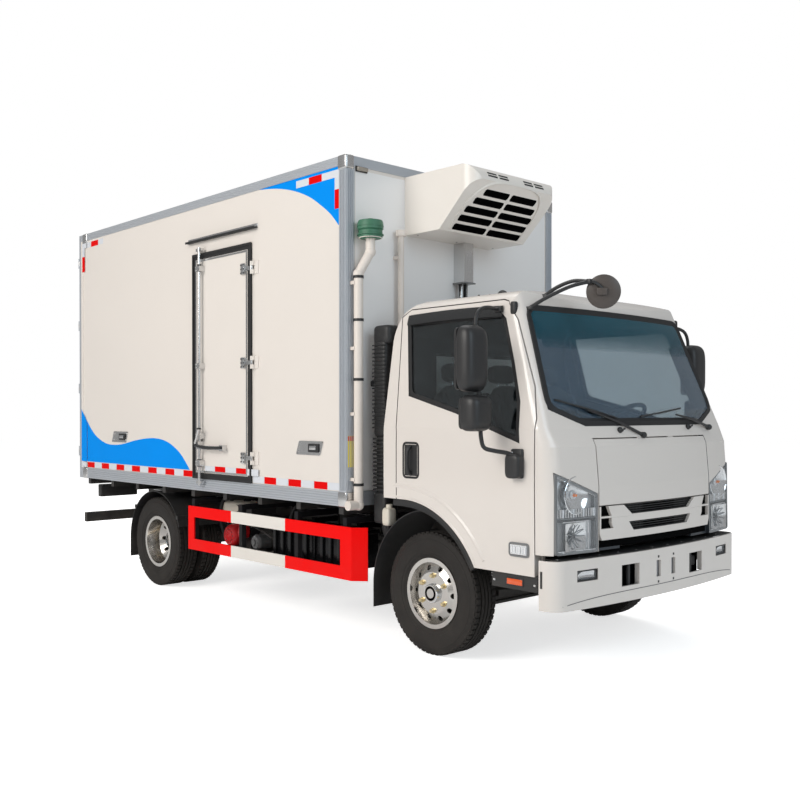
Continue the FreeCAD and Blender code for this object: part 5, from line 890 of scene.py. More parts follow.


# ribs on the aluminium bottom rail, top rail and corner posts, and the cast corner caps; the ribs on the
# bottom rail and posts take a darker copy of the rail metal, painted shade for the grooves
def makeRails():
    face, proud = -1.1, rails["ribProud"]
    for sign, hand in ((1, "Right"), (-1, "Left")):
        keepSide = (lambda part: part) if sign > 0 else mirrorPart
        for label, low, high, bevel, finish, count, step in (("low", (-2.7, face - proud, 0.903),
                (1.1, face + 0.002, 0.91), 0.0022, "railGrooveShade", rails["lowRibs"], (0, 0, 0.0175)),
                ("high", (-2.7, face - proud * 0.6, 3.194), (1.1, face + 0.002, 3.2), 0.0018, "railMetal",
                rails["topRibs"], (0, 0, 0.018)), ("post", (1.122, face - proud, 1.0),
                (1.129, face + 0.002, 3.15), 0.0022, "railGrooveShade", rails["postRibs"], (0.0155, 0, 0)),
                ("front", (1.183, -1.094, 1.0), (1.19, -1.087, 3.15), 0.0022, "railGrooveShade", rails["postRibs"],
                (0, sign * 0.0155, 0))):
            rib = keepSide(boxPart(low, high, bevel, 1))
            inRow(f"{label}Ribs{hand}", [rib], finish, "chassis", count, step)
        caps = [boxPart((x0, -1.1065, z0), (x1, -1.03, z1), 0.012, 3) for x0,
            x1 in ((1.098, 1.1915), (-2.792, -2.7)) for z0, z1 in ((0.888, 0.992), (3.155, 3.2505))]
        makePiece(f"cornerCaps{hand}", [keepSide(c) for c in caps], "stainless", slot="profile_aluminium")


flap = {"places": ((-2.19, 1.253), (0.63, 1.228)), "length": 0.31, "height": 0.098, "slant": 0.035}


# slanted steel plates with a sunk black catch, two to a side
def makeFlaps():
    for name, (x, z) in zip(("Rear", "Front"), flap["places"]):
        wide, tall, slant = flap["length"], flap["height"], flap["slant"]
        outer = roundCorners([(x, z), (x + wide - slant, z), (x + wide, z + tall),
            (x + slant, z + tall)], 0.012, 3)
        rim = offsetPath(outer, -0.012)
        parts = [platePart(outer, "Y", -1.0965, -1.094), platePart(outer, "Y", -1.0995, -1.0965, hole=rim)]
        cx, cz = x + wide * 0.66, z + tall * 0.5
        parts.append((*boxPart((cx - 0.06, -1.1075, cz - 0.03), (cx + 0.055, -1.096, cz + 0.03),
            0.006), "blackPlastic"))
        parts.append((*boxPart((cx - 0.04, -1.112, cz - 0.012),
            (cx + 0.03, -1.106, cz + 0.016), 0.003), "stainless"))
        for dx, dz in ((0.03, 0.02), (wide - 0.05, 0.02), (0.05, tall - 0.02), (wide - 0.03, tall - 0.02)):
            parts.append((*lathePart([(-1.0985, 0), (-1.0985, 0.004), (-1.0965, 0.006), (-1.0965, 0)],
                (x + dx, 0, z + dz), steps=10), "stainless"))
        bothSides(f"flap{name}", parts, "stainless", slot="stainless")


doorTrim = {"rear": -0.75, "front": 0.08, "low": 0.994, "high": 2.8, "seal": 0.045, "face": -1.105}


def makeSideDoorTrim():
    d = doorTrim
    inset = d["seal"] + 0.004
    outer = rectangle(d["rear"] + inset, d["front"] - inset, d["low"] + inset, d["high"] - inset)
    inner = [(a + (0.014 if a < -0.3 else -0.014), b + (0.014 if b < 2 else -0.014)) for a, b in outer]
    parts = [(*platePart(outer, "Y", d["face"] - 0.0045, d["face"], hole=inner), "stainless")]
    sealOut = rectangle(d["rear"] - 0.004, d["front"] + 0.004, d["low"] - 0.004, d["high"] + 0.004)
    sealIn = [(a + (0.02 if a < -0.3 else -0.02), b + (0.02 if b < 2 else -0.02)) for a, b in sealOut]
    parts.append((*platePart(sealOut, "Y", d["face"] - 0.006, d["face"] + 0.002, hole=sealIn), "sealRubber"))
    rodX, rodY = -0.6, -1.137
    for z, dx, dz in product((1.12, 1.337, 1.897, 2.674), (-0.024, 0.024), (-0.013, 0.013)):
        parts.append((*lathePart(stud(-1.16, 0.0045, -1.155, 0.006, -1.15), (rodX + dx, 0, z + dz),
            steps=8), "stainless"))
    for z in (2.68, 1.12):
        parts.append((*lathePart([(z - 0.03, 0.0175), (z + 0.03, 0.0175), (z + 0.03, 0.013),
            (z - 0.03, 0.013)], (rodX, rodY, 0), "Z", 16), "blackPlastic"))
    for z in (1.18, 1.9, 2.61):
        parts.append((*boxPart((-0.035, -1.1235, z - 0.042), (0.012, -1.111, z + 0.042), 0.003), "stainless"))
        for dx, dz in product((-0.028, 0.006), (-0.03, 0.0, 0.03)):
            parts.append((*lathePart(stud(-1.128, 0.004, -1.1245, 0.0062, -1.122), (dx, 0, z + dz),
                steps=8), "blackPlastic"))
    lever = [(-0.605, -1.172, 1.278), (-0.585, -1.176, 1.31), (-0.565, -1.176, 1.36), (-0.552, -1.174, 1.392)]
    parts.append((*tubePart(lever, 0.01), "stainless"))
    parts.append((*lathePart([(1.388, 0), (1.389, 0.016), (1.394, 0.02), (1.402, 0.016), (1.404, 0)],
        (-0.551, -1.174, 0), "Z", 16), "blackPlastic"))
    grip = [(-0.62, -1.166, 1.262), (-0.5, -1.17, 1.247), (-0.36, -1.168, 1.246), (-0.24, -1.166, 1.252)]
    parts.append((*tubePart(grip, 0.0115), "blackPlastic"))
    makePiece("sideDoorTrim", parts, "stainless", "side_door", slot="stainless")
    drip = [boxPart((-0.83, -1.128, 2.902), (0.155, -1.094, 2.909), 0.002),
        (*boxPart((-0.83, -1.1, 2.909), (0.155, -1.094, 2.938), 0.002), "stainless"),
        boxPart((-0.83, -1.13, 2.898), (0.155, -1.126, 2.916), 0.0015)]
    makePiece("dripRail", drip, "sealRubber", slot="seal_rubber")


makeLivery()
makeTape()
makeRails()
makeFlaps()
makeSideDoorTrim()
print("load box dressed")

# cab front: headlamps, grille, screens and wipers

lamp = {"inner": 0.621, "outer": 0.9535, "low": 0.7275, "high": 1.1895, "innerHigh": 1.0595, "deep": 0.043,
    "rim": 0.016, "strip": (0.93, 0.985), "round": (0.792, 1.058, 0.105), "bowl": (0.795, 0.825, 0.085)}


# rows across one lamp, from its foot to its slanted top
def lampRows(inset, steps=9):
    y0, y1 = lamp["inner"] + inset, lamp["outer"] - inset
    line = [-y for y in spaced(y0, y1, steps)]
    slope = (lamp["high"] - lamp["innerHigh"]) / (lamp["outer"] - lamp["inner"])
    top = [(y, lamp["innerHigh"] + (-y - lamp["inner"]) * slope - inset * 1.3) for y in line]
    return rowsBetween([(y, lamp["low"] + inset) for y in line], top, steps)


def makeHeadlamps():
    face = surfaceOf("headlamps")
    skin = laidOn(face, "X", other=2.8)
    back = laidOn(face, "X", -lamp["deep"] + 0.004, 2.8)
    y0, y1, low = lamp["inner"], lamp["outer"], lamp["low"]
    edge = roundCorners([(-y0, low), (-y1, low), (-y1, lamp["high"]), (-y0, lamp["innerHigh"])], 0.02, 3)
    parts = [(*sheetPart(lampRows(0.003), "X", back, 0.004), "lampShell"),
        (*bandPart(face, edge, 0.0, lamp["rim"], "X", -0.0005, lamp["deep"] - 0.002, probe=0.02), "lampGrey"),
        (*sheetPart(lampRows(0.002), "X", skin, 0.0025), "clearLens")]
    for foot, head, finish, lift in ((0.912, 0.925, "blackPlastic", -0.012),
            (0.925, 0.93, "lampGrey", -0.008)):
        parts.append((*sheetPart(gridRows(-y0 - 0.012, -y1 + 0.012, foot, head, 7), "X",
            laidOn(face, "X", lift, 2.8), 0.03), finish))
    foot, head = lamp["strip"]
    count = 15
    for k in range(count):
        y = -y0 - 0.02 - k * (y1 - y0 - 0.05) / (count - 1)
        parts.append((*sheetPart(gridRows(y, y - 0.012, foot + 0.004, head - 0.004, 3, 2), "X", lambda a, b,
            y=y: skin(a, b) - 0.012 + 0.004 * (abs(a - y + 0.006) < 0.003), 0.012),
            "reflector" if k % 4 else "whiteLens"))
    cy, cz, radius = lamp["round"]
    base = back(-cy, cz) + 0.003
    cup = profileFrom(base, 1, (0, 0), (0.001, 0.02), (0.005, radius * 0.5), (0.014, radius * 0.8),
        (0.03, radius), (0.028, radius + 0.004), (-0.001, radius + 0.004), (-0.001, 0))
    parts.append((*lathePart(cup, (0, -cy, cz), "X", 40), "reflector"))
    parts.append((*lathePart(profileFrom(base, 1, (0.034, 0), (0.032, 0.007), (0.012, 0.011), (0, 0.011),
        (0, 0)), (0, -cy - 0.004, cz), "X", 20), "amberLens"))
    parts.append((*lathePart(profileFrom(base, 1, (0.016, 0.0), (0.014, 0.02), (0.008, 0.026), (0.003, 0.026),
        (0.003, 0)), (0, -cy, cz), "X", 24), "lampShell"))
    cy, cz, half = lamp["bowl"]
    base = back(-cy, cz) + 0.003
    bowl = gridRows(-cy - half * 1.15, -cy + half * 1.15, cz - half * 0.92, cz + half * 0.92, 9, 9)
    parts.append((*sheetPart(bowl, "X", lambda a, b: base + 0.028 * min(1.0,
        ((a + cy) ** 2 + (b - cz) ** 2) / half ** 2) + 0.0035 * math.cos((a + cy) * 150) *
        math.cos((b - cz) * 120), 0.002), "reflector"))
    frameEdge = rectangle(-cy - half * 1.2, -cy + half * 1.2, cz - half, cz + half)
    parts.append((*bandPart(face, frameEdge, -0.004, 0.003, "X", -0.008, 0.012), "reflector"))
    parts.append((*bandPart(face, offsetPath(edge, 0.017), -0.002, 0.003, "X", -0.004, 0.012,
        probe=0.004), "reflector"))
    parts.append((*lathePart(stud(base + 0.012, 0.012, base + 0.009, 0.017, base), (0, -cy, cz),
        "X", 20), "blackPlastic"))
    for u, w in onCircle(11, half * 0.98, half * 0.8):
        tip = (base + 0.026, -cy + u, cz + w)
        parts.append((*tubePart([(base + 0.006, -cy, cz), tip], 0.0028, 6, False), "lampGrey"))
    for z in (0.735, 0.744):
        parts.append((*sheetPart(gridRows(-0.66, -0.93, z, z + 0.004, 5), "X",
            laidOn(face, "X", -0.01, 2.8), 0.02), "lampGrey"))
    right = bothSides("headlamp", parts, "lampGrey", "cab", slot="lamp_lens", smooth=28)[0]
    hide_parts("headlamps")


grille = {"edge": 0.611, "high": 0.9825, "low": 0.788, "slotHigh": (0.925, 0.395, 0.315),
    "slotLow": (0.828, 0.882, 0.3, 0.345), "sideHigh": (0.925, 0.505, 0.535),
    "sideLow": (0.853, 0.913, 0.475, 0.505)}


def makeGrille():
    g, skin = grille, crowned(2.8925)

    # slab between a lower line and an upper one, each given by its two ends
    def block(a0, a1, low, b0, b1, high, columns=5):
        lines = [[(y, z) for y in spaced(p, q, columns)] for p, q, z in ((a0, a1, low), (b0, b1, high))]
        return sheetPart(rowsBetween(*lines), "X", skin, 0.02)
    parts = []
    sl, tHigh, tLow = g["slotHigh"]
    lowZ, highZ, nearLow, nearHigh = g["slotLow"]
    edge, sides = g["edge"], g["sideLow"]
    for s in (1, -1):
        parts += [block(s * tLow, s * g["sideHigh"][1], sl, s * tHigh, s * g["sideHigh"][2], g["high"]),
            block(s * nearHigh, s * sides[3], highZ, s * nearHigh, s * sides[3], 0.914),
            block(s * nearLow, s * sides[2], lowZ, s * nearHigh, s * sides[3], highZ),
            block(s * sides[2], s * edge, lowZ, s * sides[2], s * edge, 0.853),
            block(s * 0.598, s * edge, 0.853, s * 0.598, s * edge, g["high"], 3)]
    parts += [block(-nearHigh, nearHigh, highZ, -nearHigh, nearHigh, 0.9155, 13),
        block(-edge, edge, 0.9145, -edge, edge, sl, 17), block(-edge + 0.02, edge - 0.02, g["low"],
        -edge, edge, lowZ, 17)]
    # near-black sheet behind the grille slots: painted shade
    parts.append((*sheetPart(gridRows(-0.606, 0.606, 0.743, 0.982, 15), "X",
        lifted(skin, -0.0235), 0.002), "deepBlack"))
    for z0, z1 in ((0.926, 0.93), (0.878, 0.882), (0.826, 0.83)):
        parts.append((*sheetPart(gridRows(-0.38, 0.38, z0, z1, 9), "X", lifted(skin, -0.012),
            0.012), "sealRubber"))
    bars = makePiece("grilleBars", parts, "cabPaint", "cab", slot="cab_white", smooth=20)
    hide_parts("grille")
    inRow("grilleMesh", [boxPart((2.8605, -0.41, 0.8), (2.8665, -0.406, 0.981))], "blackPlastic",
        "cab", 55, (0, 0.0151, 0))
    makePiece("grilleRows", [sheetPart(gridRows(-0.41, 0.41, z, z + 0.004, 9), "X", lifted(skin, -0.019),
        0.004) for z in [0.802 + 0.0135 * k for k in range(14)]], "blackPlastic", "cab")


screen = {"path": ((-0.64, 1.445), (-0.9, 1.542), (-0.812, 2.148), (0.812, 2.148), (0.9, 1.542),
    (0.64, 1.445)), "rear": ((-0.56, 1.5), (-0.56, 1.93), (0.56, 1.93), (0.56, 1.5))}
sideWindow = ((1.64, 1.63), (2.073, 1.518), (2.585, 1.348), (2.57, 1.59), (2.5, 1.81), (2.4, 2.08),
    (2.36, 2.115), (1.572, 2.115), (1.557, 2.1))


def spacedPath(points, step, closed=True):
    made = []
    count = len(points)
    for k in range(count if closed else count - 1):
        a, b = Vector(points[k]), Vector(points[(k + 1) % count])
        parts = max(1, int((b - a).length / step))
        made += [tuple(a.lerp(b, t / parts)) for t in range(parts)]
    return made if closed else made + [tuple(points[-1])]


# rubber and printed border round each window, the tinted strip along the windscreen's head, and a bluish film
# over the windscreen that is painted reflection
def makeScreens():
    pane = surfaceOf("cab_glass", "cab_shell")
    path = spacedPath(roundCorners(screen["path"], 0.075, 6), 0.06)
    parts = [bandPart(pane, path, -0.012, 0.03, "X", 0.0045, 0.006, probe=0.012)]
    foot = spacedPath([(-0.655, 1.452), (0.655, 1.452)], 0.06, False)
    above = spacedPath([(-0.7, 1.492), (0.7, 1.492)], 0.06, False)[:len(foot)]
    parts.append(sheetPart(rowsBetween(foot, above, 3), "X", laidOn(pane, "X", 0.003, 2.8), 0.003))
    makePiece("windscreenRubber", parts, "sealRubber", "cab", slot="seal_rubber")
    head = laidOn(surfaceOf("cab_glass"), "X", 0.0012, 2.55)
    tint = sheetPart(rowsBetween([(y, 1.9) for y in spaced(-0.85, 0.85, 25)],
        [(y, 2.125) for y in spaced(-0.792, 0.792, 25)], 5), "X", head, 0.0008)
    makePiece("windscreenTint", [tint], "tealTint", "cab", slot="window_glass")
    # bluish see-through film laid over the windscreen: painted reflection
    levels = ((1.488, 0.66), (1.555, 0.855), (1.7, 0.855), (1.85, 0.845), (1.99, 0.82), (2.12, 0.79))
    reflectionSheet = [sheetPart([[(half * (k / 12 - 1), z) for k in range(25)] for z, half in levels], "X",
        laidOn(surfaceOf("cab_glass"), "X", 0.0004, 2.6), 0.0005)]
    makePiece("windscreenReflection", reflectionSheet, "reflectionBlue", "cab", slot="window_glass")
    door = surfaceOf("cab_door_right", "door_glass_right")
    line = spacedPath(roundCorners(sideWindow, 0.055, 4), 0.05)
    seal = [bandPart(door, line, -0.028, 0.018, "Y", 0.005, 0.004, probe=-0.008)]
    bothSides("doorWindowRubber", seal, "sealRubber", "cab_door", slot="seal_rubber")
    rear = surfaceOf("cab_shell", "cab_glass")
    line = spacedPath(roundCorners(screen["rear"], 0.05, 4), 0.08)
    makePiece("rearWindowRubber", [bandPart(rear, line, -0.012, 0.016, "X", 0.004, 0.004, probe=-0.006,
        start=-1)], "sealRubber", "cab", slot="seal_rubber")


wiper = {"arms": (((2.846, -0.141, 1.388), (2.8, -0.36, 1.47), (2.752, -0.6, 1.54)),
    ((2.8, 0.716, 1.427), (2.8, 0.5, 1.478), (2.79, 0.3, 1.512))),
    "blades": (((2.712, -0.831, 1.598), (2.8, -0.345, 1.492)), ((2.803, -0.101, 1.5), (2.776, 0.409, 1.552))),
    "washers": ((2.822, -0.35, 1.42), (2.813, 0.434, 1.432))}


def makeWipers():
    glass = laidOn(surfaceOf("cab_glass", "cab_shell"), "X", other=2.75)
    parts = []
    for arm, blade in zip(wiper["arms"], wiper["blades"]):
        at = Vector(arm[0])
        parts.append(tubePart([at, Vector(arm[1]) + Vector((0.012, 0, 0)),
            Vector(arm[2]) + Vector((0.014, 0, 0))], [0.011 - 0.0055 * k / 12 for k in range(13)], 8))
        parts.append(lathePart([(-0.012, 0), (-0.012, 0.019), (0.012, 0.019), (0.02, 0.012),
            (0.02, 0)], at, "X", 18))
        a, b = Vector(blade[0]), Vector(blade[1])
        spots = [a.lerp(b, k / 12) for k in range(13)]
        line = [(glass(p.y, p.z), p.y, p.z) for p in spots]
        parts.append(tubePart([(x + 0.01, y, z) for x, y, z in line], 0.0055, 6))
        parts.append(tubePart([(x + 0.004, y, z) for x, y, z in line], 0.003, 6))
        mid = Vector(line[6]) + Vector((0.016, 0, 0))
        parts.append(tubePart([Vector(line[3]) + Vector((0.016, 0, 0)), mid + Vector((0.006, 0, 0)),
            Vector(line[9]) + Vector((0.016, 0, 0))], 0.0045, 6))
    for spot in wiper["washers"]:
        parts.append(lathePart([(-0.006, 0), (-0.006, 0.018), (0.006, 0.018), (0.012, 0.01), (0.02, 0.009),
            (0.02, 0)], spot, "X", 16))
        parts.append(tubePart([Vector(spot) + Vector((0.012, 0, 0)),
            Vector(spot) + Vector((0.014, 0.03, 0.008))], 0.006, 8))
    makePiece("wipers", parts, "mirrorShell", "cab", slot="black_plastic")


makeHeadlamps()
makeGrille()
makeScreens()
makeWipers()
print("cab front dressed")

# mirrors, with their stays and the one that looks under the windscreen

mirrorHead = {"upper": ((2.357, -1.295, 1.642), (2.474, -1.105, 2.018)),
    "lower": ((2.386, -1.29, 1.418), (2.512, -1.11, 1.622))}


# softly rounded shell, flatter at the back and drawn in towards its front
def shellPart(low, high, squeeze=0.82, steps=10):
    low, high = Vector(low), Vector(high)
    centre, half = (low + high) / 2, (high - low) / 2
    work = dividedCube(steps)
    for v in work.verts:
        x, y, z = v.co
        grow = (abs(x) ** 5 + abs(y) ** 5 + abs(z) ** 5) ** -0.2
        x, y, z = x * grow, y * grow, z * grow
        draw = 1 - (1 - squeeze) * max(0.0, x) ** 1.5
        v.co = centre + Vector((x * half.x, y * half.y * draw, z * half.z * draw))
    return fromWork(work)


def makeMirrors():
    upper, lower = mirrorHead["upper"], mirrorHead["lower"]
    parts = [shellPart(*upper), shellPart(*lower)]
    for low, high in (upper, lower):
        x = low[0]
        outline = rectangle(low[1] + 0.014, high[1] - 0.014, low[2] + 0.016, high[2] - 0.016, 0.028, 5)
        parts.append((*platePart(outline, "X", x - 0.0005, x + 0.01), "mirrorGlass"))
        parts.append(platePart(offsetPath(outline, 0.005), "X", x - 0.003, x + 0.012, hole=outline))
    parts.append(tubePart([(2.395, -1.15, 1.99), (2.392, -1.146, 2.06), (2.386, -1.11, 2.112),
        (2.372, -1.03, 2.135), (2.352, -0.93, 2.136), (2.343, -0.885, 2.133)], 0.0115, 12))
    parts.append(tubePart([(2.412, -1.152, 1.68), (2.416, -1.15, 1.6)], 0.0095, 10))
    parts.append(tubePart([(2.43, -1.15, 1.45), (2.434, -1.148, 1.38), (2.446, -1.135, 1.325),
        (2.48, -1.085, 1.306), (2.54, -1.035, 1.292), (2.572, -1.012, 1.262)], 0.0125, 12))
    parts.append(shellPart((2.522, -1.056, 1.15), (2.624, -0.99, 1.29), 0.9))
    parts.append(boxPart((2.534, -1.012, 1.15), (2.618, -0.986, 1.318), 0.01, 3))
    parts.append(boxPart((2.318, -0.915, 2.118), (2.372, -0.879, 2.15), 0.008, 3))
    parts.append(lathePart([(-1.175, 0), (-1.175, 0.013), (-1.125, 0.013), (-1.125, 0)],
        (2.395, 0, 1.985), "Y", 14))
    parts.append(lathePart([(-1.175, 0), (-1.175, 0.013), (-1.125, 0.013), (-1.125, 0)],
        (2.43, 0, 1.46), "Y", 14))
    for z in (1.175, 1.295):
        parts.append((*lathePart(stud(-1.0155, 0.005, -1.0115, 0.008, -1.0085), (2.545, 0, z),
            "Y", 10), "stainless"))
    right, left = bothSides("doorMirror", parts, "mirrorShell", "cab_door", slot="black_plastic")
    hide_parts("door_mirror_right")
    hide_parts("door_mirror_left")


underView = {"centre": (2.806, -0.497, 2.232), "facing": (0.565, -0.816, -0.12), "radius": 0.1}


def makeUnderViewMirror():
    ahead = Vector(underView["facing"]).normalized()
    middle = Vector(underView["centre"])
    turn = Vector((1, 0, 0)).rotation_difference(ahead).to_matrix().to_4x4()
    place = Matrix.Translation(middle) @ turn
    radius = underView["radius"]
    disc = [(0.01, 0), (0.01, radius * 0.45), (0.004, radius * 0.85), (-0.004, radius), (-0.012, radius),
        (-0.016, radius - 0.006), (-0.013, radius * 0.9), (-0.02, radius * 0.4), (-0.022, 0)]
    parts = [(*turned(lathePart(disc, (0, 0, 0), "X", 48), place), "mirrorBack"),
        (*turned(boxPart((0.004, -0.04, -0.02), (0.03, 0.022, 0.022), 0.005, 2), place), "mirrorBack"),
        (*turned(lathePart([(-0.0235, 0), (-0.0215, radius * 0.4), (-0.0145, radius * 0.88),
        (-0.0125, radius * 0.88), (-0.0125, 0)], (0, 0, 0), "X", 48), place), "mirrorGlass")]
    joint = (2.752, -0.56, 2.29)
    parts.append(tubePart([(2.478, -0.629, 2.226), (2.56, -0.61, 2.272),
        (2.66, -0.588, 2.3), joint], 0.0115, 10))
    parts.append(tubePart([(2.494, -0.79, 2.14), (2.57, -0.725, 2.2),
        (2.67, -0.635, 2.262), joint], 0.0115, 10))
    parts.append(tubePart([joint, (2.775, -0.545, 2.285), (2.8, -0.525, 2.262),
        (2.815, -0.515, 2.24)], 0.011, 10))
    parts.append(boxPart((2.735, -0.578, 2.275), (2.768, -0.545, 2.305), 0.006, 2))
    for spot in ((2.482, -0.629, 2.222), (2.494, -0.79, 2.135)):
        parts.append(shellPart(tuple(c - d for c, d in zip(spot, (0.04, 0.02, 0.012))),
            tuple(c + d for c, d in zip(spot, (0.026, 0.02, 0.014)))))
    piece = makePiece("underViewMirrorSet", parts, "mirrorShell", "cab", slot="black_plastic")
    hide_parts("under_view_mirror")


makeMirrors()
makeUnderViewMirror()
print("mirrors made")

# cab sides: visor, handles, lamps and roof fittings

cabSide = {"handle": (1.625, 1.765, 1.11, 1.332), "lamp": (2.516, 2.647, 0.711, 0.777),
    "studs": ((1.98, -0.665), (2.025, -0.61))}


def makeCabSides():
    door = surfaceOf("cab_door_right", "door_glass_right", "cab_shell")
    skin = laidOn(door, "Y", other=-0.99)
    line = [(1.575 + 0.8 * k / 20, 2.156 + 0.01 * math.sin(math.pi * k / 20)) for k in range(21)]

    def flare(a, b):
        return skin(a, 2.15) - 0.006 - 0.024 * min(1.0, max(0.0, (2.166 - b) / 0.06)) ** 0.7
    visor = sheetPart(rowsBetween([(a, b - 0.066) for a, b in line], line, 6), "Y", flare, -0.004)
    bothSides("doorVisor", [visor], "smokedPlastic", "cab_door", slot="black_plastic")
    x0, x1, z0, z1 = cabSide["handle"]
    cup = rectangle(x0, x1, z0, z1, 0.03, 4)
    parts = [(*bandPart(door, cup, -0.008, 0.006, "Y", 0.0016, 0.003), "sealRubber"),
        (*sheetPart(gridRows(x0 + 0.012, x1 - 0.012, z0 + 0.012, z1 - 0.012, 5, 5), "Y",
        lifted(skin, -0.0006), -0.0012), "blackPlastic"), tubePart([(1.695, skin(1.69, z1) - 0.006,
        z1 - 0.022), (1.692, -1.018, z1 - 0.05), (1.69, -1.022, z0 + 0.09), (1.692, -1.014, z0 + 0.045),
        (1.695, skin(1.69, z0) - 0.006, z0 + 0.022)], 0.011, 10)]
    bothSides("doorHandle", parts, "mirrorShell", "cab_door", slot="black_plastic")
    x0, x1, z0, z1 = cabSide["lamp"]
    outline = rectangle(x0, x1, z0, z1, 0.012, 3)
    lens = [(*bandPart(door, outline, -0.002, 0.008, "Y", 0.008, 0.002), "lampGrey"),
        (*sheetPart(gridRows(x0 + 0.006, x1 - 0.006, z0 + 0.006, z1 - 0.006, 9, 5), "Y", lambda a,
        b: skin(a, b) - 0.011 - 0.003 * math.cos((a - 2.58) * 180), -0.01), "whiteLens")]
    for k in range(6):
        x = x0 + 0.018 + k * 0.019
        lens.append((*boxPart((x, skin(x, 0.745) - 0.016, z0 + 0.012),
            (x + 0.008, skin(x, 0.745) - 0.01, z1 - 0.012), 0.002, 1), "reflector"))
    bothSides("cabSideLamp", lens, "lampGrey", "cab", slot="lamp_lens")
    roof = laidOn(surfaceOf("cab_shell"), "Z", other=2.28)
    studs = []
    for s, (x, y) in product((1, -1), cabSide["studs"]):
        z = roof(x, s * y)
        studs.append(lathePart(profileFrom(z, 1, (-0.003, 0), (-0.003, 0.01), (0.006, 0.01), (0.014, 0.006),
            (0.014, 0)), (x, s * y, 0), "Z", 12))
    z = roof(2.07, -0.54)
    studs.append(lathePart(profileFrom(z, 1, (-0.004, 0), (-0.004, 0.036), (0.004, 0.036), (0.016, 0.033),
        (0.029, 0.022), (0.036, 0.008), (0.037, 0)), (2.07, -0.54, 0), "Z", 24))
    oval = shellPart((2.428, -0.892, 2.1), (2.466, -0.858, 2.176), 0.95)
    studs += [oval, mirrorPart(oval)]
    makePiece("roofFittings", studs, "mirrorShell", "cab", slot="black_plastic")


makeCabSides()
print("cab sides dressed")

# bumper, its lamps and openings, and the lamps at the rear

bumper = {"lamp": (0.662, 0.828, 0.577, 0.638), "tow": (0.28, 0.45, 0.51, 0.635),
    "plate": (0.06, 0.105, 0.53, 0.63), "groove": 0.482, "rearLamp": (0.56, 0.95, 0.7, 0.82, -2.8)}


def makeBumper():
    shell = surfaceOf("front_bumper")
    skin = crowned(2.92)
    y0, y1, z0, z1 = bumper["lamp"]
    edge = rectangle(-y0, -y1, z0, z1, 0.008, 2)
    parts = [(*sheetPart(gridRows(-y1, -y0, z0, z1, 7, 3), "X", lifted(skin, -0.034), 0.003), "lampGrey"),
        (*bandPart(shell, edge, 0.001, 0.007, "X", -0.003, 0.03, probe=-0.012), "blackPlastic"),
        (*sheetPart(gridRows(-y1 + 0.006, -y0 - 0.006, z0 + 0.006, z1 - 0.006, 7, 3), "X",
        lifted(skin, -0.005), 0.002), "clearLens"), (*sheetPart(gridRows(-y1 + 0.012, -y0 - 0.012, z0 + 0.014,
        z1 - 0.01, 9, 7), "X", lambda a, b: skin(a, b) - 0.03 + 0.016 * min(1.0,
        ((a + 0.745) / 0.075) ** 2 + ((b - 0.607) / 0.03) ** 2 * 0.6), 0.002), "reflector")]
    bothSides("fogLamp", parts, "blackPlastic", slot="lamp_lens")
    y0, y1, z0, z1 = bumper["tow"]
    # near-black sheet at the back of the tow hole: painted shade
    tow = [(*sheetPart(gridRows(-y1 - 0.05, -y0 + 0.06, z0 - 0.04, z1 + 0.04, 5), "X", lifted(skin, -0.06),
        0.004), "deepBlack"), (*tubePart([(2.875, -0.345, z0 - 0.015), (2.875, -0.345, z1 + 0.015)], 0.013,
        10), "mirrorShell"), (*boxPart((2.835, -0.44, z0 + 0.03), (2.862, -0.38, z0 + 0.09),
        0.006), "mirrorShell")]
    for a0, a1, depth in ((-y1, -y1 + 0.0015, 0.03), (-y0 - 0.0015, -y0, 0.03)):
        tow.append((*sheetPart(gridRows(a0, a1, z0, z1, 2, 2), "X", lifted(skin, -0.002), depth), "cabPaint"))
    bothSides("towHole", tow, "blackPlastic", slot="black_plastic")
    y0, y1, z0, z1 = bumper["plate"]
    plates = [(*sheetPart(gridRows(-y1 - 0.02, -y0 + 0.02, z0 - 0.02, z1 + 0.02, 3), "X",
        lifted(skin, -0.02), 0.003), "plateGrey")]
    for z in (z0 - 0.03, z1 + 0.022):
        plates.append((*sheetPart(gridRows(-0.092, -0.076, z - 0.007, z + 0.007, 2), "X",
            lifted(skin, 0.0006), 0.003), "blackPlastic"))
    bothSides("plateSeat", plates, "lampGrey", slot="black_plastic")
    # grey strip laid along the bumper's groove: painted shade in the groove
    skirt = laidOn(shell, "X", 0.0006, 2.9)
    line = [(y, bumper["groove"] - 0.035 * (abs(y) / 0.94) ** 4) for y in spaced(-0.94, 0.94, 41)]
    grooveShadeStrip = sheetPart([line, [(a, b + 0.0045) for a, b in line]], "X", skirt, 0.002)
    makePiece("bumperGrooveShade", [grooveShadeStrip], "grooveShadeGrey")
    spread = spaced(-0.955, 0.955, 25)
    top = [sheetPart([[(2.74, y) for y in spread], [(2.9055 - cabCrown * y * y, y) for y in spread]], "Z",
        flatAt(0.7045), 0.004)]
    for y in spaced(-0.93, 0.93, 12):
        top.append((*lathePart([(0.703, 0), (0.703, 0.007), (0.7075, 0.007), (0.7075, 0)],
            (2.875 - cabCrown * y * y, y, 0), "Z", 8), "stainless"))
    makePiece("bumperTop", top, "blackPlastic", slot="black_plastic")
    marker = sheetPart(gridRows(2.742, 2.756, 0.545, 0.64, 3), "Y", laidOn(shell, "Y", 0.002, -0.99), -0.004)
    bothSides("bumperMarker", [marker], "blackPlastic")


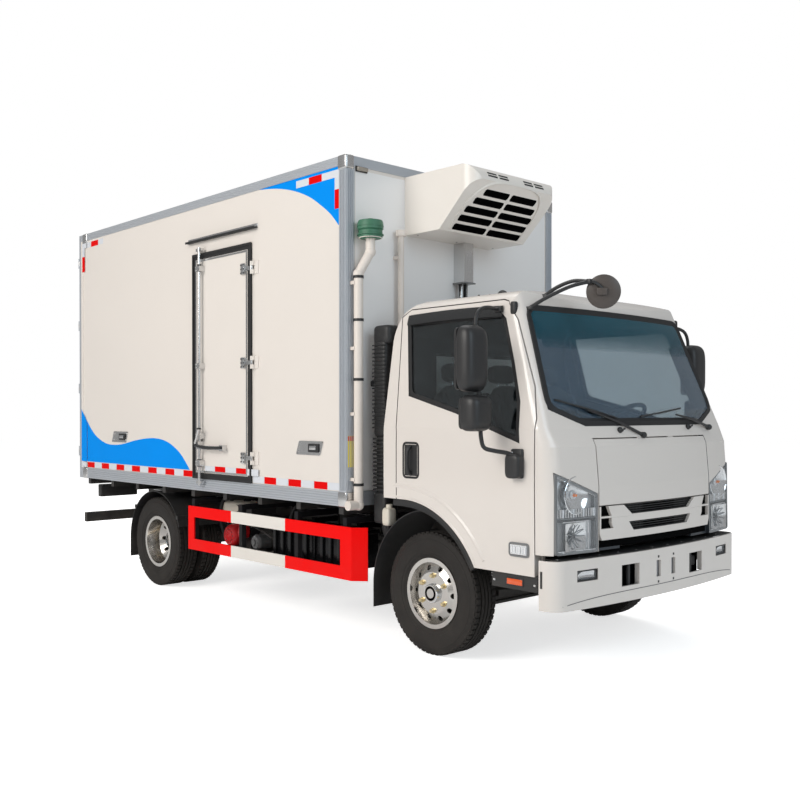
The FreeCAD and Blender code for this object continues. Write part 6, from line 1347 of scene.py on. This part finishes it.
def makeRearLamps():
    y0, y1, z0, z1, x = bumper["rearLamp"]
    parts = [(*boxPart((x + 0.012, -y1, z0), (x + 0.078, -y0, z1), 0.008, 3), "blackPlastic"),
        (*boxPart((x + 0.04, -y1 + 0.06, z1 - 0.01), (x + 0.07, -y0 - 0.06, z1 + 0.0), 0.003), "frameBlack")]
    wide = (y1 - y0 - 0.02) / 3
    for k, finish in enumerate(("redLens", "amberLens", "whiteLens")):
        a0 = -y1 + 0.012 + k * wide
        parts.append((*sheetPart(gridRows(a0, a0 + wide - 0.006, z0 + 0.012, z1 - 0.012, 9, 7), "X", lambda a,
            b, a0=a0: x + 0.001 + 0.008 * (((a - a0 - wide / 2) / (wide / 2)) ** 4 + ((b - 0.76) / 0.05) ** 4)
            ** 0.9, -0.02), finish))
        for j in range(5):
            z = z0 + 0.028 + j * 0.016
            parts.append((*boxPart((x + 0.0005, a0 + 0.014, z),
                (x + 0.004, a0 + wide - 0.02, z + 0.003), 0.0008, 1), finish))
    right = bothSides("rearLamp", parts, "blackPlastic", slot="lamp_lens")[0]
    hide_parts("body_lamps")


makeBumper()
makeRearLamps()
print("bumper and rear lamps dressed")

# wheels: tyres with ribs, shoulder blocks and raised rings, nuts and hub covers

tyre = {"centre": 0.3875, "radius": 0.3875, "bead": 0.2225, "half": 0.103, "tread": 0.0825, "blocks": 60,
    "grooves": (-0.045, -0.015, 0.015, 0.045)}
wheelSets = {"front": (1.84, (0.865,), ("front_wheel_right", "front_wheel_left"), 0.936, 0.962),
    "rear": (-1.52, (0.915, 0.675), ("rear_wheels_right", "rear_wheels_left"), 0.807, 0.885)}


def tyreProfile(y):
    half, tread, top, bead = tyre["half"], tyre["tread"], tyre["radius"], tyre["bead"]
    base = top - 0.0085
    wall = ((0.074, 0), (0.082, 0.004), (0.086, 0.016), (0.0875, 0.018), (0.0895, 0.022), (0.092, 0.024),
        (0.0955, 0.04), (0.0975, 0.041), (0.099, 0.046), (0.0985, 0.05), (0.1015, 0.068), (half, 0.084),
        (half, 0.096), (0.1012, 0.112), (0.102, 0.114), (0.1008, 0.119), (0.0985, 0.121))
    outer = [(a, bead + rise) for a, rise in wall] + [(0.0945, base - 0.02), (0.0935, base - 0.018),
        (0.09, base - 0.006), (tread + 0.002, base)]
    line = [(-a, r) for a, r in outer]
    for groove in tyre["grooves"]:
        line += [(groove - 0.0045, top - (0.0005 if abs(groove) < 0.03 else 0.0085)),
            (groove - 0.003, top - 0.012), (groove + 0.003, top - 0.012),
            (groove + 0.0045, top - (0.0005 if groove < 0.03 else 0.0085))]
    line[len(outer) + 3] = (tyre["grooves"][0] + 0.0045, top - 0.0005)
    line[len(outer) + 12] = (tyre["grooves"][3] - 0.0045, top - 0.0005)
    line += [(a, r) for a, r in reversed(outer)]
    return [(a + y, r) for a, r in line]


def makeWheels():
    for label, (x, middles, bodies, nutFace, hubFace) in wheelSets.items():
        for sign, body in ((-1, bodies[0]), (1, bodies[1])):
            hand = "Right" if sign < 0 else "Left"
            centre = (x, 0, tyre["centre"])
            made = []
            for rank, middle in enumerate(middles):
                y = sign * middle
                walls = makePiece(f"tyre{label}{hand}{rank}", [lathePart(tyreProfile(y), centre, "Y", 96)],
                    "tyreRubber", body, slot="tyre_rubber", smooth=24)
                top = tyre["centre"] + tyre["radius"]
                blocks = []
                for side in (1, -1):
                    a, b = sorted((y + side * 0.051, y + side * 0.0835))
                    blocks.append(boxPart((x - 0.0145, a, top - 0.013),
                        (x + 0.0145, b, top - 0.0008), 0.0016, 1))
                    a, b = sorted((y + side * 0.084, y + side * 0.0925))
                    blocks.append(boxPart((x - 0.011, a, top - 0.032),
                        (x + 0.011, b, top - 0.0115), 0.0012, 1))
                lugs = roundAxle(f"lugs{label}{hand}{rank}", blocks, "tyreRubber", body, tyre["blocks"],
                    centre, slot="tyre_rubber")
                made += [walls, lugs]
            piece = joined(f"{label}Tyres{hand}", made)
            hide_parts(f"{label}_tyre{'s' if label == 'rear' else ''}_{hand.lower()}")
            face, hub = sign * nutFace, sign * hubFace
            low = tyre["centre"] + 0.111
            nut = [lathePart(profileFrom(face, sign, (-0.004, 0), (-0.004, 0.019), (0.003, 0.019),
                (0.004, 0.0145), (0.02, 0.0135), (0.024, 0.01), (0.024, 0)), (x, 0, low), "Y", 6)]
            roundAxle(f"{label}Nuts{hand}", nut, "brass", body, 6, centre, slot="wheel_polished")
            cup = 0.058 if label == "front" else 0.075
            rings = [(*lathePart(profileFrom(hub, sign, (0, cup * 0.52), (0, cup * 0.8), (-0.004, cup),
                (-0.03, cup + 0.003), (-0.03, cup * 0.5), (-0.006, cup * 0.46)), centre, "Y", 40),
                "reflector"), (*lathePart(profileFrom(hub, sign, (-0.01, 0), (-0.01, cup * 0.5),
                (-0.014, cup * 0.5), (-0.014, 0)), centre, "Y", 32), "blackPlastic"),
                (*lathePart(profileFrom(hub, sign, (-0.003, 0), (-0.004, cup * 0.26), (-0.012, cup * 0.26),
                (-0.012, 0)), centre, "Y", 24), "hubBlue")]
            makePiece(f"{label}Hub{hand}", rings, "reflector", body, slot="wheel_polished")


makeWheels()
print("wheels dressed")

# cooling unit trim and hoses, and the pipe on the front wall with the sign and markers on that wall

unit = {"middle": -0.11, "lip": ((-0.362, 2.786), (-0.362, 2.92), (-0.33, 3.0), (-0.262, 3.05),
    (-0.15, 3.072), (0.0, 3.078), (0.15, 3.072), (0.262, 3.05), (0.33, 3.0), (0.362, 2.92), (0.362, 2.786)),
    "louvres": ((-0.245, 3.098), (-0.13, 3.098), (0.13, 3.098), (0.245, 3.098)),
    "louvre": (0.094, 0.0115, 0.02), "front": 1.835, "foot": 2.77,
    "mouths": ((0.013, 0.338), (0.013, 0.338), (0.013, 0.333), (0.013, 0.303), (0.013, 0.258))}


def makeCoolingUnit():
    shell = surfaceOf("fridge_unit")
    path = spacedPath([(a + unit["middle"], b) for a, b in easedLine(unit["lip"])], 0.02, False)
    parts = [bandPart(shell, path, -0.007, 0.007, "X", 0.008, 0.004, closed=False)]
    wide, tall, step = unit["louvre"]
    top = laidOn(shell, "X", other=1.8)
    dark = []
    # dark sheets on the louvre slots, each under a proud lip in the unit's white: painted shade in the
    # openings
    for y, z in unit["louvres"]:
        for k in range(2):
            a, b = y + unit["middle"], z + k * step
            dark.append((*sheetPart(gridRows(a - wide / 2, a + wide / 2, b, b + tall, 7, 3), "X", lambda p,
                q: top(p, q) + 0.0008, 0.004), "sealRubber"))
            dark.append((*sheetPart(gridRows(a - wide / 2, a + wide / 2, b + tall, b + tall + 0.003, 7, 2),
                "X", lambda p, q: top(p, q) + 0.003, 0.006), "unitPaint"))
    # near-black sheets in the mouths below the louvres: painted shade
    slope = lambda a, b: unit["front"] - 0.3195 + 0.275 * min(1.0, (b - unit["foot"]) / 0.265)
    for side in (-1, 1):
        for rank, (near, far) in enumerate(unit["mouths"]):
            a0, a1 = sorted((unit["middle"] + side * near, unit["middle"] + side * (far + 0.02 * (side > 0))))
            b0 = unit["foot"] + 0.012 + rank * 0.052
            for drop, cut in ((0.0, 0.006), (0.006, 0.0)):
                dark.append((*sheetPart(gridRows(a0 + cut, a1 - cut, b0 + drop, b0 + 0.036 - drop, 5, 2), "X",
                    lambda p, q: slope(p, q) + 0.0012, 0.002), "deepBlack"))
    for y in (-0.44, 0.0, 0.44):
        dark.append((*lathePart([(2.764, 0), (2.764, 0.007), (2.771, 0.007), (2.771, 0)],
            (1.26, y * 0.9 + unit["middle"], 0), "Z", 10), "stainless"))
    makePiece("unitTrim", parts + dark, "unitPaint", slot="unit_white")
    hoses = []
    for y, bend in ((-0.033, -0.012), (0.017, 0.01)):
        hoses.append((*tubePart([(1.232, y, 2.49), (1.232, y, 2.3), (1.236, y + bend, 2.05), (1.238, y, 1.7),
            (1.236, y, 1.3), (1.25, y, 1.08), (1.27, y - 0.02, 0.98)], 0.0165, 12), "sealRubber"))
    for z in (2.36, 2.1, 1.8, 1.5, 1.2):
        hoses.append((*boxPart((1.18, -0.06, z - 0.008), (1.222, 0.044, z + 0.008), 0.003), "stainless"))
        hoses.append((*boxPart((1.246, -0.058, z - 0.01), (1.257, 0.042, z + 0.01), 0.003), "blackPlastic"))
    hoses.append((*boxPart((1.18, -0.07, 2.47), (1.3, 0.054, 2.482), 0.004), "lampGrey"))
    makePiece("unitHoses", hoses, "sealRubber", slot="black_plastic")


vent = {"pipe": (1.23, -1.03, 0.032), "cap": (1.271, -0.96, 2.69, 2.805, 0.078),
    "clamps": (1.042, 1.745, 2.143, 2.43), "sign": (-1.09, -1.015, 1.157, 1.368),
    "marker": (-1.01, -0.918, 3.152, 3.178)}


def makeVent():
    x, y, radius = vent["pipe"]
    parts = []
    for z in vent["clamps"]:
        parts.append((*lathePart([(z - 0.009, radius - 0.002), (z - 0.009, radius + 0.0035),
            (z + 0.009, radius + 0.0035), (z + 0.009, radius - 0.002)], (x, y, 0), "Z", 28), "mirrorShell"))
        parts.append((*boxPart((x - 0.05, y - 0.008, z - 0.009), (x - radius + 0.002, y + 0.008, z + 0.009),
            0.002), "mirrorShell"))
    cx, cy, low, high, wide = vent["cap"]
    middle = (low + high) / 2
    drum = [(low - 0.004, 0.04), (low, wide - 0.006), (low + 0.006, wide + 0.003),
        (middle - 0.01, wide + 0.003), (middle - 0.006, wide - 0.001), (middle + 0.002, wide + 0.009),
        (high - 0.014, wide + 0.009), (high + 0.002, wide + 0.003), (high + 0.006, 0.03),
        (high + 0.016, 0.022), (high + 0.018, 0.0)]
    parts.append((*lathePart(drum, (cx, cy, 0), "Z", 44), "ventGreen"))
    for z in (low + 0.022, middle + 0.022):
        parts.append((*lathePart([(z - 0.003, wide), (z - 0.003, wide + 0.0115), (z + 0.003, wide + 0.0115),
            (z + 0.003, wide)], (cx, cy, 0), "Z", 44), "ventGreen"))
    makePiece("ventTrim", parts, "pipePaint", slot="pipe_white")
    y0, y1, z0, z1 = vent["sign"]
    sign = [(*platePart(rectangle(y0, y1, z0, z1, 0.006, 2), "X", 1.1855, 1.1875), "plateYellow"),
        (*platePart(rectangle(y0, y1, z1 - 0.034, z1 - 0.003), "X", 1.1874, 1.1882), "plateOrange")]
    makePiece("blankSign", sign, "plateYellow")
    y0, y1, z0, z1 = vent["marker"]
    lampParts = [(*boxPart((1.184, y0, z0), (1.206, y1, z1), 0.006, 3), "markerGrey"),
        (*boxPart((1.18, y0 - 0.006, z0 - 0.006), (1.19, y1 + 0.006, z1 + 0.006), 0.003), "blackPlastic")]
    bothSides("wallMarker", lampParts, "markerGrey", slot="lamp_lens")


makeCoolingUnit()
makeVent()
print("cooling unit and vent dressed")

# wheel arches, steps and the bottle behind the cab

arch = {"path": ((2.236, 0.602), (2.186, 0.678), (2.136, 0.74), (2.077, 0.798), (2.008, 0.85), (1.93, 0.896),
    (1.84, 0.932), (1.74, 0.957), (1.629, 0.968), (1.512, 0.969)), "ring": 0.048, "ridge": 0.085}


def makeArches():
    path = easedLine(arch["path"])
    inner = offsetPath(path, -arch["ring"], False)
    ring = [sheetPart([path, inner], "Y", flatAt(-0.974), -0.012),
        sheetPart([inner, offsetPath(path, -arch["ring"] + 0.008, False)], "Y", flatAt(-0.976), -0.055)]
    bothSides("archLiner", ring, "blackPlastic", "cab", slot="black_plastic")
    door = laidOn(surfaceOf("cab_door_right"), "Y", other=-0.988)
    ridge = []
    for gap, radius, sunk in ((0.012, 0.01, 0.007), (arch["ridge"], 0.024, 0.0185)):
        line = [p for p in offsetPath(path, gap, False) if p[0] > 1.52 and p[1] > 0.612]
        ridge.append(tubePart([(a, door(a, b) + sunk, b) for a, b in line], radius, 10, False))
    bothSides("archRidge", ridge, "cabPaint", "cab_door", slot="cab_white")
    x0, x1, y0, y1 = 2.36, 2.7, -0.97, -0.82
    step = [(*boxPart((2.478, -0.9765, 0.536), (2.592, -0.969, 0.57), 0.003), "orangeLens"),
        (*boxPart((2.47, -0.974, 0.53), (2.6, -0.968, 0.576), 0.003), "mirrorShell"),
        (*boxPart((x0 - 0.004, y0 - 0.004, 0.592), (x1 + 0.004, y0 + 0.016, 0.6045), 0.004), "blackPlastic")]
    for k in range(9):
        x = x0 + 0.025 + k * 0.036
        step.append((*boxPart((x, y0 + 0.02, 0.5985), (x + 0.016, y1 - 0.012, 0.6035),
            0.002, 1), "mirrorShell"))
    for x in (x0 + 0.02, x1 - 0.02):
        step.append((*lathePart(stud(-0.976, 0.006, -0.972, 0.009, -0.968), (x, 0, 0.55),
            "Y", 10), "stainless"))
    bothSides("stepTrim", step, "blackPlastic", "cab", slot="black_plastic")
    bottle = [(*shellPart((1.385, -0.965, 0.775), (1.455, -0.885, 0.895), 0.95), "bottleWhite"),
        (*lathePart([(0.88, 0.022), (0.915, 0.022), (0.917, 0.016), (0.917, 0), (0.88, 0)], (1.42, -0.925, 0),
        "Z", 20), "bottleWhite"), (*tubePart([(1.42, -0.925, 0.78), (1.39, -0.915, 0.72), (1.33, -0.86, 0.66),
        (1.27, -0.74, 0.62)], 0.012, 8), "sealRubber")]
    makePiece("coolantBottle", bottle, "bottleWhite")


# running gear and what hangs from the frame on the right side

auxSet = {"starter": (-0.585, -0.84, 0.515, 0.09), "tank": ((-0.85, -0.803, 0.684), (-0.38, -0.557, 0.785)),
    "pump": (-0.25, -0.845, 0.49), "box": (0.13, 0.98, -0.955, -0.62, 0.415, 0.685)}


def makeAuxiliarySet():
    x, y, z, radius = auxSet["starter"]
    parts = [(*lathePart(profileFrom(y, 1, (-0.034, 0), (-0.036, 0.014), (-0.03, 0.02), (-0.03, 0.03),
        (-0.036, 0.034), (-0.036, 0.044), (-0.028, 0.05), (-0.028, 0.058), (-0.034, 0.063), (-0.032, 0.072),
        (-0.018, radius - 0.004), (0, radius + 0.002), (0.075, radius + 0.002), (0.075, 0)), (x, 0, z),
        "Y", 40), "starterRed")]
    for u, w in onCircle(10, 0.053):
        parts.append((*boxPart((x + u - 0.005, y - 0.031, z + w - 0.008),
            (x + u + 0.005, y - 0.026, z + w + 0.008), 0.002, 1), "blackPlastic"))
    parts.append((*shellPart((-0.49, y - 0.01, 0.5), (-0.425, y + 0.08, 0.6), 0.9), "starterRed"))
    parts.append((*lathePart([(y - 0.012, 0), (y - 0.012, 0.03), (y + 0.06, 0.034), (y + 0.06, 0)],
        (-0.455, 0, 0.548), "Y", 24), "starterRed"))
    parts.append((*shellPart(*auxSet["tank"]), "bottleWhite"))
    parts.append((*lathePart([(0.783, 0.03), (0.793, 0.03), (0.797, 0.024), (0.797, 0), (0.777, 0)],
        (-0.6, -0.68, 0), "Z", 24), "blackPlastic"))
    px, py, pz = auxSet["pump"]
    parts.append((*lathePart(profileFrom(py, 1, (0.16, 0), (0.16, 0.058), (0.02, 0.062), (0, 0.05),
        (-0.006, 0.026), (-0.018, 0.022), (-0.018, 0)), (px, 0, pz), "Y", 32), "engineIron"))
    for u, w in onCircle(8, 0.045):
        parts.append((*boxPart((px + u - 0.004, py - 0.005, pz + w - 0.004),
            (px + u + 0.004, py + 0.012, pz + w + 0.004), 0.001, 1), "stainless"))
    for points, radius in ((((-0.4, -0.84, 0.42), (-0.2, -0.86, 0.41), (0.0, -0.85, 0.44), (0.1, -0.8, 0.5)),
            0.008), (((-0.36, -0.8, 0.6), (-0.25, -0.86, 0.62), (-0.12, -0.84, 0.58), (-0.05, -0.76, 0.5)),
            0.009), (((-0.7, -0.88, 0.405), (-0.4, -0.88, 0.4), (-0.08, -0.88, 0.4)), 0.013),
            (((-0.7, -0.6, 0.405), (-0.4, -0.6, 0.4), (-0.08, -0.6, 0.4)), 0.013)):
        parts.append((*tubePart(points, radius, 10), "frameBlack"))
    for x0, y0, z1 in ((-0.8, -0.8, 0.87), (-0.765, -0.74, 0.87), (0.2, -0.82, 0.86), (0.245, -0.78, 0.86)):
        parts.append((*tubePart([(x0 + 0.12, y0 + 0.05, z1), (x0 + 0.03, y0, z1 - 0.08),
            (x0, y0 - 0.01, z1 - 0.22), (x0 + 0.01, y0 + 0.03, z1 - 0.4)], 0.015, 10), "sealRubber"))
    makePiece("auxiliaryTrim", parts, "blackPlastic", slot="auxiliary_dark")
    x0, x1, y0, y1, z0, z1 = auxSet["box"]
    box = [boxPart((x0, y0 + 0.02, z0), (x1, y1, z1), 0.012, 3),
        boxPart((x0 - 0.01, y0 - 0.004, z1 - 0.03), (x1 + 0.01, y1, z1 + 0.004), 0.006, 2)]
    for x in (x0 + 0.16, x1 - 0.16):
        box.append(boxPart((x - 0.02, y1 - 0.06, z1 - 0.006), (x + 0.02, -0.434, z1 + 0.034), 0.003, 1))
        box.append(boxPart((x - 0.02, -0.44, z1 - 0.08), (x + 0.02, -0.4335, z1 + 0.03), 0.001, 1))
    makePiece("toolBox", box, "darkGloss", slot="black_plastic")
    inRow("toolBoxRibs", [boxPart((x0 + 0.02, y0, z0 + 0.015), (x0 + 0.05, y0 + 0.022, z1 - 0.035), 0.005,
        1)], "darkGloss", "chassis", 10, (0.0945, 0, 0), slot="black_plastic")


# pipes along the frame, spring clips, tank cap and straps
def makeRunningGear():
    parts = []
    for s in (1, -1):
        for k, (z, radius) in enumerate(((0.735, 0.006), (0.75, 0.0045), (0.62, 0.009))):
            parts.append((*tubePart([(-2.6, s * 0.442, z), (-1.9, s * 0.444, z + 0.012),
                (-1.0, s * 0.442, z - 0.006), (0.0, s * 0.444, z + 0.008), (0.9, s * 0.442, z)], radius, 8),
                "stainless" if k == 1 else "sealRubber"))
        for x in (-2.4, -1.9, -0.9, -0.3, 0.3, 0.8):
            parts.append((*boxPart((x - 0.012, s * 0.44 - 0.01, 0.6), (x + 0.012, s * 0.44 + 0.01, 0.765),
                0.003, 1), "frameBlack"))
    makePiece("framePipes", parts, "sealRubber", slot="frame_black")
    tank = [(*lathePart([(0.736, 0), (0.736, 0.05), (0.752, 0.05), (0.756, 0.042), (0.775, 0.04),
        (0.78, 0.034), (0.78, 0)], (0.26, 0.8, 0), "Z", 32), "blackPlastic")]
    for x in (-0.22, 0.2):
        outline = rectangle(0.44, 0.987, 0.398, 0.742, 0.062, 6)
        tank.append((*platePart(offsetPath(outline, 0.003), "X", x - 0.018, x + 0.018,
            hole=outline), "stainless"))
    makePiece("tankTrim", tank, "stainless", slot="stainless")
    lid = [(*boxPart((0.612, 0.372, 0.668), (1.048, 0.768, 0.694), 0.008, 2), "mirrorShell")]
    for x in (0.7, 0.96):
        lid.append((*boxPart((x - 0.012, 0.764, 0.6), (x + 0.012, 0.772, 0.69), 0.003, 1), "stainless"))
    makePiece("batteryLid", lid, "mirrorShell", slot="black_plastic")


# upright air duct behind the cab, turned forward at its head, with a bellows at its foot
def makeAirIntake():
    x0, x1, y0, y1 = 1.262, 1.382, -0.93, -0.8
    parts = [boxPart((x0, y0, 1.36), (x1, y1, 2.04), 0.022, 3),
        shellPart((x0 - 0.004, y0 - 0.004, 1.98), (1.418, y1 + 0.004, 2.11), 1.0),
        boxPart((x0, y0, 0.78), (x1, y1, 0.99), 0.02, 3), boxPart((x0 + 0.014, y0 + 0.014, 0.97),
        (x1 - 0.014, y1 - 0.014, 1.38), 0.016, 2), tubePart([(1.322, -0.865, 0.82), (1.322, -0.84, 0.7),
        (1.322, -0.72, 0.672), (1.322, -0.52, 0.672), (1.322, -0.385, 0.672)], 0.032, 16),
        boxPart((x0 - 0.06, y0 + 0.03, 1.7), (x0 + 0.01, y1 - 0.03, 1.74), 0.006, 2)]
    duct = makePiece("airIntakeDuct", parts, "blackPlastic", slot="black_plastic")
    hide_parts("air_intake")
    inRow("airIntakeRibs", [boxPart((x0 - 0.002, y0 - 0.002, 1.0), (x1 + 0.002, y1 + 0.002, 1.014), 0.006,
        2)], "blackPlastic", "chassis", 14, (0, 0, 0.0262), slot="black_plastic")
    inRow("airIntakeVanes", [boxPart((x0 - 0.003, y0 - 0.006, 1.42), (x1 + 0.003, y0 + 0.004, 1.428), 0.002,
        1)], "mirrorShell", "chassis", 22, (0, 0, 0.0262), slot="black_plastic")


makeArches()
makeAirIntake()
makeAuxiliarySet()
makeRunningGear()
print("arches and running gear dressed")

# seats, dashboard and gear lever

seat = {"places": ((0.52, 0.225), (0.03, 0.165), (-0.44, 0.225)), "cushion": (1.705, 2.135, 1.045, 1.215),
    "back": (1.6, 1.735, 1.17, 1.725), "rest": (1.585, 1.69, 1.735, 1.885), "lean": -0.13, "crown": 0.012}


# crowned closed pad, drawn in between its corners, with sewn channels across it
def padPart(low, high, crown, channels=(), steps=22, power=4.0):
    low, high = Vector(low), Vector(high)
    centre, half = (low + high) / 2, (high - low) / 2
    work = dividedCube(steps)
    for v in work.verts:
        p = v.co.copy()
        grow = (abs(p.x) ** power + abs(p.y) ** power + abs(p.z) ** power) ** (-1 / power)
        shape = p * grow
        bulge = (1 - p.y ** 2) * (1 - min(1.0, abs(p.x)) ** 2 * 0.5) * (1 - min(1.0, abs(p.z)) ** 2 * 0.5)
        spot = Vector((shape.x * (half.x - crown), shape.y * (half.y - crown * 0.7 * (1 - abs(p.z))),
            shape.z * (half.z - crown)))
        spot += Vector((shape.x, 0, shape.z)) * crown * bulge
        for axis, at in channels:
            gap = abs(p["XYZ".index(axis)] - at)
            if gap < 0.07:
                spot -= Vector((shape.x, 0, shape.z)).normalized() * 0.007 * (1 - gap / 0.07)
        v.co = centre + spot
    return fromWork(work)


def makeSeats():
    first = None
    x0, x1, z0, z1 = seat["cushion"]
    bx0, bx1, bz0, bz1 = seat["back"]
    rx0, rx1, rz0, rz1 = seat["rest"]
    hinge = Matrix.Translation((1.7, 0, 1.17)) @ Matrix.Rotation(seat["lean"], 4,
        "Y") @ Matrix.Translation((-1.7, 0, -1.17))
    names = ("Driver", "Middle", "Passenger")
    for label, (y, half) in zip(names, seat["places"]):
        pads = {"Cushion": padPart((x0, y - half, z0 + 0.02), (x1, y + half, z1), seat["crown"],
            (("Y", 0.5), ("Y", -0.5), ("X", 0.1))), "Back": turned(padPart((bx0 + 0.02, y - half, bz0),
            (bx1 + 0.01, y + half, bz1), seat["crown"], (("Y", 0.5), ("Y", -0.5), ("Z", 0.2), ("Z", -0.4))),
            hinge), "Rest": turned(padPart((rx0 + 0.02, y - 0.13, rz0), (rx1 + 0.01, y + 0.13, rz1 - 0.01),
            0.008, steps=12), hinge)}
        for part, shape in pads.items():
            pad = makePiece(f"seat{part}{label}", [shape], "seatCloth", "cab", slot="seat_fabric", smooth=60)
            first = first or pad
        bolsters = [turned(padPart((bx0 + 0.03, y + s * (half - 0.012) - 0.028, bz0 + 0.02),
            (bx1 + 0.028, y + s * (half - 0.012) + 0.028, bz1 - 0.06), 0.006, steps=12),
            hinge) for s in (1, -1)]
        stalks = [turned(tubePart([(1.655, y + s * 0.05, 1.7), (1.655, y + s * 0.05, 1.76)], 0.006, 8),
            hinge) for s in (1, -1)]
        base = boxPart((x0 + 0.03, y - half + 0.02, 1.031), (x1 - 0.04, y + half - 0.02, z0 + 0.03), 0.012, 2)
        makePiece(f"seatFrame{label}", painted("seatSide", *bolsters) + painted("stainless",
            *stalks) + [base], "dashPlastic", "cab", slot="interior_plastic")
    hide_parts("seats")


def makeCabInside():
    parts = [(*boxPart((2.4, 0.22, 1.4), (2.52, 0.72, 1.475), 0.02, 3), "dashPlastic"),
        (*boxPart((2.392, 0.3, 1.345), (2.43, 0.64, 1.42), 0.01, 2), "smokedPlastic")]
    for y in (0.37, 0.47, 0.57):
        parts.append((*lathePart(stud(2.389, 0.034, 2.396, 0.037, 2.4), (0, y, 1.385),
            "X", 28), "mirrorShell"))
    for y in (-0.62, -0.3, 0.12, 0.76):
        parts.append((*boxPart((2.418, y - 0.06, 1.28), (2.432, y + 0.06, 1.34), 0.006, 2), "mirrorShell"))
        for k in range(4):
            parts.append((*boxPart((2.412, y - 0.052, 1.288 + k * 0.013),
                (2.42, y + 0.052, 1.291 + k * 0.013), 0.001, 1), "lampGrey"))
    parts.append((*boxPart((2.414, -0.14, 1.15), (2.43, 0.1, 1.26), 0.006, 2), "smokedPlastic"))
    parts.append((*tubePart([(2.16, 0.24, 1.03), (2.15, 0.24, 1.18), (2.12, 0.245, 1.3)],
        0.01, 10), "mirrorShell"))
    parts.append((*shellPart((2.09, 0.22, 1.29), (2.15, 0.27, 1.345), 0.9), "mirrorShell"))
    parts.append((*boxPart((2.47, 0.05, 1.418), (2.6, 0.26, 1.4215), 0.001, 1), "bottleWhite"))
    for y in (0.47, -0.47):
        parts.append((*boxPart((2.3, y - 0.22, 2.1), (2.44, y + 0.22, 2.116), 0.007, 2), "lampGrey"))
    makePiece("cabInside", parts, "dashPlastic", "cab", slot="interior_plastic")


# rubber round each leaf and bolts on the hinge straps
def makeRearDoors():
    for sign, hand in ((-1, "right"), (1, "left")):
        a, b = sorted((sign * 0.012, sign * 1.004))
        outer, inner = rectangle(a, b, 1.008, 3.168), rectangle(a + 0.02, b - 0.02, 1.028, 3.148)
        parts = [(*platePart(outer, "X", -2.8705, -2.866, hole=inner), "sealRubber")]
        for z in (1.15, 1.759, 2.371, 2.98):
            for dy in (0.0, 0.045, 0.09):
                y = sign * (0.86 + dy)
                parts.append((*lathePart(stud(-2.8795, 0.005, -2.8755, 0.0075, -2.866), (0, y, z),
                    "X", 10), "stainless"))
        makePiece(f"rearDoorTrim_{hand}", parts, "sealRubber", f"rear_door_{hand}", slot="seal_rubber")


makeSeats()
makeCabInside()
makeRearDoors()
print("interior and rear doors dressed")
